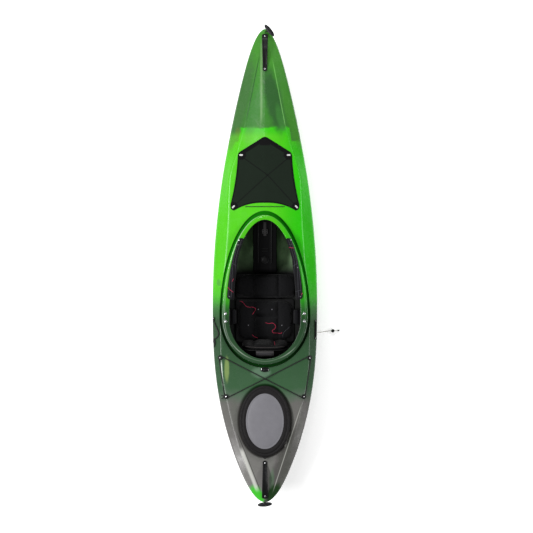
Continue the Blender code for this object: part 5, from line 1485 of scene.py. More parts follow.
def build_grip(word):
    """A slim grip with finger ridges, a bored middle and round ends."""
    low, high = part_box(word + "_grip")
    center = (low + high) / 2
    half_x, half_y, half_z = GRIP_HALF
    rings = []
    count = 64
    for k in range(count + 1):
        t = -1 + 2 * k / count
        body = max(1 - abs(t) ** 2.3, 0.0) ** 0.50
        ridge = 1.0 - 0.045 * (0.5 - 0.5 * math.cos(2 * math.pi * abs(t) * 5)) * (0.2 < abs(t) < 0.8)
        ring = []
        for angle in round_angles(20):
            y = math.copysign(abs(math.cos(angle)) ** 0.85, math.cos(angle)) * half_y * body * ridge
            z = math.copysign(abs(math.sin(angle)) ** 0.85, math.sin(angle)) * half_z * body * ridge
            ring.append(Vector((half_x * t, y, z)))
        rings.append(ring)
    grip = loft(f"{word}_hand_grip", rings, GRIP)
    move(grip, Matrix.Translation(center) @ turn_z(GRIP_TURNS[word]))
    put(grip, "grip_" + word, (word + "_grip",))
    circle = [(x, y, 0.0) for x, y in ellipse(GRIP_COLLAR, GRIP_COLLAR, 24)]
    collar = tube(word + "_grip_collar", circle, 0.0013, BLACK_MATT, cyclic=True, count=8)
    move(collar, Matrix.Translation(center + Vector((0, 0, half_z * 0.93))))
    put(collar, "grip_" + word)
    return center


def build_grip_cord(word, way, x, inset):
    center = build_grip(word)
    root_y = way * (HULL_LENGTH / 2 - inset)
    root = Vector((0.0, root_y, deck_height(0.0, root_y)))
    below = Vector((center.x, center.y, root.z))
    route = [root + Vector((0, 0, 0.0006)), root + Vector((x * 0.06, way * 0.001, 0.007))]
    for share, rise in ((0.45, 0.0115), (0.85, 0.0125)):
        route.append(root.lerp(below, share) + Vector((0, 0, rise)))
    route += [center + Vector((0, 0, rise)) for rise in (-0.008, 0.006, 0.0135)]
    line = tube(word + "_end_cord", smooth_path(route, 6), 0.0033, BLACK_CORD)
    top = knot(word + "_end_knot", center + Vector((0, 0, 0.0168)), 0.0052, 0.0024, BLACK_CORD, 0.5 * way)
    put(join(word + "_end_line", [line, top]), "kayak", (word + "_grip_cord",))


# Rear bungee: buttons in the order that the cord passes them, with the way it turns round each
BUTTONS = (
    ("front_left", (-0.338, -0.701, 0.2958), (-0.362, -0.032, 0.932), -1),
    ("rear_right", (0.294, -0.998, 0.2944), (0.295, -0.072, 0.953), 1),
    ("front_right", (0.338, -0.701, 0.2958), (0.362, -0.032, 0.932), 1),
    ("rear_left", (-0.294, -0.998, 0.2944), (-0.295, -0.072, 0.953), -1),
)
BUNGEE_RADIUS = 0.0037
BUTTON_CORD_HEIGHT = 0.0085


def build_button(word, frame_matrix):
    low, high = BUTTON_CORD_HEIGHT - 0.0040, BUTTON_CORD_HEIGHT + 0.0040
    profile = [(0.0, -0.001), (0.0120, -0.001), (0.0120, low - 0.0015), (0.0112, low - 0.0006),
               (0.0072, low), (0.0070, high), (0.0170, high + 0.0004), (0.0182, high + 0.0011),
               (0.0185, high + 0.0022),
               (0.0178, high + 0.0036), (0.0150, high + 0.0050), (0.0100, high + 0.0062),
               (0.0088, high + 0.0064), (0.0084, high + 0.0054), (0.0, high + 0.0054)]
    button = turned("bungee_knob_" + word, profile, 48, BLACK)
    move(button, frame_matrix)
    put(button, "kayak", ("bungee_button_" + word,))
    top = frame_matrix @ Matrix.Translation((0, 0, high + 0.0050)) @ turn_z(23)
    screw("bungee_screw_" + word, 0.0050, 0.0028, top)


def bungee_path():
    frames = [frame_at(place, normal) for _, place, normal, _ in BUTTONS]
    reach = 0.0070 + BUNGEE_RADIUS + 0.0018
    path = []
    crossing = 0
    for i, (_, place, _, turn) in enumerate(BUTTONS):
        before, after = Vector(BUTTONS[i - 1][1]), Vector(BUTTONS[(i + 1) % 4][1])
        spot = Vector(place)
        come = math.atan2(spot.y - before.y, spot.x - before.x) - turn * math.pi / 2
        leave = math.atan2(after.y - spot.y, after.x - spot.x) - turn * math.pi / 2
        around = (leave - come) * turn % (2 * math.pi)
        for k in range(9):
            angle = come + turn * around * k / 8
            local = Vector((reach * math.cos(angle), reach * math.sin(angle), BUTTON_CORD_HEIGHT))
            path.append(frames[i] @ local)
        next_turn = BUTTONS[(i + 1) % 4][3]
        angle = math.atan2(after.y - spot.y, after.x - spot.x) - next_turn * math.pi / 2
        local = Vector((reach * math.cos(angle), reach * math.sin(angle), BUTTON_CORD_HEIGHT))
        start, end = path[-1], frames[(i + 1) % 4] @ local
        diagonal = spot.x * after.x < 0
        count = 40 if diagonal else 22
        for k in range(1, count):
            share = k / count
            flat = start.lerp(end, share)
            rest = deck_height(flat.x, flat.y) + BUNGEE_RADIUS + 0.0010
            if diagonal and crossing:
                rest += 2.1 * BUNGEE_RADIUS * math.exp(-((share - 0.5) / 0.07) ** 2)
            near = min(share, 1 - share)
            raised = flat.z + (rest - flat.z) * step(near, 0.02, 0.16)
            path.append(Vector((flat.x, flat.y, max(raised, rest) if near < 0.2 else rest)))
        crossing += diagonal
    return path


def build_bungee():
    line = tube("rear_bungee", bungee_path(), BUNGEE_RADIUS, BLACK_CORD, cyclic=True, count=12)
    at = frame_at(BUTTONS[3][1], BUTTONS[3][2])
    pieces = [line, knot("bungee_knot", at @ Vector((-0.0150, -0.0035, 0.0070)), 0.0062, 0.0030, BLACK_CORD)]
    for i, (x, y) in enumerate(((-0.0400, 0.0065), (-0.0390, -0.0170))):
        points = [at @ Vector((x * way, y * way, 0.0075 - 0.0035 * way)) for way in (0.3, 0.55, 0.8, 1.0)]
        pieces.append(tube(f"bungee_tail_{i}", smooth_path(points, 5), 0.0034, BLACK_CORD, count=10))
    put(join("rear_bungee_line", pieces), "kayak", ("deck_bungee",))
    for word, spot, normal, _ in BUTTONS:
        build_button(word, frame_at(spot, normal))


# Security loop

def build_security_loop():
    at = deck_frame(0.0, -0.7925)
    plate = bevel(move(prism("loop_plate", ellipse(0.034, 0.0185, 48), -0.001, 0.005, BLACK), at), 0.0018, 3)
    put(plate, "kayak", ("security_loop",))
    rings = []
    for k in range(25):
        angle = math.pi * k / 24
        along = Vector((math.cos(angle), 0.0, math.sin(angle)))
        ring = []
        for turn in round_angles(16):
            out = 0.01675 + 0.0040 * math.copysign(abs(math.cos(turn)) ** 0.6, math.cos(turn))
            y = 0.0053 * math.copysign(abs(math.sin(turn)) ** 0.6, math.sin(turn))
            ring.append(Vector((along.x * out, y, 0.003 + along.z * out)))
        rings.append(ring)
    put(move(loft("loop_bow", rings, BLACK), at), "kayak")
    for side in (-1, 1):
        spot = at @ Matrix.Translation((side * 0.0265, 0.0, 0.0046)) @ turn_z(20 * side)
        screw(f"loop_screw_{side + 1}", 0.0052, 0.0028, spot)


# Rim bolts

RIM_BOLTS = (
    ("rear_left", -0.3002, -0.421), ("front_left", -0.3007, -0.363),
    ("rear_right", 0.3002, -0.421), ("front_right", 0.3007, -0.363),
)


def build_rim_bolts():
    for i, (word, x, y) in enumerate(RIM_BOLTS):
        at = frame_at((x, y, rim_height(y) + CLEARANCE), (0.0, -RIM_SLOPE, 1.0)) @ turn_z(11 + 37 * i)
        profile = [(0.0, 0.0), (0.0105, 0.0), (0.0105, 0.0010), (0.0098, 0.0016), (0.0066, 0.0016),
                   (0.0064, 0.0034), (0.0052, 0.0048), (0.0034, 0.0053), (0.0028, 0.0053), (0.0028, 0.0025),
                   (0.0, 0.0022)]
        bolt = turned("rim_bolt_head_" + word, profile, 48, STEEL, corners=(8, 9))
        shank = turned("rim_bolt_shank_" + word, [(0.0, -0.020), (0.0028, -0.020), (0.0030, -0.019),
                                                  (0.0030, -0.0005), (0.0, -0.0005)], 24, STEEL)
        bolt = join("rim_bolt_whole_" + word, [move(bolt, at), move(shank, at)])
        put(bolt, "kayak", ("rim_bolt_" + word,))


# Paddle keeper and the skeg's fairlead

KEEPER_EYE = ((-0.007, -0.018), (0.007, -0.018), (0.008, 0.0), (0.007, 0.018), (-0.007, 0.018),
              (-0.008, 0.0))
KEEPER_HOOK = ((-0.008, -0.028), (0.005, -0.030), (0.010, -0.014), (0.009, 0.010), (-0.008, 0.011),
               (-0.011, -0.008))
KEEPER_ROUTE = ((-0.3870, -0.433), (-0.3780, -0.455), (-0.3640, -0.485), (-0.3535, -0.511),
                (-0.3560, -0.530), (-0.3680, -0.548), (-0.3795, -0.558))
KEEPER_TAIL = ((-0.3845, -0.5740), (-0.3810, -0.5900), (-0.3855, -0.6050), (-0.3880, -0.6190))
KEEPER_CORD_RADIUS = 0.0056
KEEPER_CORD_LIFT = 0.0046


def rounded(points, share=0.3, steps=4):
    """A closed outline with its corners rounded."""
    points = [Vector(p) for p in points]
    outline = []
    for i, corner in enumerate(points):
        outline += round_corner(points[i - 1], corner, points[(i + 1) % len(points)], share, steps)
    return [(p.x, p.y) for p in outline]


def build_paddle_keeper(hull):
    eye_at = frame_at((-0.3895, -0.411, 0.2620), (-0.741, -0.004, 0.672))
    hook_at = frame_at((-0.3865, -0.566, 0.2617), (-0.718, -0.019, 0.696))
    eye = bevel(prism("keeper_eye_plate", rounded(KEEPER_EYE), -0.001, 0.0075, BLACK), 0.0012)
    put(bevel(move(eye, eye_at), 0.0012), "kayak", ("paddle_keeper_eye",))
    screw("keeper_screw", 0.0032, 0.0016, eye_at @ Matrix.Translation((0.0, 0.008, 0.0073)))
    hook = prism("keeper_hook_plate", rounded(KEEPER_HOOK), -0.001, 0.0070, BLACK)
    put(bevel(move(hook, hook_at), 0.0014), "kayak", ("paddle_keeper_hook",))
    skin = BVHTree.FromObject(hull, bpy.context.evaluated_depsgraph_get())
    runs = []
    for name, route in (("keeper_line", KEEPER_ROUTE), ("keeper_tail", KEEPER_TAIL)):
        points = [on_top(skin, x, y, KEEPER_CORD_LIFT) for x, y in route]
        runs.append(tube(name, smooth_path(points, 8), KEEPER_CORD_RADIUS, BLACK_CORD))
    put(join("keeper_line", runs), "kayak", ("paddle_keeper_cord",))


def build_fairlead():
    at = Matrix.Translation((0.386, -0.488, 0.2644)) @ Matrix((
        (0.6962, 0.0136, 0.7177), (0.0, 0.9998, -0.0189), (-0.7178, 0.0132, 0.6961))).to_4x4()
    half, wide = 0.073, 0.009
    outline = rounded(rectangle(-wide, -half, wide, half), 0.35 * wide / half + 0.02, 5)
    base = prism("fairlead_base", outline, -0.002, 0.0052, BLACK)
    put(bevel(move(base, at), 0.0014), "kayak", ("skeg_fairlead",))
    rail = prism("fairlead_rail", rectangle(-0.0040, -0.062, 0.0040, 0.062), 0.0045, 0.0085, BLACK_MATT)
    put(bevel(move(rail, at), 0.0012), "kayak")
    for k in range(9):
        y = -0.050 + 0.0125 * k
        outline = rectangle(-0.0050, y - 0.0022, 0.0050, y + 0.0022)
        tooth = prism(f"fairlead_tooth_{k}", outline, 0.0060, 0.0090, BLACK)
        put(bevel(move(tooth, at), 0.0007), "kayak")
    for k, y in enumerate((-0.066, 0.066)):
        screw(f"fairlead_screw_{k}", 0.0034, 0.0016, at @ Matrix.Translation((0.0, y, 0.0050)))


# Deck cover

COVER_APEX_Y = 0.990
COVER_SHOULDER = (0.206, 0.862)
COVER_LOBE_OUT = (0.262, 0.452)
COVER_LOBE_IN = (0.234, 0.424)
COVER_MIDDLE_Y = 0.481
COVER_LIFT = 0.0035
COVER_MIDDLE = (0.0, 0.700)
COVER_SEAM_CROSSING = (0.021, 0.692)
COVER_SEAM_ENDS = ((-0.176, 0.835), (0.186, 0.830), (-0.232, 0.462), (0.236, 0.458))
ANCHORS = (("front_left", -0.1805, 0.846, 0.0), ("front_right", 0.1805, 0.846, 0.0),
           ("rear_left", -0.2395, 0.452, 45.0), ("rear_right", 0.2395, 0.452, -45.0))


# The cover's turned edge: how far in from its outline, and how high above the cloth
COVER_HEM = (
    (0.0, -0.0026), (0.0006, -0.0006), (0.0022, 0.0006), (0.0046, 0.0011), (0.0074, 0.0007),
    (0.0092, 0.0001), (0.0100, -0.0003), (0.0106, 0.0),
)

# The edge of its underside: how far in, and how high above the deck
COVER_UNDER = (0.004, 0.0004)


def cover_outline():
    apex, shoulder = Vector((0.0, COVER_APEX_Y)), Vector(COVER_SHOULDER)
    lobe_out, lobe_in = Vector(COVER_LOBE_OUT), Vector(COVER_LOBE_IN)
    waist = Vector((shoulder.x + 0.010, (shoulder.y + lobe_out.y) / 2))
    front = round_corner(shoulder, apex, Vector((-shoulder.x, shoulder.y)), 0.10, 10)[:6][::-1]
    right = front + between(front[-1], apex.lerp(shoulder, 0.90), 20)
    right += round_corner(apex, shoulder, waist, 0.10, 10)
    low = lobe_out + Vector((0, 0.02))
    right += bend(right[-1], waist, low, 36)[1:]
    right += bend(low, lobe_out + Vector((0.006, -0.026)), lobe_in, 14)[1:]
    right += bend(lobe_in, Vector((0.13, COVER_MIDDLE_Y + 0.006)), Vector((0.0, COVER_MIDDLE_Y)), 36)[1:]
    left = [Vector((-p.x, p.y)) for p in reversed(right) if p.x > 1e-5]
    return right + left


def line_distance(x, y, start, end):
    a, b, p = Vector(start), Vector(end), Vector((x, y))
    share = min(max((p - a).dot(b - a) / (b - a).length_squared, 0.0), 1.0)
    return (p - a.lerp(b, share)).length


def cover_height(x, y, edge):
    """Height of the cloth: drawn tight between its seams, a little sunk at the seams and the fittings."""
    seam = min(line_distance(x, y, COVER_SEAM_CROSSING, end) for end in COVER_SEAM_ENDS)
    puff = 0.0009 * step(seam, 0.0, 0.060) + 0.0006 * noise.noise(Vector((x * 9, y * 9, 3.0)))
    tug = 0.0
    for _, ax, ay, _ in ANCHORS:
        away = math.hypot(x - ax, y - ay)
        tug += 0.0012 * math.exp(-(away / 0.028) ** 2)
        angle = math.atan2(y - ay, x - ax)
        tug += 0.0007 * math.cos(angle * 14) * math.exp(-(away / 0.05) ** 2) * step(away, 0.012, 0.03)
    return deck_height(x, y) + COVER_LIFT + (puff - tug) * step(edge, 0.0, 0.02)


def drawn_in(outline, inset):
    """The cover's outline moved towards its middle."""
    return [p + (Vector(COVER_MIDDLE) - p).normalized() * inset for p in outline]


def over_deck(points, lift):
    return [Vector((p.x, p.y, deck_height(p.x, p.y) + lift)) for p in points]


def cover_rings(outline):
    """The cover from the edge of its underside, round its hem and in to its middle."""
    rings = [over_deck(drawn_in(outline, COVER_UNDER[0]), COVER_UNDER[1])]
    for inset, level in COVER_HEM:
        rings.append(over_deck(drawn_in(outline, inset), COVER_LIFT + level))
    rows = 46
    start = drawn_in(outline, COVER_HEM[-1][0])
    for k in range(1, rows + 1):
        ring = []
        for p, first in zip(outline, start):
            q = first.lerp(Vector(COVER_MIDDLE), k / rows * 0.995)
            ring.append(Vector((q.x, q.y, cover_height(q.x, q.y, (q - p).length))))
        rings.append(ring)
    return rings


def in_edge_cloth(center):
    """Whether a place on the cover is part of its front band, its tip or a patch at a fitting."""
    front = (COVER_APEX_Y - center.y) * 0.8495 - abs(center.x) * 0.5278
    tip = math.hypot(center.x * 0.8, center.y - COVER_APEX_Y) < 0.072
    patch = min(math.hypot(center.x - ax, center.y - ay) for _, ax, ay, _ in ANCHORS) < 0.036
    return patch or tip or front < 0.030


def build_cover():
    rings = cover_rings(cover_outline())
    count = len(rings[0])
    verts = points_of(rings)
    faces = grid_faces(len(rings), count, False, True)
    faces.append(tuple(len(verts) - count + k for k in range(count)))
    cover = fix_normals(add_mesh("deck_cloth", verts, faces, COVER_CLOTH, COVER_EDGE))
    if cover.data.polygons[count * 20].normal.z < 0:
        cover.data.flip_normals()
    for polygon in cover.data.polygons:
        hem = polygon.index < count * len(COVER_HEM)
        polygon.material_index = int(hem or in_edge_cloth(polygon.center))
    put(cover, "kayak", ("deck_cover",))
    trims = cover_trims()


def on_cover(points, lift):
    return [Vector((x, y, cover_height(x, y, 0.02) + lift)) for x, y in points]


def cover_trims():
    """The seams that cross the cover, and the stitching along its edge band."""
    trims = []
    for i, end in enumerate(COVER_SEAM_ENDS):
        line = [Vector(COVER_SEAM_CROSSING).lerp(Vector(end), k / 24) for k in range(25)]
        seam = sweep(f"cover_seam_{i}", on_cover(line, 0.0001), flat_outline(0.0050, 0.0016), COVER_EDGE,
                     up=Vector((0, 0, 1)))
        trims.append(put(seam, "kayak"))
    edge = on_cover(drawn_in(cover_outline(), 0.0135), 0.0002)
    stitched = tube("cover_stitching", edge, 0.0007, COVER_EDGE, cyclic=True, count=6)
    trims.append(put(stitched, "kayak"))
    return trims


def build_cover_fittings():
    for word, x, y, turn in ANCHORS:
        at = deck_frame(x, y, COVER_LIFT + 0.0012) @ turn_z(turn)
        rings = []
        for inset, z in ((0.0008, 0.0), (0.0, 0.0006), (0.0001, 0.0022), (0.0010, 0.0034), (0.0026, 0.0039)):
            rings.append(slot_ring(0.0140 - inset, 0.0062 - inset, z))
        for inset, z in ((0.0034, 0.0036), (0.0038, 0.0014), (0.0060, 0.0012)):
            rings.append(slot_ring(0.0140 - inset - 0.001, 0.0062 - inset, z))
        fitting = loft("cover_slot_" + word, rings, WHITE)
        put(crease(move(fitting, at), 50.0), "kayak", ("cover_anchor_" + word,))
    line = []
    for k in range(61):
        x = 0.150 * (k / 30 - 1)
        line.append(Vector((x, 0.4525, deck_height(x, 0.4525) + 0.0032)))
    put(tube("cover_shock_cord", line, 0.0025, BLACK_CORD), "kayak", ("cover_cord",))


def slot_ring(half_x, half_y, z, count=32):
    """A ring with straight sides and round ends."""
    ring = []
    straight = half_x - half_y
    for angle in round_angles(count):
        shift = math.copysign(straight, math.cos(angle)) if abs(math.cos(angle)) > 1e-6 else 0.0
        ring.append(Vector((shift + half_y * math.cos(angle), half_y * math.sin(angle), z)))
    return ring


# Seat

SEAT_HALF = 0.225
TRAY_TOP = 0.048
TRAY_INSIDE = 0.0455
RUNNER_FOOT = 0.0053
CUSHION_SPACING = 0.0052
PLATE = 0.005
HANGER_WAIST = ((0.250, 0.120), (0.264, 0.200))
HANGER_YS = (-0.450, -0.335)
BACK_PIVOT = (0.0, -0.592, 0.078)
BACK_LEAN = 12.0
BACK_HEIGHT = 0.245
BACK_HALF = 0.185
BACK_PAD_HALF = 0.175
BACK_BEND = 0.009
SEAM_WIDTH = 0.011
CUSHION_RIM = 0.999


def side_prism(name, outline, left, right, *materials):
    """An outline of (y, z) points made into a plate between two x."""
    item = prism(name, outline, left, right, *materials)
    return move(item, Matrix(((0, 0, 1, 0), (1, 0, 0, 0), (0, 1, 0, 0), (0, 0, 0, 1))))


def build_seat_pan():
    """The tray with its runners, the wings that hang it from the rim, and the ears the backrest turns on."""
    pieces = []
    corners = rounded(rectangle(-SEAT_HALF, -0.590, SEAT_HALF, -0.257), 0.06, 4)
    tray = prism("seat_tray", corners, TRAY_TOP - PLATE, TRAY_TOP, BLACK)
    pieces.append(bevel(tray, 0.0014))
    for side in (-1, 1):
        x = side * 0.100
        outline = ((-0.570, RUNNER_FOOT), (-0.112, RUNNER_FOOT), (-0.112, 0.0427), (-0.262, 0.0427),
                   (-0.262, TRAY_INSIDE), (-0.570, TRAY_INSIDE))
        runner = side_prism(f"seat_runner_{side}", outline, x - 0.010, x + 0.010, BLACK_MATT)
        pieces.append(bevel(runner, 0.0015))
        outline = ((-0.604, TRAY_INSIDE), (-0.580, TRAY_INSIDE), (-0.580, 0.0876), (-0.586, 0.0924),
                   (-0.598, 0.0924), (-0.604, 0.0876))
        inner = side * 0.160
        left, right = sorted((inner, inner + side * PLATE))
        pieces.append(bevel(side_prism(f"seat_ear_{side}", outline, left, right, BLACK), 0.0012))
        pin = tube(f"seat_pin_{side}", [(side * 0.1462, *BACK_PIVOT[1:]), (side * 0.163, *BACK_PIVOT[1:])],
                   0.0040, STEEL, count=20)
        pieces.append(pin)
        pieces.append(build_hanger(side))
    for piece in pieces[1:]:
        put(piece)
    put(pieces[0], "kayak", ("seat_pan",))


def build_hanger(side):
    """A wing from the tray up to its tab under the cockpit rim, flared at both ends."""
    rings = []
    for k in range(25):
        share = k / 24
        y = HANGER_YS[0] + (HANGER_YS[1] - HANGER_YS[0]) * share
        top = rim_height(y) - 0.006 - CLEARANCE - PLATE / 2
        line = [Vector((SEAT_HALF - 0.012, TRAY_TOP - PLATE / 2)), *[Vector(p) for p in HANGER_WAIST],
                Vector((HANGER_WAIST[-1][0], top)), Vector((0.309, top))]
        soft = [line[0]]
        for i in range(1, len(line) - 1):
            soft += round_corner(line[i - 1], line[i], line[i + 1], 0.12 if i != 3 else 0.25, 4)
        soft.append(line[-1])
        end = min(share, 1 - share) * (HANGER_YS[1] - HANGER_YS[0])
        thick = PLATE * (0.5 + 0.5 * quarter_round(end / 0.003))
        rings.append([Vector((side * p.x, y, p.y)) for p in thick_line(soft, thick)])
    return crease(loft(f"seat_wing_{side}", rings, BLACK), 50.0)


def cushion_point(u, v, upper, half, thickness, seams, power, bow):
    """A cushion's point from its grid's (u, v), how far out that is, and how far from a seam."""
    reach = max(abs(u), abs(v), 1e-6)
    corner = reach / (abs(u) ** power + abs(v) ** power) ** (1 / power)
    x, y = half[0] * u * corner, half[1] * v * corner
    if v > 0:
        y += bow * v * (1 - u * u)
    edge = math.sqrt(max(1 - reach ** 5, 0.0))
    near = min((line_distance(x, y, a, b) for a, b in seams), default=1.0)
    groove = math.exp(-(near / SEAM_WIDTH) ** 2)
    if reach > CUSHION_RIM:
        z = thickness * 0.19
    elif upper:
        z = thickness * (0.28 + (0.72 - 0.40 * groove) * edge)
    else:
        z = 0.10 * thickness * (1 - edge)
    return Vector((x, y, z)), reach, near


def pillow(name, half_x, half_y, thickness, seams, material, power=5.0, bow=0.0):
    """A sewn cushion as a grid, flat below and crowned above, drawn in along its seams."""
    count_x = max(int(2 * half_x / CUSHION_SPACING), 8)
    count_y = max(int(2 * half_y / CUSHION_SPACING), 8)
    form = (half_x, half_y), thickness, seams, power, bow
    verts, pins, faces = [], [], []
    sides = {}, {}
    for upper, side in enumerate(sides):
        for j in range(count_y + 1):
            for i in range(count_x + 1):
                place, reach, near = cushion_point(-1 + 2 * i / count_x, -1 + 2 * j / count_y, upper, *form)
                rim = reach > CUSHION_RIM
                if rim and upper:
                    side[i, j] = sides[0][i, j]
                    continue
                side[i, j] = len(verts)
                if rim or near < CUSHION_SPACING * 0.75 or (not upper and reach < 0.9):
                    pins.append(len(verts))
                verts.append(place)
    for j in range(count_y):
        for i in range(count_x):
            corners = ((i, j), (i + 1, j), (i + 1, j + 1), (i, j + 1))
            faces.append([sides[1][corner] for corner in corners])
            faces.append([sides[0][corners[k]] for k in (0, 3, 2, 1)])
    item = add_mesh(name, verts, faces, material)
    item.vertex_groups.new(name="sewn").add(pins, 1.0, "REPLACE")
    return item


# How the cushions are blown up: pressure, frames of simulation, and the most that a point may move
CUSHION_PRESSURE = 5.0
CUSHION_FRAMES = 20
CUSHION_MOST = 0.006


def blow_up(item):
    """Blow the cushion up as cloth that is held at its seams."""
    modifier = item.modifiers.new("cloth", "CLOTH")
    settings = modifier.settings
    settings.quality = 6
    settings.mass = 0.25
    settings.tension_stiffness = settings.compression_stiffness = 12.0
    settings.bending_stiffness = 0.15
    settings.use_pressure = True
    settings.uniform_pressure_force = CUSHION_PRESSURE
    settings.vertex_group_mass = "sewn"
    settings.effector_weights.gravity = 0.0
    settings.shrink_min = -0.035
    modifier.collision_settings.use_collision = False
    modifier.point_cache.frame_start = 1
    modifier.point_cache.frame_end = CUSHION_FRAMES
    scene = bpy.context.scene
    for number in range(1, CUSHION_FRAMES + 1):
        scene.frame_set(number)
    graph = bpy.context.evaluated_depsgraph_get()
    blown = item.evaluated_get(graph).to_mesh()
    places = [v.co.copy() for v in blown.vertices]
    item.evaluated_get(graph).to_mesh_clear()
    item.modifiers.remove(modifier)
    scene.frame_set(1)
    for vert, place in zip(item.data.vertices, places):
        moved = place - vert.co
        if moved.length > CUSHION_MOST:
            moved *= CUSHION_MOST / moved.length
        vert.co = vert.co + moved


def inflate(item):
    """Blow the cushion up, then make its mesh finer and smooth."""
    blow_up(item)
    smoothing = item.modifiers.new("smooth", "SUBSURF")
    smoothing.levels = smoothing.render_levels = 1
    graph = bpy.context.evaluated_depsgraph_get()
    mesh = bpy.data.meshes.new_from_object(item.evaluated_get(graph))
    item.modifiers.clear()
    item.data = mesh
    mesh.shade_smooth()


def wrinkle(item, region, depth, scale):
    """Pull shallow creases into a cushion's top inside an ellipse (centre, half sizes)."""
    (cx, cy), (hx, hy) = region
    for vert in item.data.vertices:
        way = math.hypot((vert.co.x - cx) / hx, (vert.co.y - cy) / hy)
        if way < 1 and vert.co.z > 0.008:
            at = Vector((vert.co.x * scale, vert.co.y * scale * 0.8, 1.7))
            crease_line = abs(noise.noise(at)) + 0.5 * abs(noise.noise(at * 2.1))
            vert.co.z -= depth * math.exp(-(crease_line / 0.10) ** 2) * (1 - way) ** 0.5


# Sewn lines on the front cushion, the seat cushion and the back cushion, from their middles
LIFTER_SEAMS = (((-0.088, -0.12), (-0.088, 0.12)), ((0.108, -0.12), (0.108, 0.12)))
SEAT_SEAMS = (((-0.084, -0.20), (-0.084, 0.20)), ((0.104, -0.20), (0.104, 0.20)),
              ((-0.084, 0.030), (0.104, 0.030)))
BACK_SEAMS = (((-0.075, -0.20), (-0.075, 0.20)), ((0.085, -0.20), (0.085, 0.20)))


def build_cushions():
    seat = pillow("seat_cushion", 0.2125, 0.1525, 0.033, SEAT_SEAMS, SEAT_CLOTH)
    inflate(seat)
    wrinkle(seat, ((0.0, 0.03), (0.21, 0.15)), 0.0042, 17.0)
    move(seat, Matrix.Translation((0.0, -0.423, TRAY_TOP + CLEARANCE)))
    put(seat, "kayak", ("seat_pad",))
    front = pillow("front_cushion", 0.2325, 0.0925, 0.031, LIFTER_SEAMS, SEAT_CLOTH, 3.4, 0.002)
    inflate(front)
    wrinkle(front, ((0.01, 0.0), (0.13, 0.10)), 0.0048, 26.0)
    wrinkle(front, ((0.0, -0.05), (0.22, 0.06)), 0.0030, 15.0)
    move(front, Matrix.Translation((0.0, -0.1545, TRAY_TOP + CLEARANCE)))
    put(front, "leg_lift", ("lifter_pad",))
    corners = rounded(rectangle(-SEAT_HALF, -0.247, SEAT_HALF, -0.062), 0.1, 4)
    plate = prism("lifter_plate", corners, TRAY_TOP - PLATE, TRAY_TOP, BLACK)
    put(bevel(plate, 0.0014), "leg_lift", ("leg_lifter",))
    return seat


# The piping sewn on the cushions: places on the boat, seen from above
RED_PIPING = (
    ((-0.196, -0.274), (-0.180, -0.276), (-0.166, -0.290), (-0.137, -0.317), (-0.091, -0.321),
     (-0.073, -0.339), (-0.099, -0.378)),
    ((0.005, -0.441), (0.032, -0.446), (0.063, -0.444), (0.083, -0.466), (0.076, -0.488),
     (0.058, -0.501), (0.063, -0.518), (0.085, -0.520), (0.124, -0.524), (0.131, -0.514)),
    ((-0.099, -0.534), (-0.078, -0.552), (-0.056, -0.560)),
)
GREY_PIPING = (((0.196, -0.470), (0.144, -0.520), (0.140, -0.560)),)
SEAT_RIVETS = ((-0.051, -0.337), (0.055, -0.337), (0.132, -0.461), (-0.129, -0.460))


def on_top(tree, x, y, lift):
    hit = tree.ray_cast(Vector((x, y, 0.6)), Vector((0, 0, -1)))
    return Vector((x, y, (hit[0].z if hit[0] else 0.07) + lift))


def build_seat_trim(seat):
    tree = BVHTree.FromObject(seat, bpy.context.evaluated_depsgraph_get())
    groups = (("red_piping", RED_PIPING, RED_CLOTH, 0.0021), ("grey_piping", GREY_PIPING, GREY_TRIM, 0.0014))
    for name, lines, material, radius in groups:
        for i, line in enumerate(lines):
            flat = smooth_path([(x, y, 0.0) for x, y in line], 7)
            path = [on_top(tree, p.x, p.y, radius * 0.35) for p in flat]
            put(tube(f"{name}_{i}", path, radius, material, count=10), "kayak")
    for i, (x, y) in enumerate(SEAT_RIVETS):
        place = on_top(tree, x, y, -0.0006)
        screw(f"seat_rivet_{i}", 0.0046, 0.0022, Matrix.Translation(place), GREY_PANEL, False)


def back_matrix():
    return Matrix.Translation(BACK_PIVOT) @ Matrix.Rotation(math.radians(BACK_LEAN), 4, "X")


def build_backrest():
    at = back_matrix()
    belly = BACK_HEIGHT / 2
    outline = []
    for k in range(49):
        angle = math.pi * k / 48
        across = math.copysign(abs(math.cos(angle)) ** 0.5, math.cos(angle))
        outline.append((BACK_HALF * across, belly + (BACK_HEIGHT - belly) * math.sin(angle) ** 0.6))
    outline += [(-0.155, 0.034), (-0.155, 0.0), (0.155, 0.0), (0.155, 0.034)]
    shell = move(prism("back_plate", outline, 0.0, PLATE, BLACK), Matrix.Rotation(math.radians(90), 4, "X"))
    put(bevel(move(shell, at), 0.0012), "backrest", ("backrest_frame",))
    lug = ((-0.009, -0.008), (0.004, -0.010), (0.010, -0.004), (0.010, 0.004), (0.004, 0.012),
           (-0.004, 0.022))
    for side in (-1, 1):
        edge = side * 0.156
        ends = sorted((edge, edge - side * 0.006))
        piece = side_prism(f"back_lug_{side}", rounded(lug, 0.2, 3), *ends, BLACK)
        put(bevel(move(piece, at), 0.0010), "backrest")
    build_back_cushion(at)
    build_back_strap(at)


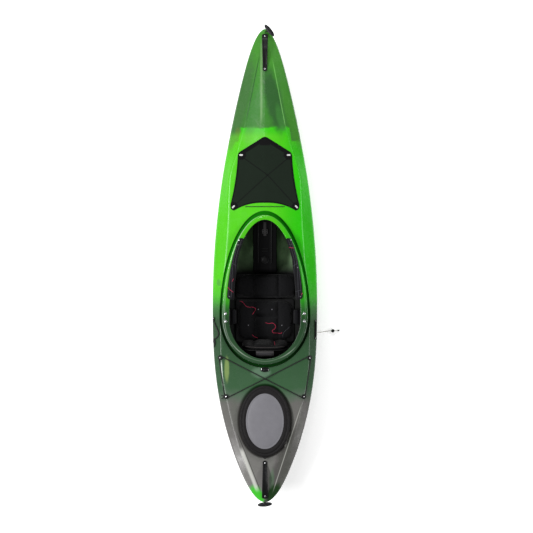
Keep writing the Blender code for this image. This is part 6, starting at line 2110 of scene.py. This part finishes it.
def build_back_cushion(at):
    """The back's cushion, bent round the back plate, with its piping."""
    pad = pillow("back_cushion", BACK_PAD_HALF, 0.1050, 0.031, BACK_SEAMS, BACK_CLOTH, power=3.4)
    inflate(pad)
    wrinkle(pad, ((0.0, 0.0), (0.15, 0.09)), 0.0026, 26.0)
    for vert in pad.data.vertices:
        vert.co.z += BACK_BEND * (vert.co.x / BACK_PAD_HALF) ** 2
    move(pad, Matrix.Translation((0, BACK_HEIGHT / 2 + 0.002, 0)))
    move(pad, Matrix.Rotation(math.radians(180), 4, "Z") @ Matrix.Rotation(math.radians(90), 4, "X"))
    move(pad, at @ Matrix.Translation((0, CLEARANCE, 0)))
    put(pad, "backrest", ("backrest_pad",))
    tree = BVHTree.FromObject(pad, bpy.context.evaluated_depsgraph_get())
    brow = []
    for k in range(41):
        x = 0.150 * (k / 20 - 1)
        brow.append(on_top(tree, x, -0.6245 + (BACK_BEND + 0.003) * (x / BACK_PAD_HALF) ** 2, 0.0006))
    put(tube("back_brow_piping", brow, 0.0022, BROW_TRIM, count=8), "backrest")
    marks = [on_top(tree, 0.0715 + 0.0003 * k, -0.571 - 0.0025 * k, 0.0006) for k in range(15)]
    put(tube("back_red_piping", [p for p in marks if p.z > 0.10], 0.0020, RED_CLOTH, count=8), "backrest")


def build_back_strap(at):
    """The webbing that loops behind the back plate, with its bar and two end knobs."""
    behind = -PLATE - CLEARANCE - 0.0015
    route = [Vector((0, behind, BACK_HEIGHT - 0.055)), Vector((0, behind, BACK_HEIGHT - 0.012)),
             Vector((0, -0.0200, BACK_HEIGHT + 0.0040)), Vector((0, -0.0520, BACK_HEIGHT - 0.0200))]
    path = smooth_path(route, 8)
    across = Vector((1, 0, 0))
    above = [across.cross(along) for along, _, _ in path_frames(path)]
    strap = sweep("back_webbing", path, flat_outline(0.136, 0.0026), GREY_STRAP, up=above)
    put(move(strap, at), "backrest", ("back_strap",))
    end = path[-1]
    bar = [end + Vector((x, 0.001, 0.003)) for x in (-0.066, 0.066)]
    put(move(tube("back_bar", bar, 0.0036, BLACK, count=16), at), "backrest")
    profile = [(0.0, -0.004), (0.0050, -0.004), (0.0062, -0.001), (0.0062, 0.002), (0.0045, 0.0042),
               (0.0, 0.0046)]
    for side in (-1, 1):
        knob = turned(f"back_knob_{side}", profile, 28, BLACK_MATT)
        move(knob, at @ Matrix.Translation(end + Vector((side * 0.060, 0.001, 0.0040))))
        put(knob, "backrest")
    fold = [path[-6] + Vector((-0.045, 0.0, 0.0022)), path[-6] + Vector((0.0, 0.001, 0.0030)),
            path[-6] + Vector((0.050, -0.001, 0.0022))]
    put(move(tube("back_fold", smooth_path(fold, 8), 0.0017, GREY_TRIM, count=8), at), "backrest")


def build_hip_pads():
    """Foam pads on the inside of the seat's wings, with a soft bulging face."""
    (low_x, low_z), (high_x, high_z) = (0.2482, 0.126), (0.2604, 0.196)
    face = ((0.238, 0.198), (0.226, 0.185), (0.220, 0.140), (0.228, 0.124))
    outline = soft_line([(high_x, high_z), *face, (low_x, low_z)], 0.35, 6)
    rear, length = -0.446, 0.107
    for side, word in ((-1, "left"), (1, "right")):
        rings = []
        for k in range(33):
            share = k / 32
            soft = 1 - round_end(share, length, 0.012)
            panel = 0.0016 * math.exp(-((share - 0.5) / 0.05) ** 2)
            ring = []
            for p in outline:
                inner = max(high_x - 0.17 * (high_z - p.y) - p.x, 0.0) / 0.03
                x = p.x + (0.012 * soft + panel) * min(inner, 1.0)
                ring.append(Vector((side * x, rear + length * share, p.y)))
            rings.append(ring)
        pad = loft("hip_cushion_" + word, rings, PAD_CLOTH)
        put(pad, "kayak", ("hip_pad_" + word,))


# Thigh braces

# The braces' sections at their rear and front ends: how far outside the rim's inner edge, and how high
BRACE_REAR = ((0.022, 0.0), (-0.013, 0.0), (-0.0205, -0.012), (-0.0215, -0.050), (-0.0245, -0.078))
BRACE_FRONT = ((0.038, 0.0), (0.014, 0.0), (0.003, 0.0), (-0.001, 0.0), (-0.005, 0.0))
BRACE_YS = (-0.253, 0.213)
BRACE_LENGTH = 0.50
BRACE_END_SKEW = 1.5
BRACE_THICKNESS = 0.004
BRACE_PAD_THICKNESS = 0.007


def rim_angle(y):
    reach = COCKPIT[1] if y > COCKPIT[3] else COCKPIT[2]
    return math.asin((y - COCKPIT[3]) / reach)


def soft_line(points, share, steps):
    """A polyline with its corners rounded, with its ends kept."""
    points = [Vector(p) for p in points]
    line = [points[0]]
    for i in range(1, len(points) - 1):
        line += round_corner(points[i - 1], points[i], points[i + 1], share, steps)
    return line + [points[-1]]


def even_line(points, count):
    """The same polyline with its points at equal distances."""
    lengths = path_lengths(points)
    line = []
    for k in range(count + 1):
        place = lengths[-1] * k / count
        i = max(j for j in range(len(points) - 1) if lengths[j] <= place + 1e-9)
        share = (place - lengths[i]) / (lengths[i + 1] - lengths[i])
        line.append(points[i].lerp(points[i + 1], min(share, 1.0)))
    return line


def brace_angle(share, out):
    """The angle round the cockpit at a share of a brace's length, less at the front end's outer corner."""
    first, last = rim_angle(BRACE_YS[0]), rim_angle(BRACE_YS[1])
    return first + (last - first) * share - BRACE_END_SKEW * (out + 0.005) * step(share, 0.55, 1.0)


def brace_rings(section_at, side, count, start=0.0, end=1.0):
    rings = []
    for k in range(count + 1):
        share = start + (end - start) * (0.5 - 0.5 * math.cos(math.pi * k / count))
        rings.append([rim_point(brace_angle(share, out), out, up, side) for out, up in section_at(share)])
    return rings


def round_end(share, length, radius):
    """1 in the middle of a length, falling in a quarter circle to 0 at its ends."""
    return quarter_round(min(share, 1 - share) * length / radius)


def brace_hang(share):
    """How much of the flap inside the rim is left at a share of the brace's length from its rear end."""
    return 1 - step(share, 0.12, 0.66)


def brace_line(share):
    points = []
    for (out, up), (front_out, front_up) in zip(BRACE_REAR, BRACE_FRONT):
        points.append((out + (front_out - out) * share, front_up + (up - front_up) * brace_hang(share)))
    lift = CLEARANCE + BRACE_THICKNESS / 2
    return [Vector((out, up + lift)) for out, up in even_line(soft_line(points, 0.25, 4), 34)]


def pad_faces(share):
    """The lower and the upper side of a brace's pad, as lines across it."""
    line = brace_line(share)
    count = len(line)
    base = thick_line(line, BRACE_THICKNESS + 0.0006)[count:][::-1]
    crown = thick_line(line, BRACE_THICKNESS + 0.0006 + 2 * BRACE_PAD_THICKNESS)[count:][::-1]
    return base, crown


def brace_end_drawn_in(points, share):
    """Round the brace's ends as seen from above, where its flap stays as it is."""
    end = round_end(share, BRACE_LENGTH, 0.018)
    middle = 0.0155 * share
    hang = brace_hang(share)
    drawn = []
    for p in points:
        pull = 0.80 * (1 - end) * (1 - hang * (1 - step(p.x, -0.022, -0.008)))
        drawn.append((p.x + (middle - p.x) * pull, p.y))
    return drawn


def build_brace(side, word):
    body = "brace_" + word

    def plate(share):
        thick = BRACE_THICKNESS * (0.45 + 0.55 * round_end(share, BRACE_LENGTH, 0.004))
        return brace_end_drawn_in(thick_line(brace_line(share), thick), share)

    shell = loft("brace_shell_" + word, brace_rings(plate, side, 90), BLACK)
    put(crease(shell, 50.0), body, (f"thigh_brace_{word}",))

    def pad(share):
        base, crown = pad_faces(share)
        end = round_end(share, BRACE_LENGTH, 0.016)
        seam = 0.22 * sum(math.exp(-((share - s) / 0.008) ** 2) for s in BRACE_CROSS_SEAMS)
        points = []
        for i, (b, c) in enumerate(zip(base, crown)):
            way = i / (len(base) - 1)
            fat = 0.14 + 0.86 * quarter_round(min(way, 1 - way) / 0.07)
            groove = 0.30 * sum(math.exp(-((way - s) / 0.020) ** 2) for s in BRACE_LONG_SEAMS)
            points.append(b.lerp(c, max(fat * (1 - groove - seam) * (0.25 + 0.75 * end), 0.06)))
        return brace_end_drawn_in(base + points[::-1], share)

    cushion = loft("brace_cushion_" + word, brace_rings(pad, side, 120, 0.004, 0.996), PAD_CLOTH)
    put(crease(cushion, 60.0), body, (f"thigh_pad_{word}",))
    build_brace_trim(side, word, body)


# Where the thigh pads' seams run: shares across the pad, and along it from its rear end
BRACE_LONG_SEAMS = (0.10, 0.27, 0.62)
BRACE_CROSS_SEAMS = (0.12, 0.50, 0.86)

# The pads' red marks: shares across the pad at both ends, then shares along it; the studs: across, along
BRACE_MARKS = {
    "left": ((0.00, 0.36, 0.154, 0.105), (0.36, 0.29, 0.298, 0.254)),
    "right": ((0.95, 0.12, 0.815, 0.776), (0.00, 0.10, 0.075, 0.055)),
}
BRACE_STUDS = {"left": ((0.28, 0.852), (0.16, 0.035)), "right": ((0.22, 0.4425), (0.16, 0.035))}


def brace_point(side, share, way, lift):
    base, crown = pad_faces(share)
    place = way * (len(base) - 1)
    i = min(int(place), len(base) - 2)
    low = base[i].lerp(base[i + 1], place - i)
    high = crown[i].lerp(crown[i + 1], place - i)
    flat = low.lerp(high, lift)
    return rim_point(brace_angle(share, flat.x), flat.x, flat.y, side)


def build_brace_trim(side, word, body):
    for i, way in enumerate(BRACE_LONG_SEAMS):
        path = [brace_point(side, 0.03 + 0.94 * k / 60, way, 0.80) for k in range(61)]
        put(tube(f"brace_seam_{word}_{i}", path, 0.0012, GREY_TRIM, count=8), body)
    for i, share in enumerate(BRACE_CROSS_SEAMS):
        path = [brace_point(side, share, 0.06 + 0.86 * k / 30, 0.80) for k in range(31)]
        put(tube(f"brace_stitch_{word}_{i}", path, 0.0009, GREY_TRIM, count=8), body)
    for i, (way, last_way, share, last_share) in enumerate(BRACE_MARKS[word]):
        path = []
        for k in range(17):
            t = k / 16
            path.append(brace_point(side, share + (last_share - share) * t, way + (last_way - way) * t, 1.0))
        put(tube(f"brace_mark_{word}_{i}", path, 0.0019, RED_CLOTH, count=8), body)
    for i, (way, share) in enumerate(BRACE_STUDS[word]):
        place = brace_point(side, share, way, 0.93)
        screw(f"brace_stud_{word}_{i}", 0.0045, 0.0022, Matrix.Translation(place), GREY_PANEL, False, body)
    place = brace_point(side, 0.955, 0.13, 0.80)
    screw(f"brace_bolt_{word}", 0.0050, 0.0030, Matrix.Translation(place), body=body)


# Step-out pillar

PILLAR_HALF = 0.092
PILLAR_FACE = ((0.430, 0.300), (0.360, 0.262), (0.020, 0.150), (-0.028, 0.132), (-0.046, 0.112))
PILLAR_FRONT = 0.620
PILLAR_FOOT = 0.0054
PILLAR_ROUNDING = 0.007
BUCKLE_HALF = 0.0200
BUCKLE_ENDS = (0.243, 0.277)


def pillar_frame():
    high, low = Vector(PILLAR_FACE[1]), Vector(PILLAR_FACE[2])
    slope = math.atan2(high.y - low.y, high.x - low.x)
    return Matrix.Translation((0, low.x, low.y)) @ Matrix.Rotation(slope, 4, "X")


def pillar_rings():
    """Sections of the pillar from its left side to its right, up under the deck and down to the floor."""
    line = soft_line(PILLAR_FACE, 0.30, 5)
    rings = []
    count = 48
    for k in range(count + 1):
        share = -1 + 2 * k / count
        x = PILLAR_HALF * math.sin(share * math.pi / 2)
        inset = PILLAR_ROUNDING * (1 - quarter_round((PILLAR_HALF - abs(x)) / PILLAR_ROUNDING))
        dish = 0.0022 * step(0.046 - abs(x), 0.0, 0.006)
        ring = []
        for y in (PILLAR_FRONT, 0.560, 0.500):
            ring.append(Vector((x, y, deck_height(x, y) - 0.0062 - inset)))
        for p in line:
            ring.append(Vector((x, p.x, p.y - inset - dish)))
        back, front = PILLAR_FACE[-1][0] + inset, PILLAR_FRONT - inset
        for y, z in ((back, 0.060), (back, PILLAR_FOOT), (front, PILLAR_FOOT), (front, 0.200)):
            ring.append(Vector((x, y, z)))
        rings.append(ring)
    return rings


def build_pillar():
    pillar = crease(loft("foot_pillar", pillar_rings(), BLACK_MATT), 45.0)
    at = pillar_frame()
    ribs = []
    for side in (-1, 1):
        x = side * 0.052
        corners = rectangle(x - 0.0042, 0.004, x + 0.0042, 0.345)
        ribs.append(bevel(move(prism(f"pillar_rib_{side}", corners, -0.002, 0.0060, BLACK), at), 0.0018, 3))
    for k in range(3):
        y = 0.095 + 0.012 * k
        corners = rectangle(-0.024, y, 0.024, y + 0.004)
        ribs.append(bevel(move(prism(f"pillar_step_{k}", corners, -0.003, 0.0006, BLACK), at), 0.0010))
    profile = [(0.0, -0.003), (0.0300, -0.003), (0.0300, 0.0030), (0.0292, 0.0044), (0.0278, 0.0050),
               (0.0262, 0.0046), (0.0250, 0.0030), (0.0236, 0.0030), (0.0222, 0.0062), (0.0200, 0.0076),
               (0.0120, 0.0078), (0.0110, 0.0068), (0.0098, 0.0068), (0.0088, 0.0080), (0.0, 0.0080)]
    boss = turned("pillar_button", profile, 56, BLACK)
    move(boss, at @ Matrix.Translation((0.0, 0.030, 0.0)))
    put(pillar, "kayak", ("step_out_pillar",))
    for piece in ribs + [boss]:
        put(piece)
    build_pillar_strap(at)


def build_pillar_strap(at):
    """The strap down the pillar's face to its ladder buckle."""
    route = ((0.0, 0.336, 0.0016), (0.0, 0.300, 0.0020), (0.0, 0.280, 0.0080), (0.0, 0.268, 0.0098),
             (0.0, 0.250, 0.0092), (0.0, 0.240, 0.0030), (0.0, 0.232, 0.0018), (0.0, 0.224, 0.0016))
    strap = sweep("pillar_webbing", smooth_path(route, 6), flat_outline(0.022, 0.0022), GREY_STRAP,
                  up=Vector((0, 0, 1)))
    put(move(strap, at), "kayak")
    rear, front = BUCKLE_ENDS
    bars = ((rear, 0.2475, 0.0020, 0.0065), (0.2585, 0.2620, 0.0060, 0.0095),
            (0.2735, front, 0.0020, 0.0065))
    pieces = []
    for i, (start, end, low, high) in enumerate(bars):
        corners = rectangle(-BUCKLE_HALF, start, BUCKLE_HALF, end)
        pieces.append(prism(f"buckle_bar_{i}", corners, low, high, BUCKLE))
    for side in (-1, 1):
        left, right = sorted((side * 0.0155, side * BUCKLE_HALF))
        corners = rectangle(left, rear, right, front)
        pieces.append(prism(f"buckle_side_{side}", corners, 0.0015, 0.0080, BUCKLE))
    for piece in pieces:
        put(bevel(move(piece, at), 0.0010))


# Foot braces

RAIL_ENDS = ((0.3196, 0.430, 0.150), (0.2404, 0.900, 0.150))
RAIL_DEPTH = 0.0160
RAIL_HALF = 0.0130

# How far along the rail a pedal stands: its place along the boat, and the rail's own slant
PEDAL_REACH = (0.640 - 0.430) / 0.9861


def foot_frame(side):
    """A frame at the rail's rear end: X inward, Y along the rail, Z up."""
    back, front = Vector(RAIL_ENDS[0]), Vector(RAIL_ENDS[1])
    ahead = (front - back).normalized()
    inward = Vector((-ahead.y, ahead.x, 0.0))
    turn = Matrix((inward, ahead, Vector((0, 0, 1)))).transposed().to_4x4()
    return Matrix.Scale(side, 4, Vector((1, 0, 0))) @ Matrix.Translation(back) @ turn


def build_foot_braces():
    length = (Vector(RAIL_ENDS[1]) - Vector(RAIL_ENDS[0])).length
    for side, word in ((-1, "left"), (1, "right")):
        at = foot_frame(side)
        outline = rounded(rectangle(0.0, -RAIL_HALF, RAIL_DEPTH, RAIL_HALF), 0.18, 3)
        rings = []
        for k in range(61):
            y = 0.003 + (length - 0.006) * k / 60
            notch = 0.0012 * (0.5 + 0.5 * math.cos(2 * math.pi * k / 3)) * (3 < k < 57)
            rings.append([Vector((x - (notch if x > 0.010 else 0.0), y, z)) for x, z in outline])
        rail = move(loft("foot_track_" + word, rings, STEEL), at)
        put(fix_normals(crease(rail, 35.0)), "kayak", ("foot_rail_" + word,))
        for i, y in enumerate((0.0095, length - 0.0095)):
            spot = at @ Matrix.Translation((0.0158, y, 0.0)) @ Matrix.Rotation(math.radians(90), 4, "Y")
            screw(f"foot_bolt_{word}_{i}", 0.0048, 0.0028, spot)
        build_pedal(word, at)


def build_pedal(word, at):
    shoe = ((0.0, -0.045), (0.010, -0.045), (0.014, -0.012), (0.034, -0.005), (0.034, 0.005), (0.014, 0.006),
            (0.010, 0.045), (0.0, 0.045))
    start = at @ Matrix.Translation((RAIL_DEPTH + CLEARANCE, PEDAL_REACH, 0.0))
    body = "pedal_" + word
    base = prism("pedal_shoe_" + word, rounded(shoe, 0.2, 3), -RAIL_HALF, RAIL_HALF, BLACK)
    put(fix_normals(bevel(move(base, start), 0.0015)), body, ("foot_pedal_" + word,))
    blade = rounded(rectangle(0.030, -0.055, 0.075, 0.055), 0.12, 4)
    face = prism("pedal_face_" + word, blade, -0.0040, 0.0075, BLACK)
    stand = Matrix(((1, 0, 0, 0), (0, 0, -1, 0), (0, 1, 0, 0), (0, 0, 0, 1)))
    put(fix_normals(bevel(move(face, start @ stand), 0.0020)), body)
    for k in range(7):
        z = -0.042 + 0.014 * k
        corners = rectangle(0.035, z - 0.0025, 0.070, z + 0.0025)
        rib = prism(f"pedal_rib_{word}_{k}", corners, 0.0070, 0.0084, BLACK_MATT)
        put(fix_normals(bevel(move(rib, start @ stand), 0.0008)), body)


# Bulkhead and skeg

def build_bulkhead():
    """A block of foam cut to the hull's inside."""
    rings = []
    for y, inset in ((-0.8598, 0.0025), (-0.8575, 0.0004), (-0.8125, 0.0004), (-0.8102, 0.0025)):
        half = section(y)[0]
        ring = []
        for i, p in enumerate(half):
            before, after = half[max(i - 1, 0)], half[min(i + 1, len(half) - 1)]
            along = (after - before).normalized()
            inward = Vector((-along.y, along.x))
            q = p + inward * (HULL_WALL + 0.0008 + inset)
            ring.append(Vector((max(q.x, 0.0), y, q.y)))
        rings.append(mirrored(ring))
    block = crease(loft("foam_wall", rings, FOAM), 40.0)
    put(block, "kayak", ("rear_bulkhead",))


SKEG_PIVOT = (0.0, -1.425, 0.0378)
SKEG_OUTLINE = ((0.009, -0.007), (0.004, -0.012), (-0.020, -0.011), (-0.215, 0.0015), (-0.225, 0.0095),
                (-0.219, 0.0235))


def build_skeg():
    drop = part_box("skeg_blade")[0].z - SKEG_PIVOT[2]
    outline = [Vector((y, max(z, drop))) for y, z in SKEG_OUTLINE]
    outline += bend(outline[-1], Vector((-0.100, 0.081)), Vector((-0.030, 0.055)), 16)[1:]
    outline += [Vector((-0.004, 0.014)), Vector((0.009, 0.008))]
    blade = move(side_prism("skeg_fin", rounded(outline, 0.2, 3), -0.004, 0.004, BLACK_MATT),
                 Matrix.Translation(SKEG_PIVOT))
    put(bevel(blade, 0.0024, 3), "skeg", ("skeg_blade",))
    pin = tube("skeg_axle", [(-0.0115, *SKEG_PIVOT[1:]), (0.0115, *SKEG_PIVOT[1:])], 0.003, STEEL, count=20)
    put(pin, "kayak", ("skeg_pin",))


def keep_solids():
    """Plain pieces that stay as the solids are, in their looks' materials."""
    for name, material in (("skeg_box", BLACK_MATT), ("skeg_tube", BLACK_MATT)):
        item = NODES[name]
        item.data.materials.clear()
        item.data.materials.append(material)


build_studio()
build_skeg_cord()
hull = build_hull()
build_trough()
build_rim()
build_hatch()
build_hatch_neck()
for handle_values in HANDLES:
    build_handle(*handle_values)
build_grip_cord("bow", 1, 0.034, 0.026)
build_grip_cord("stern", -1, 0.0, 0.014)
build_bungee()
build_security_loop()
build_rim_bolts()
build_paddle_keeper(hull)
build_fairlead()
build_cover()
build_cover_fittings()
build_seat_pan()
build_seat_trim(build_cushions())
build_backrest()
build_hip_pads()
build_brace(-1, "left")
build_brace(1, "right")
build_pillar()
build_foot_braces()
build_bulkhead()
build_skeg()
keep_solids()
